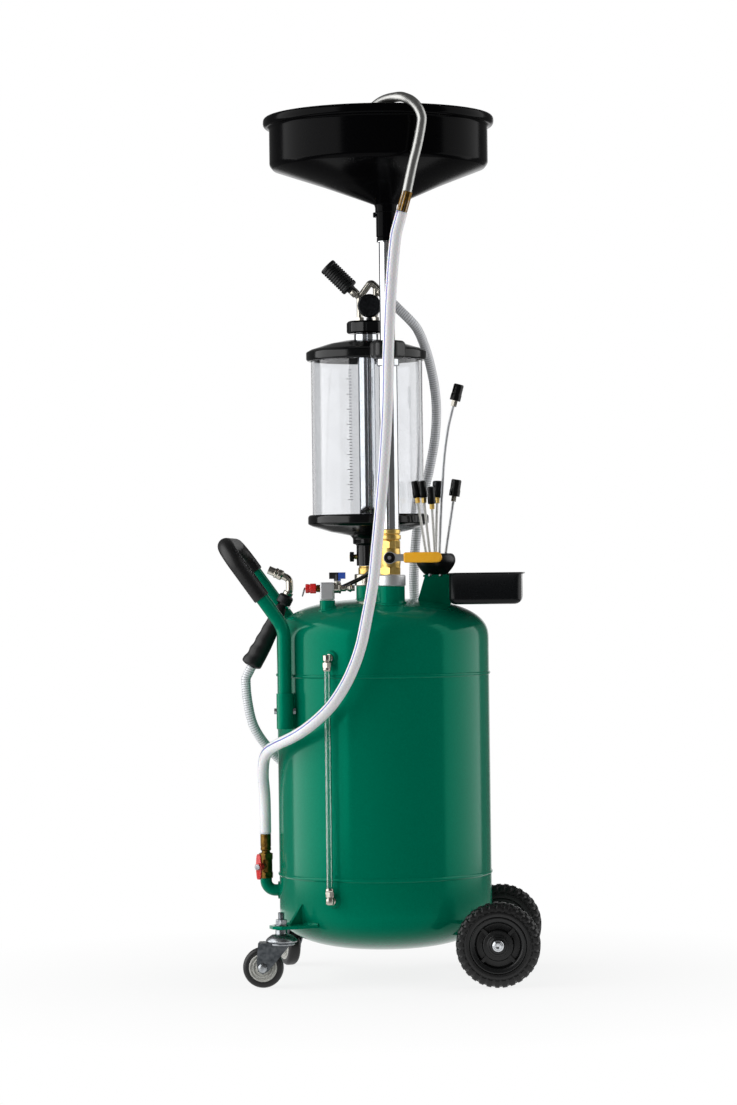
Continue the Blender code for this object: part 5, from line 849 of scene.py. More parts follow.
# Moulded glass-filled nylon: black, satin, with a fine stipple.
BLACK_NYLON = surface(
    "black_glass_filled_nylon", ("0a0b0c", "111213"), (0.30, 0.42), 0.9, 0.008, {"Specular IOR Level": 0.4},
)
# Moulded blue nylon: even colour, soft gloss.
BLUE_NYLON = surface("blue_nylon", ("2a4fae", "325bc0"), (0.3, 0.42), 3.0, 0.006, {"IOR": 1.53})
LEVER_SPLIT = TANK_AXIS.x + LEVER_X + 0.002


def half_of(mesh, x, side):
    """The part of a closed mesh on one side of a plane across X, closed again at the cut."""
    shape = bmesh.new()
    shape.from_mesh(mesh)
    everything = shape.verts[:] + shape.edges[:] + shape.faces[:]
    bmesh.ops.bisect_plane(
        shape, geom=everything, plane_co=(x, 0, 0), plane_no=(side, 0, 0), clear_inner=True,
    )
    bmesh.ops.holes_fill(shape, edges=[edge for edge in shape.edges if edge.is_boundary])
    return closed_mesh(shape)


piece(
    "air_valve_lever_grip", half_of(from_cad("air_valve_lever"), LEVER_SPLIT, 1), BLUE_NYLON, "air_lever",
    "air_valve_lever", slot="black_plastic", edge=0.0012,
)
piece(
    "air_valve_lever_hub", half_of(from_cad("air_valve_lever"), LEVER_SPLIT, -1), BLACK_NYLON, "air_lever",
    slot="black_plastic", edge=0.0012,
)

# Main valve: an aluminium ring nut clamps a forged brass ball valve on the mast neck.
# Its ball turns on a stem with a nickel-plated lever, whose grip is a dipped yellow vinyl sleeve.
MAST_X, MAST_Y = mast_neck[:2]
STEM_Z = 0.7886
# Bright forged brass, tumbled: pale yellow and satin.
BRASS = surface("forged_brass", ("dcb864", "e8c97c"), (0.30, 0.38), 8.0, 0.002, {"Metallic": 1.0})
# Nickel on pressed steel: pale and satin.
BRIGHT_STEEL = surface(
    "nickel_plated_steel", ("cfd1d3", "dedfe1"), (0.38, 0.46), 6.0, 0.002, {"Metallic": 1.0},
)
# Dipped vinyl: thick, soft-edged, with an even low gloss.
YELLOW_VINYL = surface("dipped_yellow_vinyl", ("ffb414", "ffbe24"), (0.36, 0.46), 3.0, 0.008, {"IOR": 1.53})


def knurled(count, depth, beyond):
    """A form with fine upright grooves where the radius is beyond a limit."""

    def form(turn, radius, height):
        return radius - (depth * (0.5 + 0.5 * math.cos(count * turn)) if radius > beyond else 0.0)

    return form


ring = soften(
    [
        (0.0115, 0.7363), (0.0270, 0.7363), (0.0280, 0.7373), (0.0280, 0.7548), (0.0262, 0.7568),
        (0.0115, 0.7568),
    ],
    0.0008,
)
piece(
    "mast_ring_nut_collar", column(ring, 72, MAST_X, MAST_Y), ALUMINIUM, "tank",
    "mast_ring_nut", slot="aluminium",
)
union = soften(
    [
        (0.0115, 0.7571), (0.0180, 0.7571), (0.0185, 0.7720), (0.0192, 0.7790), (0.0192, 0.7980),
        (0.0185, 0.8050), (0.0185, 0.8205), (0.0170, 0.8211), (0.0170, 0.8221), (0.0198, 0.8228),
        (0.0202, 0.8240), (0.0202, 0.8295), (0.0196, 0.8308), (0.0172, 0.8312), (0.0172, 0.8322),
        (0.0188, 0.8328), (0.0192, 0.8340), (0.0192, 0.8400), (0.0186, 0.8411), (0.0115, 0.8411),
    ],
    0.0005,
)
parts = [
    turned(union, 72, loop=True), hex_nut(0.0212, 0.7571, 0.7716, 0.012),
    hex_nut(0.0212, 0.8056, 0.8201, 0.012),
]
parts = [moved(part, stand(MAST_X, MAST_Y, 0)) for part in parts]
gland = soften(
    [
        (0.0044, 0.010), (0.0105, 0.010), (0.0105, 0.0195), (0.0085, 0.0203), (0.0085, 0.0235),
        (0.0044, 0.0235),
    ],
    0.0006,
)
lever_stand = stand(MAST_X, MAST_Y, STEM_Z, (0, -1, 0))
parts.append(moved(turned(gland, 48, loop=True), lever_stand))
piece("main_valve_barrel", gather(*parts), BRASS, "tank", "main_valve_body", slot="brass")
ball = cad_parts["main_valve_ball"].data
ball.materials.clear()
ball.materials.append(CHROME)
heel = arc_points(0.0115, math.pi * 0.30, math.pi * 1.40, 24)
strap = [(0.014, -0.0065), (0.094, -0.0065), (0.094, 0.0065), (0.014, 0.0065)]
lever = moved(extruded(heel + strap, 0.0239, 0.0269), lever_stand)
piece(
    "main_valve_lever_plate", lever, BRIGHT_STEEL, "main_lever", "main_valve_lever", slot="chromed_steel",
    edge=0.0006,
)
# Black oxide on the lever's nut and washer: dark steel with an oily sheen.
BLACK_STEEL = surface("black_oxide_steel", ("17181a", "26282a"), (0.25, 0.4), 5.0, 0.01, {"Metallic": 0.8})
washer = soften([(0.004, 0.0269), (0.0100, 0.0269), (0.0100, 0.0281), (0.004, 0.0281)], 0.0004)
nut_parts = [hex_nut(0.0088, 0.0282, 0.0335, 0.0035), turned(washer, 48, loop=True)]
piece(
    "main_valve_lever_nut", moved(gather(*nut_parts), lever_stand), BLACK_STEEL, "main_lever",
    slot="chromed_steel",
)
SLEEVE_HALF = 0.00975
sleeve = [(0.026, -0.0088), (0.030, -SLEEVE_HALF)]
sleeve += arc_points(SLEEVE_HALF, -math.pi / 2, math.pi, 16, 0.0873)
sleeve += [(0.030, SLEEVE_HALF), (0.026, 0.0088)]
sleeve_shape = moved(extruded(sleeve, 0.0214, 0.0294), lever_stand)
piece(
    "lever_sleeve_grip", sleeve_shape, YELLOW_VINYL, "main_lever", "lever_sleeve", slot="yellow_vinyl",
    edge=0.0028,
)

# Mast: a chromed outer tube stands on the valve, a chromed inner tube slides in it,
# and a moulded lock nut on the outer tube's collar holds the height.
outer = soften(
    [
        (0.0156, 0.8414), (0.0175, 0.8414), (0.0175, 1.1440), (0.0205, 1.1452), (0.0215, 1.1462),
        (0.0215, 1.1575), (0.0208, 1.1584), (0.0156, 1.1584),
    ],
    0.0006,
)
piece(
    "mast_outer_tube_skin", column(outer, 64, MAST_X, MAST_Y), CHROME, "tank", "mast_outer_tube",
    slot="chromed_steel",
)
nut_low, nut_high = 1.1588, 1.1918


def lobed(turn, radius, height):
    """Six rounded lobes for the hand."""
    return radius * (1 - 0.10 * (0.5 - 0.5 * math.cos(6 * turn))) if radius > 0.022 else radius


lock = soften(
    [
        (0.0144, nut_low), (0.0285, nut_low), (0.0330, nut_low + 0.005), (0.0330, nut_high - 0.005),
        (0.0285, nut_high), (0.0144, nut_high),
    ],
    0.003,
)
piece(
    "mast_lock_nut_knob", column(lock, 96, MAST_X, MAST_Y, lobed), BLACK_NYLON, "lock_nut", "mast_lock_nut",
    slot="black_plastic",
)
inner = soften(
    [
        (0.0120, 0.9684), (0.0152, 0.9684), (0.0152, 0.9884), (0.0140, 0.9894), (0.0140, 1.4388),
        (0.0120, 1.4388),
    ],
    0.0004,
)
piece(
    "mast_inner_tube_skin", column(inner, 64, MAST_X, MAST_Y), CHROME, "mast", "mast_inner_tube",
    slot="chromed_steel",
)

# Drain bowl: pressed steel in black gloss enamel, with a rolled rim, upright wall and a cone
# whose spout stands a little off centre. Its collar sits on the inner tube, held by a clamp screw.
BOWL_OFFSET = -0.0125
BOWL_SIDES = 160
# Stoved black enamel: deep black, glossy, with slight orange peel.
BLACK_ENAMEL = surface(
    "black_gloss_enamel", ("030304", "060607"), (0.15, 0.19), 3.0, 0.0015, {"Specular IOR Level": 0.04},
)
bowl_profile = [
    (0.0143, 1.3750, 0), (0.0176, 1.3750, 0), (0.0176, 1.3828, 0), (0.0170, 1.3832, 0), (0.0170, 1.3845, 0),
    (0.0185, 1.3852, 0), (0.0185, 1.4300, 0), (0.0200, 1.4310, 0), (0.0200, 1.4395, 0),
    (0.0215, 1.4445, 0.02), (0.0330, 1.4492, 0.08), (0.1100, 1.4802, 0.55), (0.1970, 1.5118, 1),
    (0.2030, 1.5195, 1), (0.2030, 1.5850, 1), (0.2060, 1.5885, 1), (0.2105, 1.5890, 1), (0.2138, 1.5925, 1),
    (0.2145, 1.5980, 1), (0.2138, 1.6035, 1), (0.2105, 1.6068, 1), (0.2065, 1.6068, 1), (0.2030, 1.6035, 1),
    (0.2005, 1.5980, 1), (0.2005, 1.5208, 1), (0.1945, 1.5140, 1), (0.1100, 1.4830, 0.55),
    (0.0320, 1.4518, 0.08), (0.0143, 1.4450, 0),
]
bowl_rows = []
for radius, height, share in soften(bowl_profile, 0.0035, 4):
    shift = BOWL_OFFSET * share
    ring = [(shift + radius * math.cos(t), radius * math.sin(t), height) for t in full_turn(BOWL_SIDES)]
    bowl_rows.append(ring)
piece(
    "drain_bowl_pressing", moved(skinned(bowl_rows, loop=True), stand(MAST_X, MAST_Y, 0)), BLACK_ENAMEL,
    "mast", "drain_bowl", slot="black_plastic",
)
bands = []
for height in (1.3894, 1.3757):
    band = [
        (0.0168, height - 0.0007), (0.0181, height - 0.0007), (0.0183, height), (0.0181, height + 0.0007),
        (0.0168, height + 0.0007),
    ]
    bands.append(column(band, 64, MAST_X, MAST_Y))
piece("bowl_collar_rings", gather(*bands), CHROME, "mast", slot="chromed_steel")
screw = [
    (0, 0.0143), (0.0030, 0.0143), (0.0030, 0.0188), (0.0052, 0.0190), (0.0052, 0.0198), (0.0047, 0.0240),
    (0, 0.0240),
]
piece(
    "bowl_clamp_screw_head",
    moved(
        turned(soften(screw, 0.0006), 64, knurled(20, 0.0004, 0.0045)),
        stand(MAST_X, MAST_Y, 1.426, (-1, 0, 0)),
    ),
    BLACK_STEEL, "clamp_screw", "bowl_clamp_screw", slot="zinc_plated_steel",
)

# Hook pipe: a bent aluminium pipe that hangs on the bowl's rim, with a crimped brass ferrule
# that holds the discharge hose on its lower end.
RIM_RADIUS = 0.2145
RIM_Z = 1.607
HOOK_RADIUS = 0.009
FERRULE_LENGTH = 0.037
HOOK_ROUTE = [
    (13.6, 0.0042, -0.1970), (15.0, 0.0065, -0.1770), (18.4, 0.0121, -0.1140), (20.7, 0.0164, -0.0750),
    (22.4, 0.0185, -0.0370), (22.2, 0.0180, -0.0230), (20.7, 0.0160, -0.0095), (18.4, 0.0118, 0.0012),
    (15.9, 0.0064, 0.0068), (13.9, 0.0000, 0.0097), (11.7, -0.0095, 0.0099), (8.5, -0.0275, 0.0096),
    (4.9, -0.0460, 0.0070), (0.6, -0.0645, 0.0010), (-5.9, -0.0840, -0.0090), (-13.3, -0.0995, -0.0220),
]


def places_on(spans, goals):
    """For each distance along a line, the stretch it falls on and the share of that stretch."""
    place = 0
    for goal in goals:
        while place < len(spans) - 2 and spans[place + 1] < goal:
            place += 1
        yield place, (goal - spans[place]) / (spans[place + 1] - spans[place])


def smooth_line(route, spacing):
    """A smooth line through points measured from the tank's axis, straight in its first and last stretch."""
    points = [TANK_AXIS + Vector(point) for point in route]
    fine = [points[0]]
    for a, b, c, d in zip(points, points[1:], points[2:], points[3:]):
        for step in range(16):
            t = step / 16
            bend = (2 * a - 5 * b + 4 * c - d) * t**2 + (3 * b - a - 3 * c + d) * t**3
            fine.append(0.5 * (2 * b + (c - a) * t + bend))
    fine += points[-2:]
    spans = run_lengths(fine)
    count = round(spans[-1] / spacing)
    goals = [spans[-1] * step / count for step in range(count + 1)]
    line = [fine[place].lerp(fine[place + 1], min(share, 1.0)) for place, share in places_on(spans, goals)]
    return line, spans[-1]


hook_points = []
for degrees, beyond, over in HOOK_ROUTE:
    turn, out = math.radians(degrees), RIM_RADIUS + beyond
    hook_points.append(
        (MAST_X + BOWL_OFFSET + out * math.sin(turn), MAST_Y - out * math.cos(turn), RIM_Z + over)
    )
hook_line = smooth_line(hook_points, 0.004)[0]
# Drawn aluminium: an even satin grey.
SATIN_ALUMINIUM = surface(
    "satin_drawn_aluminium", ("a6a6a4", "b4b4b1"), (0.33, 0.42), 6.0, 0.0, {"Metallic": 1.0},
)
pipe = swept(hook_line, HOOK_RADIUS, 32, bore=0.0078)
piece("hook_pipe_bend", pipe, SATIN_ALUMINIUM, "mast", "hook_pipe", slot="aluminium")
crimp_way = (hook_line[1] - hook_line[0]).normalized()
crimp = soften(
    [
        (0.0085, 0), (0.0092, 0), (0.0098, 0.0012), (0.0098, FERRULE_LENGTH - 0.0012),
        (0.0092, FERRULE_LENGTH), (0.0085, FERRULE_LENGTH),
    ],
    0.0004,
)
crimped = turned(crimp, 80, knurled(10, 0.0009, 0.0095), loop=True)
piece(
    "hook_pipe_ferrule", moved(crimped, stand(*hook_points[0], crimp_way)), DULL_BRASS, "mast",
    slot="brass",
)

# Measuring chamber: a clear acrylic cylinder between a moulded base and lid, drawn together by a chromed
# centre tube with a lobed nut. A nickel-plated ring nut and a brass nipple join the base
# to the tank's middle neck.
CHAMBER_X, CHAMBER_Y = chamber_neck[:2]
CYLINDER_RADIUS = 0.106
ring = soften(
    [
        (0.0125, 0.7368), (0.0272, 0.7368), (0.0280, 0.7378), (0.0280, 0.7576), (0.0268, 0.7588),
        (0.0125, 0.7588),
    ],
    0.0007,
)
piece(
    "chamber_ring_nut_collar", column(ring, 72, CHAMBER_X, CHAMBER_Y), NICKEL, "tank",
    "chamber_ring_nut", slot="nickel_plated_brass",
)
nipple = soften(
    [
        (0.0125, 0.7586), (0.0205, 0.7586), (0.0205, 0.7700), (0.0190, 0.7712), (0.0190, 0.7743),
        (0.0125, 0.7743),
    ],
    0.0007,
)
piece(
    "chamber_ring_nut_nipple", column(nipple, 72, CHAMBER_X, CHAMBER_Y), BRASS, "tank",
    slot="nickel_plated_brass",
)
# Moulded nylon for the base, lid and nut: black with a soft gloss that shows the moulding's flow.
GLOSS_NYLON = surface(
    "black_gloss_nylon", ("060708", "0a0b0c"), (0.12, 0.17), 6.0, 0.003, {"Specular IOR Level": 0.3},
)
base = soften(
    [
        (0.0125, 0.7746), (0.0228, 0.7746), (0.0235, 0.7756), (0.0235, 0.8143), (0.0295, 0.8163),
        (0.0300, 0.8173), (0.0300, 0.8263), (0.0345, 0.8320), (0.0713, 0.8392), (0.1070, 0.8500),
        (0.1150, 0.8545), (0.1150, 0.8680), (0.1120, 0.8718), (0.1063, 0.8718), (0.1063, 0.8643),
        (0.098, 0.8643), (0.023, 0.8471), (0.0125, 0.8471),
    ],
    0.0022, 4,
)
piece(
    "chamber_base_moulding", column(base, 128, CHAMBER_X, CHAMBER_Y), GLOSS_NYLON, "tank", "chamber_base",
    slot="black_plastic",
)
# Cast acrylic: clear, with a little grey in its thick wall.
CAST_ACRYLIC = surface(
    "cast_acrylic", ("e7e8ea", "ecedef"), (0.01, 0.03), 40.0, 0.0, {"IOR": 1.49, "Transmission Weight": 1.0}
)
glass = [(0.101, 0.8646), (CYLINDER_RADIUS, 0.8646), (CYLINDER_RADIUS, 1.1713), (0.101, 1.1713)]
piece(
    "chamber_cylinder_tube", column(glass, 160, CHAMBER_X, CHAMBER_Y), CAST_ACRYLIC, "tank",
    "chamber_cylinder", slot="clear_acrylic",
)
lid = soften(
    [
        (0.0168, 1.2026), (0.0168, 1.1946), (0.046, 1.1916), (0.098, 1.1746), (0.098, 1.1716),
        (0.1063, 1.1716), (0.1063, 1.1641), (0.1120, 1.1641), (0.1150, 1.1675), (0.1150, 1.1810),
        (0.1070, 1.1858), (0.0713, 1.1970), (0.0425, 1.2026), (0.0168, 1.2026),
    ],
    0.0022, 4,
)
piece(
    "chamber_lid_moulding", column(lid, 128, CHAMBER_X, CHAMBER_Y), GLOSS_NYLON, "tank", "chamber_lid",
    slot="black_plastic",
)
centre = soften(
    [
        (0.0145, 0.8474), (0.0165, 0.8474), (0.0165, 1.2029), (0.0230, 1.2034), (0.0230, 1.2150),
        (0.0155, 1.2156), (0.0155, 1.2348), (0.0145, 1.2348),
    ],
    0.0005,
)
piece(
    "chamber_centre_tube_skin", column(centre, 64, CHAMBER_X, CHAMBER_Y), CHROME, "tank",
    "chamber_centre_tube", slot="chromed_steel",
)


def broad_lobes(turn, radius, height):
    """Eight broad lobes round the top nut, for the hand."""
    return radius - (0.0024 * (0.5 - 0.5 * math.cos(8 * turn)) if radius > 0.033 else 0.0)


top_nut = soften(
    [(0.0157, 1.2159), (0.0330, 1.2159), (0.0370, 1.2185), (0.0370, 1.2365), (0.0335, 1.2399), (0, 1.2399)],
    0.0016,
)
nut_outline = [(0, 1.2352), (0.0157, 1.2352)] + [tuple(point) for point in top_nut]
piece(
    "chamber_top_nut_knob", column(nut_outline, 160, CHAMBER_X, CHAMBER_Y, broad_lobes, loop=False),
    GLOSS_NYLON, "tank", "chamber_top_nut", slot="black_plastic",
)

# Level marks: short black lines with every fifth one longer, screened on the cylinder's front.
# They are thin prints on the skin, evenly spaced up the wall.
MARK_Z = 0.8985
MARK_STEP = 0.00566
MARK_TURN = math.radians(-102.5)
MARK_HALF = 0.0005
MARK_COUNT = 44
marks = []
for line in range(MARK_COUNT):
    long = line % 5 == 0
    span = (0.0105 if long else 0.0058) / CYLINDER_RADIUS
    turns = [MARK_TURN - span + span * step / 3 for step in range(4)]
    height = MARK_Z + MARK_STEP * line
    edge = [
        (reach * math.cos(t), reach * math.sin(t))
        for reach, way in ((0.10602, 1), (0.10614, -1)) for t in turns[::way]
    ]
    marks.append(extruded(edge, height - MARK_HALF, height + MARK_HALF))
# Screen ink: flat black, a tenth of a millimetre thick.
SCREEN_INK = surface("black_screen_ink", ("08080a", "101014"), (0.45, 0.6), 1.0, 0.0, {})
piece(
    "chamber_level_marks", moved(gather(*marks), stand(CHAMBER_X, CHAMBER_Y, 0)), SCREEN_INK, "tank",
    slot="black_plastic",
)

# Chamber head: a vacuum gauge whose dial faces away from the sight tube, and a nickel-plated pipe with the
# suction hose's tail, the air hose's barb and the black ribbed silencer, all screwed into the top nut.
HEAD_Z = 1.2402
GAUGE_Z = 1.2674
GAUGE_X = CHAMBER_X + 0.008
GAUGE_Y = CHAMBER_Y - 0.022
TICK_RADIUS = 0.0180
TICKS = 20
case = soften(
    [
        (0, -0.0110), (0.0196, -0.0110), (0.0222, -0.0085), (0.0222, 0.0085), (0.0214, 0.0110),
        (0.0198, 0.0110), (0.0196, 0.0085), (0, 0.0085),
    ],
    0.0012,
)
gauge_stand = stand(GAUGE_X, GAUGE_Y, GAUGE_Z, (0, 1, 0))
stalk = soften(
    [
        (0, HEAD_Z), (0.0062, HEAD_Z), (0.0062, HEAD_Z + 0.0035), (0.0046, HEAD_Z + 0.004),
        (0.0046, GAUGE_Z - 0.0205), (0, GAUGE_Z - 0.0205),
    ],
    0.0004,
)
gauge_parts = [moved(turned(case, 72), gauge_stand), moved(turned(stalk, 32), stand(GAUGE_X, GAUGE_Y, 0))]
piece("vacuum_gauge_case", gather(*gauge_parts), BLACK_STEEL, "tank", "vacuum_gauge", slot="black_plastic")
# Printed aluminium dial: plain matt white.
DIAL_WHITE = surface("white_dial_enamel", ("ececea", "f2f2f0"), (0.5, 0.6), 3.0, 0.0, {})
dial = turned([(0, 0.0088), (0.0192, 0.0088), (0.0192, 0.0091), (0, 0.0091)], 64)
piece("vacuum_gauge_dial", moved(dial, gauge_stand), DIAL_WHITE, "tank", slot="black_plastic")
scale_parts = []
for step in range(TICKS + 1):
    turn = math.radians(-135 + 270 * step / TICKS)
    length = 0.0042 if step % 5 == 0 else 0.0024
    low_end = TICK_RADIUS - length
    bar = [(-0.0003, low_end), (0.0003, low_end), (0.0003, TICK_RADIUS), (-0.0003, TICK_RADIUS)]
    scale_parts.append(moved(extruded(bar, 0.0091, 0.0092), Matrix.Rotation(turn, 4, "Z")))
needle = moved(
    extruded([(-0.0007, -0.004), (0.0007, -0.004), (0.0002, 0.0150), (-0.0002, 0.0150)], 0.0094, 0.0097),
    Matrix.Rotation(math.radians(-120), 4, "Z"),
)
scale_parts += [needle, turned([(0, 0.0091), (0.0018, 0.0091), (0.0018, 0.0100), (0, 0.0100)], 24)]
piece(
    "vacuum_gauge_scale", moved(gather(*scale_parts), gauge_stand), SCREEN_INK, "tank",
    slot="black_plastic",
)
lens_disc = turned(soften([(0, 0.0101), (0.0195, 0.0101), (0.0195, 0.0106), (0, 0.0106)], 0.0002), 64)
piece("vacuum_gauge_glass", moved(lens_disc, gauge_stand), CLEAR_ACRYLIC, "tank", slot="clear_acrylic")
PIPE_Y = 0.078
PIPE_RADIUS = 0.0062
VALLEY = (-0.0400, PIPE_Y, 1.2869)
CREST = (-0.0180, PIPE_Y, 1.3164)
HOSE_END = (0.0160, PIPE_Y, 1.2824)
ARM_WAY = Vector((-1, 0, 1)).normalized()
arm_end = Vector(VALLEY) + ARM_WAY * 0.0195
head_parts = []
knee = rounded([arm_end, VALLEY, CREST, HOSE_END], (0.004, 0.005), 8)
head_parts.append(swept([TANK_AXIS + point for point in knee], PIPE_RADIUS, 32))
hose_way = (Vector(HOSE_END) - Vector(CREST)).normalized()
tail_start = Vector(HOSE_END) - hose_way * 0.026
collar = soften(
    [
        (0, 0), (0.0092, 0), (0.0092, 0.0100), (0.0080, 0.0110), (0.0080, 0.0150), (0.0101, 0.0155),
        (0.0101, 0.0250), (0.0090, 0.0258), (0, 0.0258),
    ],
    0.0006,
)
head_parts.append(moved(turned(collar, 40), stand(*tail_start, hose_way)))
arm_nut = soften([(0, 0), (0.0085, 0), (0.0085, 0.0110), (0, 0.0110)], 0.0008)
head_parts.append(moved(turned(arm_nut, 40), stand(*(Vector(VALLEY) + ARM_WAY * 0.008), ARM_WAY)))
for post_x, post_top, post_radius in ((VALLEY[0], VALLEY[2], 0.0056), (-0.0096, 1.3060, 0.0046)):
    post = [TANK_AXIS + Vector((post_x, PIPE_Y, height)) for height in (HEAD_Z, post_top)]
    head_parts.append(swept(post, post_radius, 24))
    head_parts.append(moved(hex_nut(post_radius * 1.6, HEAD_Z, HEAD_Z + 0.0085), stand(post_x, PIPE_Y, 0)))
barb = [(0, 0), (0.0055, 0), (0.0055, 0.0050), (0.0036, 0.0055), (0.0036, 0.0160), (0, 0.0160)]
head_parts.append(moved(turned(barb, 24), stand(0.010, PIPE_Y - 0.002, 1.2884, (0, -1, 0))))
piece(
    "chamber_top_elbow_pipe", gather(*head_parts), NICKEL, "tank", "chamber_top_elbow",
    slot="nickel_plated_brass",
)
RIBS = 10
silencer = [
    (0, 0.0002), (0.0085, 0.0002), (0.0085, 0.0050), (0.0155, 0.0056), (0.0168, 0.0072), (0.0168, 0.0096),
]
for rib in range(RIBS):
    start = 0.0100 + 0.0050 * rib
    silencer += [
        (0.0170, start + 0.0004), (0.0170, start + 0.0028), (0.0153, start + 0.0034),
        (0.0153, start + 0.0046),
    ]
silencer += [(0.0168, 0.0608), (0.0168, 0.0655), (0.0155, 0.0676), (0, 0.0680)]
piece(
    "exhaust_silencer_body", moved(turned(soften(silencer, 0.0004, 2), 64), stand(*arm_end, ARM_WAY)),
    BLACK_NYLON, "tank", "exhaust_silencer", slot="black_plastic",
)

# Drain cock: a small brass needle cock in the outlet body's side,
# turned by a fluted black nylon knob pressed on its stem.
COCK_Z = 0.7918
cock_stand = stand(CHAMBER_X, CHAMBER_Y, COCK_Z, (-1, 0, 0))
cock = soften(
    [(0, 0.0129), (0.00475, 0.0129), (0.00475, 0.0270), (0.0040, 0.0275), (0.0040, 0.0368), (0, 0.0368)],
    0.0005,
)
piece(
    "chamber_cock_stem", moved(turned(cock, 48), cock_stand), BRASS, "drain_cock", "chamber_cock",
    slot="brass",
)
knob = soften(
    [
        (0.0040, 0.0282), (0.0088, 0.0285), (0.0095, 0.0295), (0.0095, 0.0352), (0.0086, 0.0363),
        (0.0040, 0.0363),
    ],
    0.0005,
)
piece(
    "chamber_cock_knob", moved(turned(knob, 72, knurled(18, 0.0007, 0.009), loop=True), cock_stand),
    BLACK_NYLON, "drain_cock", slot="brass",
)

# Suction grip: a moulded black handle with finger waves, held by its neck in the handle's fork,
# with a nickel-plated elbow and quick coupler for the probes on top.
GRIP_DROP = 0.13216
GRIP_FLAT = 0.85
GRIP_ROWS = [
    (-GRIP_DROP, 0.0125, -0.002), (-GRIP_DROP + 0.003, 0.0200, -0.0025),
    (-GRIP_DROP + 0.012, 0.0200, -0.0025), (-GRIP_DROP + 0.022, 0.0180, 0),
    (-GRIP_DROP + 0.032, 0.0190, -0.001), (-GRIP_DROP + 0.044, 0.0172, 0.001),
    (-GRIP_DROP + 0.055, 0.0178, 0), (-GRIP_DROP + 0.067, 0.0161, 0.001),
    (-GRIP_DROP + 0.079, 0.0164, 0.0005), (-GRIP_DROP + 0.091, 0.0148, 0.001),
    (-GRIP_DROP + 0.103, 0.0145, 0.0005), (-GRIP_DROP + 0.114, 0.0125, 0), (-0.0078, 0.0110, 0),
    (-0.0018, 0.0080, 0), (0.0018, 0.0080, 0), (0.0020, 0.0145, 0), (0.0178, 0.0145, 0),
    (0.0208, 0.0105, 0),
]
# Grained thermoplastic: black, satin, with a coarse leather-like pebble about 1.5 mm across.
PEBBLED_BLACK = surface(
    "pebbled_black_plastic", ("0b0b0c", "131314"), (0.36, 0.5), 1.5, 0.18, {"Specular IOR Level": 0.4},
)
rows = []
for height, radius, shift in soften(GRIP_ROWS, 0.005, 3):
    turns = full_turn(48)
    rows.append([(shift + radius * math.cos(t), radius * GRIP_FLAT * math.sin(t), height) for t in turns])
piece(
    "suction_grip_moulding", moved(skinned(rows), clip_stand), PEBBLED_BLACK, "tank", "suction_grip",
    slot="black_plastic",
)
grip_way = Vector((math.sin(GRIP_TURN), 0, math.cos(GRIP_TURN)))
start = GRIP_NECK + grip_way * 0.0211
turn_point = start + grip_way * 0.010
above = turn_point + Vector((0, 0, 0.022))
far_end = above + Vector((-0.91, 0, 0.41)).normalized() * 0.044
arm_way = (far_end - above).normalized()
path = [TANK_AXIS + point for point in rounded([start, turn_point, above, far_end], (0.012, 0.012), 8)]
connector_parts = [swept(path, 0.0068, 32)]
base_nut = soften([(0, 0), (0.0095, 0), (0.0095, 0.0060), (0.0080, 0.0068), (0, 0.0068)], 0.0006)
connector_parts.append(moved(turned(base_nut, 40), stand(*start, grip_way)))
coupler = soften(
    [
        (0, -0.030), (0.0080, -0.030), (0.0098, -0.0275), (0.0098, -0.0210), (0.0088, -0.0203),
        (0.0088, -0.0190), (0.0098, -0.0183), (0.0098, -0.0140), (0.0078, -0.0132), (0.0078, 0.0),
        (0.0060, 0.0), (0.0060, -0.008), (0, -0.008),
    ],
    0.0005,
)
connector_parts.append(moved(turned(coupler, 48), stand(*far_end, arm_way)))
piece(
    "suction_connector_elbow", gather(*connector_parts), NICKEL, "tank", "suction_connector",
    slot="nickel_plated_brass",
)

# Probe holder: a moulded black cup in the bracket's slot. Six probes stand in it:
# four translucent nylon tubes with brass nuts and black caps, a thin steel one, and a tall bent steel one.
holder = soften(
    [
        (0, 0.7105), (0.023, 0.7105), (0.0205, 0.7517), (0.0205, 0.7563), (0.0235, 0.7590),
        (0.0290, 0.7655), (0.0340, 0.7725), (0.0368, 0.7790), (0.0374, 0.7840), (0.0362, 0.7900),
        (0.0330, 0.7945), (0.0290, 0.7963), (0.0300, 0.7940), (0.0335, 0.7880), (0.0345, 0.7830),
        (0.0335, 0.7780), (0.0260, 0.7655), (0.0175, 0.7563), (0.0175, 0.7517), (0.020, 0.7135),
        (0, 0.7135),
    ],
    0.0015,
)
bolts = [
    moved(hex_nut(0.0036, 0.7532, 0.7572), stand(HOLDER_X + side * 0.010, -0.0285, 0))
    for side in (-1, 1)
]
piece("probe_holder_bolts", gather(*bolts), ZINC, "tank", slot="zinc_plated_steel")
piece(
    "probe_holder_cup", column(holder, 72, HOLDER_X, 0, loop=False), BLACK_NYLON, "tank", "probe_holder",
    slot="black_plastic",
)
PROBE_RADIUS = 0.0025
PROBE_FOOT_Z = 0.71443
PROBE_CIRCLE = 0.006
PROBE_CAP_LENGTH = 0.021
WIDE_CAP_RADIUS = 0.0102
PROBES = [
    ("first", 1, 180, -0.034, -0.027, 0.912, 0.0075), ("second", 2, 240, -0.021, -0.036, 0.912, 0.0075),
    ("third", 3, 300, -0.005, -0.042, 0.900, 0.0075),
    ("fourth", 4, 120, 0.004, 0.025, 0.912, WIDE_CAP_RADIUS),
    ("fifth", 5, 0, 0.038, 0.0, 0.914, WIDE_CAP_RADIUS),
]
# Translucent nylon: pale, waxy, with light passing through the wall.
NATURAL_NYLON = surface(
    "natural_nylon", ("ecece8", "f4f4f1"), (0.25, 0.35), 4.0, 0.0, {"Transmission Weight": 0.12, "IOR": 1.53}
)
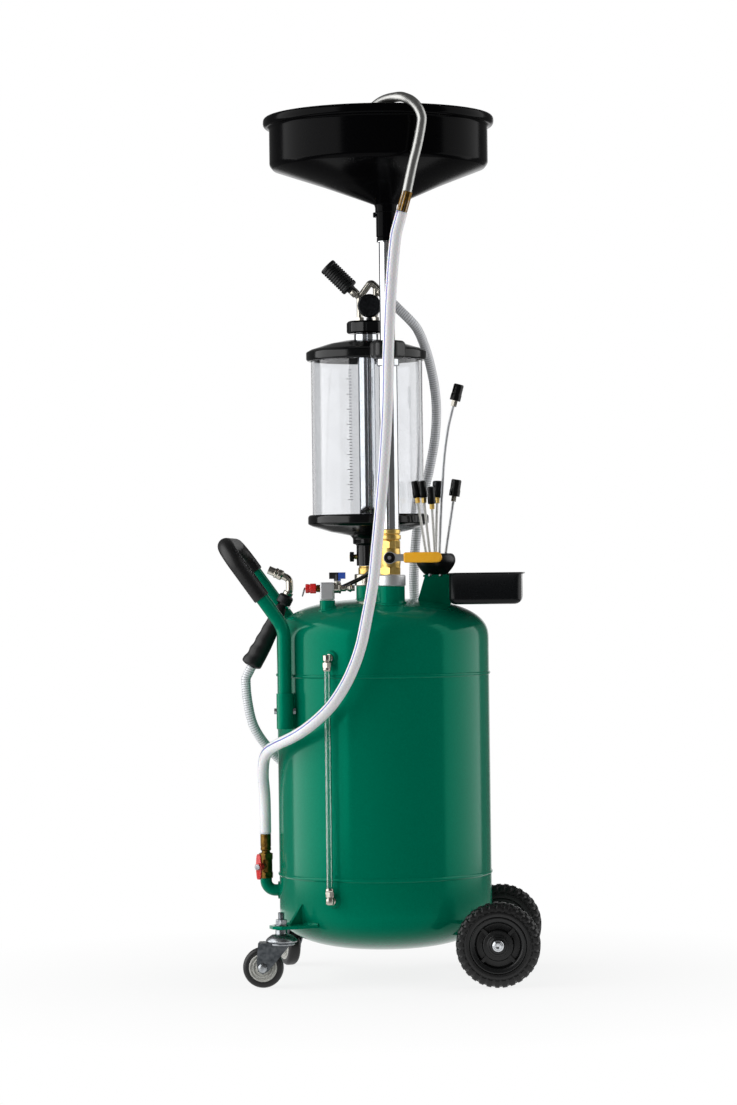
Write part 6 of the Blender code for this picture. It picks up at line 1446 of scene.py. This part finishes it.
# Drawn stainless tube: pale and satin.
STAINLESS = surface("drawn_stainless", ("c2c4c6", "d6d8da"), (0.34, 0.44), 4.0, 0.002, {"Metallic": 1.0})


def probe_cap(radius):
    """A moulded cap on a probe's nut: a straight skirt, a shallow step and a rounded top."""
    outline = [
        (0, 0.0103), (radius, 0.0103), (radius, 0.0220), (radius - 0.0006, 0.0228),
        (radius - 0.0006, 0.0400),
    ]
    return turned(soften(outline + [(radius - 0.0018, 0.0420), (0, 0.0420)], 0.0008), 40)


for name, number, degrees, x, y, top, cap_radius in PROBES:
    turn = math.radians(degrees)
    foot = Vector((HOLDER_X + PROBE_CIRCLE * math.cos(turn), PROBE_CIRCLE * math.sin(turn), PROBE_FOOT_Z))
    tip = Vector((HOLDER_X + x, y, top))
    way = (tip - foot).normalized()
    end = tip - way * PROBE_CAP_LENGTH
    steel = number == 5
    piece(
        f"probe_{number}_tube",
        swept([TANK_AXIS + foot.lerp(end, s / 12) for s in range(13)], PROBE_RADIUS, 20),
        STAINLESS if steel else NATURAL_NYLON, f"{name}_probe", f"probe_{number}",
        slot="nickel_plated_brass",
    )
    piece(
        f"probe_{number}_nut", moved(hex_nut(0.0052, 0.0002, 0.0103), stand(*end, way)),
        NICKEL if steel else BRASS, f"{name}_probe", slot="nickel_plated_brass",
    )
    piece(
        f"probe_{number}_cap", moved(probe_cap(cap_radius), stand(*end, way)), GLOSS_NYLON, f"{name}_probe",
        slot="nickel_plated_brass",
    )
turn = math.radians(60)
tall_foot = Vector((HOLDER_X + PROBE_CIRCLE * math.cos(turn), PROBE_CIRCLE * math.sin(turn), PROBE_FOOT_Z))
knee = tall_foot + Vector((0.010, 0.006, 0.2)).normalized() * 0.16
TALL_STEPS = (
    (0.004, 0.0006, 0.060), (0.009, 0.0008, 0.115), (0.017, 0.0010, 0.165), (0.026, 0.0010, 0.200),
)
tall_route = [tall_foot, knee] + [knee + Vector(step) for step in TALL_STEPS]
tall_line = smooth_line(tall_route, 0.006)[0]
piece(
    "probe_6_tube", swept(tall_line, PROBE_RADIUS, 20), STAINLESS, "tall_probe", "probe_6",
    slot="nickel_plated_brass",
)
tall_end = tall_route[-1]
tall_way = Vector((0.26, 0, 0.966)).normalized()
tall_nut = moved(hex_nut(0.0062, -0.001, 0.0103), stand(*tall_end, tall_way))
piece("probe_6_nut", tall_nut, NICKEL, "tall_probe", slot="nickel_plated_brass")
piece(
    "probe_6_cap", moved(probe_cap(WIDE_CAP_RADIUS), stand(*tall_end, tall_way)), GLOSS_NYLON, "tall_probe",
    slot="nickel_plated_brass",
)

# Tool tray: a pressed steel tray in charcoal powder coat with rounded corners and a turned-out lip,
# hooked over the bracket's outer edge.
TRAY_LOW = (0.1308, -0.150)
TRAY_HIGH = (0.2638, 0.150)
TRAY_FLOOR_Z = 0.7008
TRAY_TOP_Z = 0.7588
TRAY_CORNER = 0.014
# Powder coat on pressed steel: charcoal, satin, with an even fine grain.
CHARCOAL_COAT = surface(
    "charcoal_powder_coat", ("0a0c0e", "101214"), (0.20, 0.26), 1.5, 0.002, {"Specular IOR Level": 0.2},
)


def tray_ring(grow, height):
    """One level of the tray: a rectangle with round corners, grown or shrunk all round."""
    points = []
    radius = TRAY_CORNER + grow
    corners = (TRAY_HIGH, (TRAY_LOW[0], TRAY_HIGH[1]), TRAY_LOW, (TRAY_HIGH[0], TRAY_LOW[1]))
    for corner, (x, y) in enumerate(corners):
        inward = (-1 if corner in (0, 3) else 1, -1 if corner in (0, 1) else 1)
        for step in range(9):
            turn = math.pi / 2 * (corner + step / 8)
            out_x = x + inward[0] * TRAY_CORNER + radius * math.cos(turn)
            out_y = y + inward[1] * TRAY_CORNER + radius * math.sin(turn)
            points.append((out_x, out_y, height))
    return points


tray_rows = [
    (-0.0115, TRAY_FLOOR_Z), (-0.0068, TRAY_FLOOR_Z + 0.0010), (-0.0030, TRAY_FLOOR_Z + 0.0034),
    (-0.0008, TRAY_FLOOR_Z + 0.0072), (0, TRAY_FLOOR_Z + 0.012), (0, TRAY_TOP_Z - 0.0040),
    (0.0008, TRAY_TOP_Z - 0.0028), (0.0040, TRAY_TOP_Z - 0.0025), (0.0050, TRAY_TOP_Z - 0.0015),
    (0.0046, TRAY_TOP_Z - 0.0004), (0.0036, TRAY_TOP_Z), (0.0002, TRAY_TOP_Z),
    (-0.0018, TRAY_TOP_Z - 0.0012), (-0.0025, TRAY_TOP_Z - 0.0032), (-0.0025, TRAY_FLOOR_Z + 0.0125),
    (-0.0050, TRAY_FLOOR_Z + 0.0058), (-0.0110, TRAY_FLOOR_Z + 0.0025),
]
piece(
    "tool_tray_pressing",
    moved(skinned([tray_ring(*row) for row in tray_rows]), Matrix.Translation(TANK_AXIS)), CHARCOAL_COAT,
    "tank", "tool_tray", slot="black_plastic",
)

# Discharge hose: soft milky PVC hose with a braid of polyester thread in its wall and a blue tracer line,
# pushed on the discharge valve's tail and on the hook pipe's ferrule. It hangs round the tank's front.
DISCHARGE_RADIUS = 0.0105
DISCHARGE_BORE = 0.0080
DISCHARGE_ROUTE = [
    (0.05976, -0.31254, 1.40942), (0.04868, -0.31081, 1.37103), (0.0380, -0.2990, 1.2750),
    (0.0310, -0.2840, 1.1650), (0.0275, -0.2730, 1.0730), (0.0220, -0.2630, 0.9900),
    (0.0130, -0.2530, 0.8930), (0.0040, -0.2460, 0.8120), (-0.0035, -0.2410, 0.7480),
    (-0.0165, -0.2380, 0.6800), (-0.0300, -0.2370, 0.6220), (-0.0510, -0.2360, 0.5700),
    (-0.0780, -0.2330, 0.5270), (-0.1060, -0.2230, 0.4980), (-0.1370, -0.2030, 0.4740),
    (-0.1650, -0.1740, 0.4580), (-0.1900, -0.1380, 0.4460), (-0.2100, -0.0980, 0.4330),
    (-0.2220, -0.0580, 0.4130), (-0.2270, -0.0250, 0.3800), (-0.2262, -0.0060, 0.3460),
    (-0.2260, 0.0000, 0.3103), (-0.2260, 0.0000, 0.2703),
]
# Soft PVC: milky and a little see-through, with a fine bias braid and one blue line drawn along the skin.
# The real braid is about 1.5 mm apart; it is drawn at 4 mm so that it shows.
BRAID_MM = 4.0
BRAID_STARTS = 16.0
THREAD_FROM = 0.8
THREAD_SHARE = 0.35
MILKY_PVC = surface(
    "milky_braided_pvc", ("f6f3f6", "faf8fa"), (0.26, 0.34), 2.0, 0.004,
    {"IOR": 1.53, "Transmission Weight": 0.08, "Subsurface Weight": 0.2, "Subsurface Scale": 0.004},
)
tree = MILKY_PVC.node_tree
skin = put(tree, "ShaderNodeUVMap", {}, uv_map="skin")
split = put(tree, "ShaderNodeSeparateXYZ", {"Vector": skin.outputs["UV"]})
turns = put(tree, "ShaderNodeMath", {0: split.outputs["X"], 1: BRAID_STARTS}, operation="MULTIPLY")
rise = put(tree, "ShaderNodeMath", {0: split.outputs["Y"], 1: 1000 / BRAID_MM}, operation="MULTIPLY")
threads = []
for way in ("ADD", "SUBTRACT"):
    bias = put(tree, "ShaderNodeMath", {0: turns.outputs[0], 1: rise.outputs[0]}, operation=way)
    wave = put(tree, "ShaderNodeMath", {0: bias.outputs[0], 1: 1.0}, operation="PINGPONG")
    threads.append(
        put(tree, "ShaderNodeMapRange", {"Value": wave.outputs[0], "From Min": THREAD_FROM, "From Max": 1.0})
    )
braid = put(
    tree, "ShaderNodeMath",
    {0: threads[0].outputs[0], 1: threads[1].outputs[0]}, operation="MAXIMUM",
)
thread_tint = put(tree, "ShaderNodeMath", {0: braid.outputs[0], 1: THREAD_SHARE}, operation="MULTIPLY")
milk = tree.nodes["Principled BSDF"].inputs["Base Color"].links[0].from_socket
braided = put(
    tree, "ShaderNodeMix", {0: thread_tint.outputs[0], 6: milk, 7: paint("cbc6cc")}, data_type="RGBA"
)
TRACER_AT = 0.62
TRACER_HALF = 0.018
offset = put(tree, "ShaderNodeMath", {0: split.outputs["X"], 1: TRACER_AT}, operation="SUBTRACT")
apart = put(tree, "ShaderNodeMath", {0: offset.outputs[0]}, operation="ABSOLUTE")
tracer = put(tree, "ShaderNodeMath", {0: apart.outputs[0], 1: TRACER_HALF}, operation="LESS_THAN")
lined = put(
    tree, "ShaderNodeMix", {0: tracer.outputs[0], 6: braided.outputs[2], 7: paint("3c50b4")}, data_type="RGBA"
)
tree.links.new(lined.outputs[2], tree.nodes["Principled BSDF"].inputs["Base Color"])
discharge_line, discharge_length = smooth_line(DISCHARGE_ROUTE, 0.006)
discharge_hose = bpy.data.objects.new(
    "discharge_hose_tube", swept(discharge_line, DISCHARGE_RADIUS, 32, bore=DISCHARGE_BORE)
)
discharge_hose.data.materials.append(MILKY_PVC)
discharge_hose.data.shade_smooth()
bpy.context.scene.collection.objects.link(discharge_hose)
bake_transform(discharge_hose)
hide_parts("discharge_hose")

# Suction hose: clear PVC hose stiffened by a steel wire helix, from the chamber's top elbow
# down behind the tank and up into the foot of the suction grip.
SUCTION_RADIUS = 0.009
SUCTION_BORE = 0.0072
SUCTION_ROUTE = [
    (0.01621, 0.0780, 1.28219), (0.05298, 0.0780, 1.24542), (0.0730, 0.0930, 1.2180),
    (0.0910, 0.1230, 1.1620), (0.1010, 0.1480, 1.0960), (0.0990, 0.1640, 1.0300),
    (0.0860, 0.1760, 0.9600), (0.0680, 0.1850, 0.8900), (0.0560, 0.1920, 0.8100),
    (0.0520, 0.2030, 0.7300), (0.0560, 0.2170, 0.6500), (0.0640, 0.2240, 0.5600),
    (0.0640, 0.2270, 0.4700), (0.0460, 0.2320, 0.3850), (0.0060, 0.2370, 0.3280),
    (-0.0500, 0.2340, 0.3050), (-0.1080, 0.2140, 0.3200), (-0.1680, 0.1720, 0.3660),
    (-0.2180, 0.1295, 0.4130), (-0.2515, 0.1030, 0.4620), (-0.2645, 0.0960, 0.5100),
    (-0.26812, 0.0950, 0.5624), (-0.25714, 0.0950, 0.58373),
]
# Clear PVC: faintly blue and slightly cloudy, so that the wire inside shows through a soft gloss.
CLEAR_PVC = surface(
    "clear_pvc", ("f2f4f9", "fafbfd"), (0.14, 0.22), 6.0, 0.004,
    {"IOR": 1.53, "Transmission Weight": 0.2},
)
# Spring steel wire, oil-dark, just under the skin: it reads as a close row of dark rings.
SPRING_WIRE = surface("drawn_steel_wire", ("1c2230", "2c3444"), (0.3, 0.45), 1.0, 0.0, {})
WIRE_PITCH = 0.0044
WIRE_RADIUS = 0.0006
WIRE_DEPTH = 0.0003
suction_line, suction_length = smooth_line(SUCTION_ROUTE, 0.006)
suction_hose = piece(
    "suction_hose_tube", swept(suction_line, SUCTION_RADIUS, 28, bore=SUCTION_BORE),
    CLEAR_PVC, "tank", "suction_hose", slot="milky_hose",
)


def coil_of_wire(line, radius, pitch):
    """The path of a wire wound round a line."""
    steps = 14
    tube = swept(line, radius, steps)
    rows = [[v.co.copy() for v in tube.vertices[row * steps : (row + 1) * steps]] for row in range(len(line))]
    bpy.data.meshes.remove(tube)
    spans = run_lengths(line)
    goals = [pitch * step / steps for step in range(int(spans[-1] / pitch * steps))]
    path = []
    for step, (place, share) in enumerate(places_on(spans, goals)):
        path.append(rows[place][step % steps].lerp(rows[place + 1][step % steps], share))
    return path


wire_path = coil_of_wire(suction_line, SUCTION_RADIUS - WIRE_DEPTH, WIRE_PITCH)
suction_wire = piece(
    "suction_hose_wire", swept(wire_path, WIRE_RADIUS, 6), SPRING_WIRE, "tank", slot="zinc_plated_steel"
)

# Air hose: a thin black polyurethane tube from the air manifold
# up beside the chamber to the barb of the top elbow.
AIR_RADIUS = 0.004
AIR_ROUTE = [
    (-0.0735, -0.0867, 0.7333), (-0.0735, -0.0690, 0.7333), (-0.0700, -0.0450, 0.7358),
    (-0.0560, -0.0270, 0.7425), (-0.0340, -0.0200, 0.7535), (-0.0115, -0.0265, 0.7710),
    (0.0060, -0.0425, 0.7960), (0.0160, -0.0565, 0.8350), (0.0180, -0.0600, 0.8800),
    (0.0180, -0.0600, 0.9300), (0.0180, -0.0600, 1.0300), (0.0180, -0.0600, 1.1200),
    (0.0180, -0.0580, 1.1900), (0.0150, -0.0420, 1.2500), (0.0115, -0.0020, 1.2820),
    (0.0100, 0.0380, 1.2884), (0.0100, 0.0617, 1.2884),
]
# Extruded polyurethane: smooth and even, with a soft sheen.
BLACK_TUBE = surface(
    "black_polyurethane", ("101112", "17181a"), (0.3, 0.4), 2.0, 0.004, {"IOR": 1.5}
)
air_line, air_length = smooth_line(AIR_ROUTE, 0.004)
air_hose = piece(
    "air_hose_tube", swept(air_line, AIR_RADIUS, 20), BLACK_TUBE, "tank", "air_hose", slot="black_plastic",
)

# Studio floor: a round sheet of white paper under the object. The camera sees it melt
# into the white backdrop with the soft shadow left on it, and metal and glass see it the same way.
FLOOR_RADIUS = 1.30
SHADOW_RADIUS = 0.30
WHITE_RADIUS = 1.00
SHADOW_SHARE = 0.84
floor_outline = [(0, -0.004), (FLOOR_RADIUS, -0.004), (FLOOR_RADIUS, -0.0003), (0, -0.0003)]
floor = bpy.data.objects.new("floor", turned(floor_outline, 96))
bpy.context.scene.collection.objects.link(floor)
WHITE_PAPER = surface(
    "white_paper", ("e6e6e6", "eaeaea"), (0.85, 0.95), 1.0, 0.0, {"Specular IOR Level": 0.1},
)
floor.data.materials.append(WHITE_PAPER)
tree = WHITE_PAPER.node_tree
where = put(tree, "ShaderNodeTexCoord", {})
reach = put(tree, "ShaderNodeVectorMath", {0: where.outputs["Object"]}, operation="LENGTH")
fade = put(
    tree, "ShaderNodeMapRange",
    {
        "Value": reach.outputs["Value"], "From Min": SHADOW_RADIUS, "From Max": WHITE_RADIUS,
        "To Min": SHADOW_SHARE, "To Max": 1.0,
    },
)
rays = put(tree, "ShaderNodeLightPath", {})
seen = put(
    tree, "ShaderNodeMath",
    {0: rays.outputs["Is Camera Ray"], 1: rays.outputs["Is Transmission Ray"]}, operation="MAXIMUM",
)
seen = put(
    tree, "ShaderNodeMath", {0: seen.outputs[0], 1: rays.outputs["Is Glossy Ray"]}, operation="MAXIMUM",
)
share = put(tree, "ShaderNodeMath", {0: seen.outputs[0], 1: fade.outputs["Result"]}, operation="MULTIPLY")
glow = put(tree, "ShaderNodeEmission", {"Color": (1, 1, 1, 1), "Strength": 1.0})
paper = tree.nodes["Principled BSDF"].outputs["BSDF"]
sheet = put(tree, "ShaderNodeMixShader", {0: share.outputs[0], 1: paper, 2: glow.outputs[0]})
tree.links.new(sheet.outputs[0], tree.nodes["Material Output"].inputs["Surface"])
floor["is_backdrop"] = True

# Studio light: a white backdrop behind the object in a dim room, and a tall wide soft box on each side,
# the left one brighter, so that round and bright pieces show a light strip, a dark middle and a second strip.
# Clear pieces see the white backdrop over a wider angle than metal does.
ROOM_FILL = 0.34
ROOM_SHINE = 0.12
METAL_EDGE = (0.955, 0.988)
CLEAR_EDGE = (0.60, 0.85)
world = bpy.data.worlds.new("studio")
bpy.context.scene.world = world
world.use_nodes = True
tree = world.node_tree
room = tree.nodes["Background"]
toward = put(tree, "ShaderNodeTexCoord", {})
split = put(tree, "ShaderNodeSeparateXYZ", {"Vector": toward.outputs["Generated"]})
behind = put(
    tree, "ShaderNodeMapRange",
    {
        "Value": split.outputs["Y"], "From Min": METAL_EDGE[0], "From Max": METAL_EDGE[1],
        "To Min": ROOM_SHINE, "To Max": 1.0,
    },
)
rays = put(tree, "ShaderNodeLightPath", {})
bent = put(
    tree, "ShaderNodeMath",
    {0: rays.outputs["Is Glossy Ray"], 1: rays.outputs["Is Transmission Ray"]}, operation="MAXIMUM",
)
through = put(
    tree, "ShaderNodeMapRange",
    {
        "Value": split.outputs["Y"], "From Min": CLEAR_EDGE[0], "From Max": CLEAR_EDGE[1],
        "To Min": ROOM_SHINE, "To Max": 1.0,
    },
)
backdrop = put(
    tree, "ShaderNodeMix",
    {0: rays.outputs["Is Transmission Ray"], 2: behind.outputs["Result"], 3: through.outputs["Result"]},
)
shine = put(tree, "ShaderNodeMix", {0: bent.outputs[0], 2: ROOM_FILL, 3: backdrop.outputs[0]})
strength = put(tree, "ShaderNodeMix", {0: rays.outputs["Is Camera Ray"], 2: shine.outputs[0], 3: 1.0})
room.inputs["Color"].default_value = (1, 1, 1, 1)
tree.links.new(strength.outputs[0], room.inputs["Strength"])


def soft_box(name, at, toward, size, power):
    """A tall soft box that faces a point."""
    lamp = bpy.data.lights.new(name, "AREA")
    lamp.shape = "RECTANGLE"
    lamp.size, lamp.size_y = size
    lamp.energy = power
    held = bpy.data.objects.new(name, lamp)
    held.location = at
    held.rotation_euler = (Vector(toward) - Vector(at)).to_track_quat("-Z", "Y").to_euler()
    bpy.context.scene.collection.objects.link(held)


soft_box("left_soft_box", (-2.0, -1.05, 1.5), (0, -1.05, 1.5), (3.6, 3.0), 84)
soft_box("right_soft_box", (2.0, 0.4, 1.5), (0, 0.4, 1.5), (2.3, 3.0), 32)

# Camera: level with the tank's top, a long lens from over six metres away,
# turned a few degrees round the tank and rolled by less than one.
CAMERA_DISTANCE = 6.482
CAMERA_AZIMUTH = math.radians(3.1)
CAMERA_HEIGHT = 0.772
CAMERA_ASIDE = 0.0247
CAMERA_ROLL = -0.0125
FOCAL_PIXELS = 3435
PHOTO_HEIGHT = 1105
SENSOR_WIDTH = 36
FAR_CLIP = 60
HORIZON_BELOW_MIDDLE = 14.5
away = Vector((-math.sin(CAMERA_AZIMUTH), math.cos(CAMERA_AZIMUTH), 0))
across = Vector((math.cos(CAMERA_AZIMUTH), math.sin(CAMERA_AZIMUTH), 0))
lens = bpy.data.cameras.new("camera")
lens.sensor_width = SENSOR_WIDTH
lens.lens = FOCAL_PIXELS / PHOTO_HEIGHT * lens.sensor_width
lens.clip_end = FAR_CLIP
camera = bpy.data.objects.new("camera", lens)
spot = TANK_AXIS - away * CAMERA_DISTANCE - across * CAMERA_ASIDE
camera.location = (spot.x, spot.y, CAMERA_HEIGHT)
tilt = math.atan(HORIZON_BELOW_MIDDLE / FOCAL_PIXELS)
camera.rotation_euler = (
    Matrix.Rotation(CAMERA_AZIMUTH, 3, "Z")
    @ Matrix.Rotation(math.pi / 2 + tilt, 3, "X")
    @ Matrix.Rotation(CAMERA_ROLL, 3, "Z")
).to_euler()
bpy.context.scene.collection.objects.link(camera)
bpy.context.scene.camera = camera

# Sizes: the box round everything that renders, the floor left out.
low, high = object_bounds()
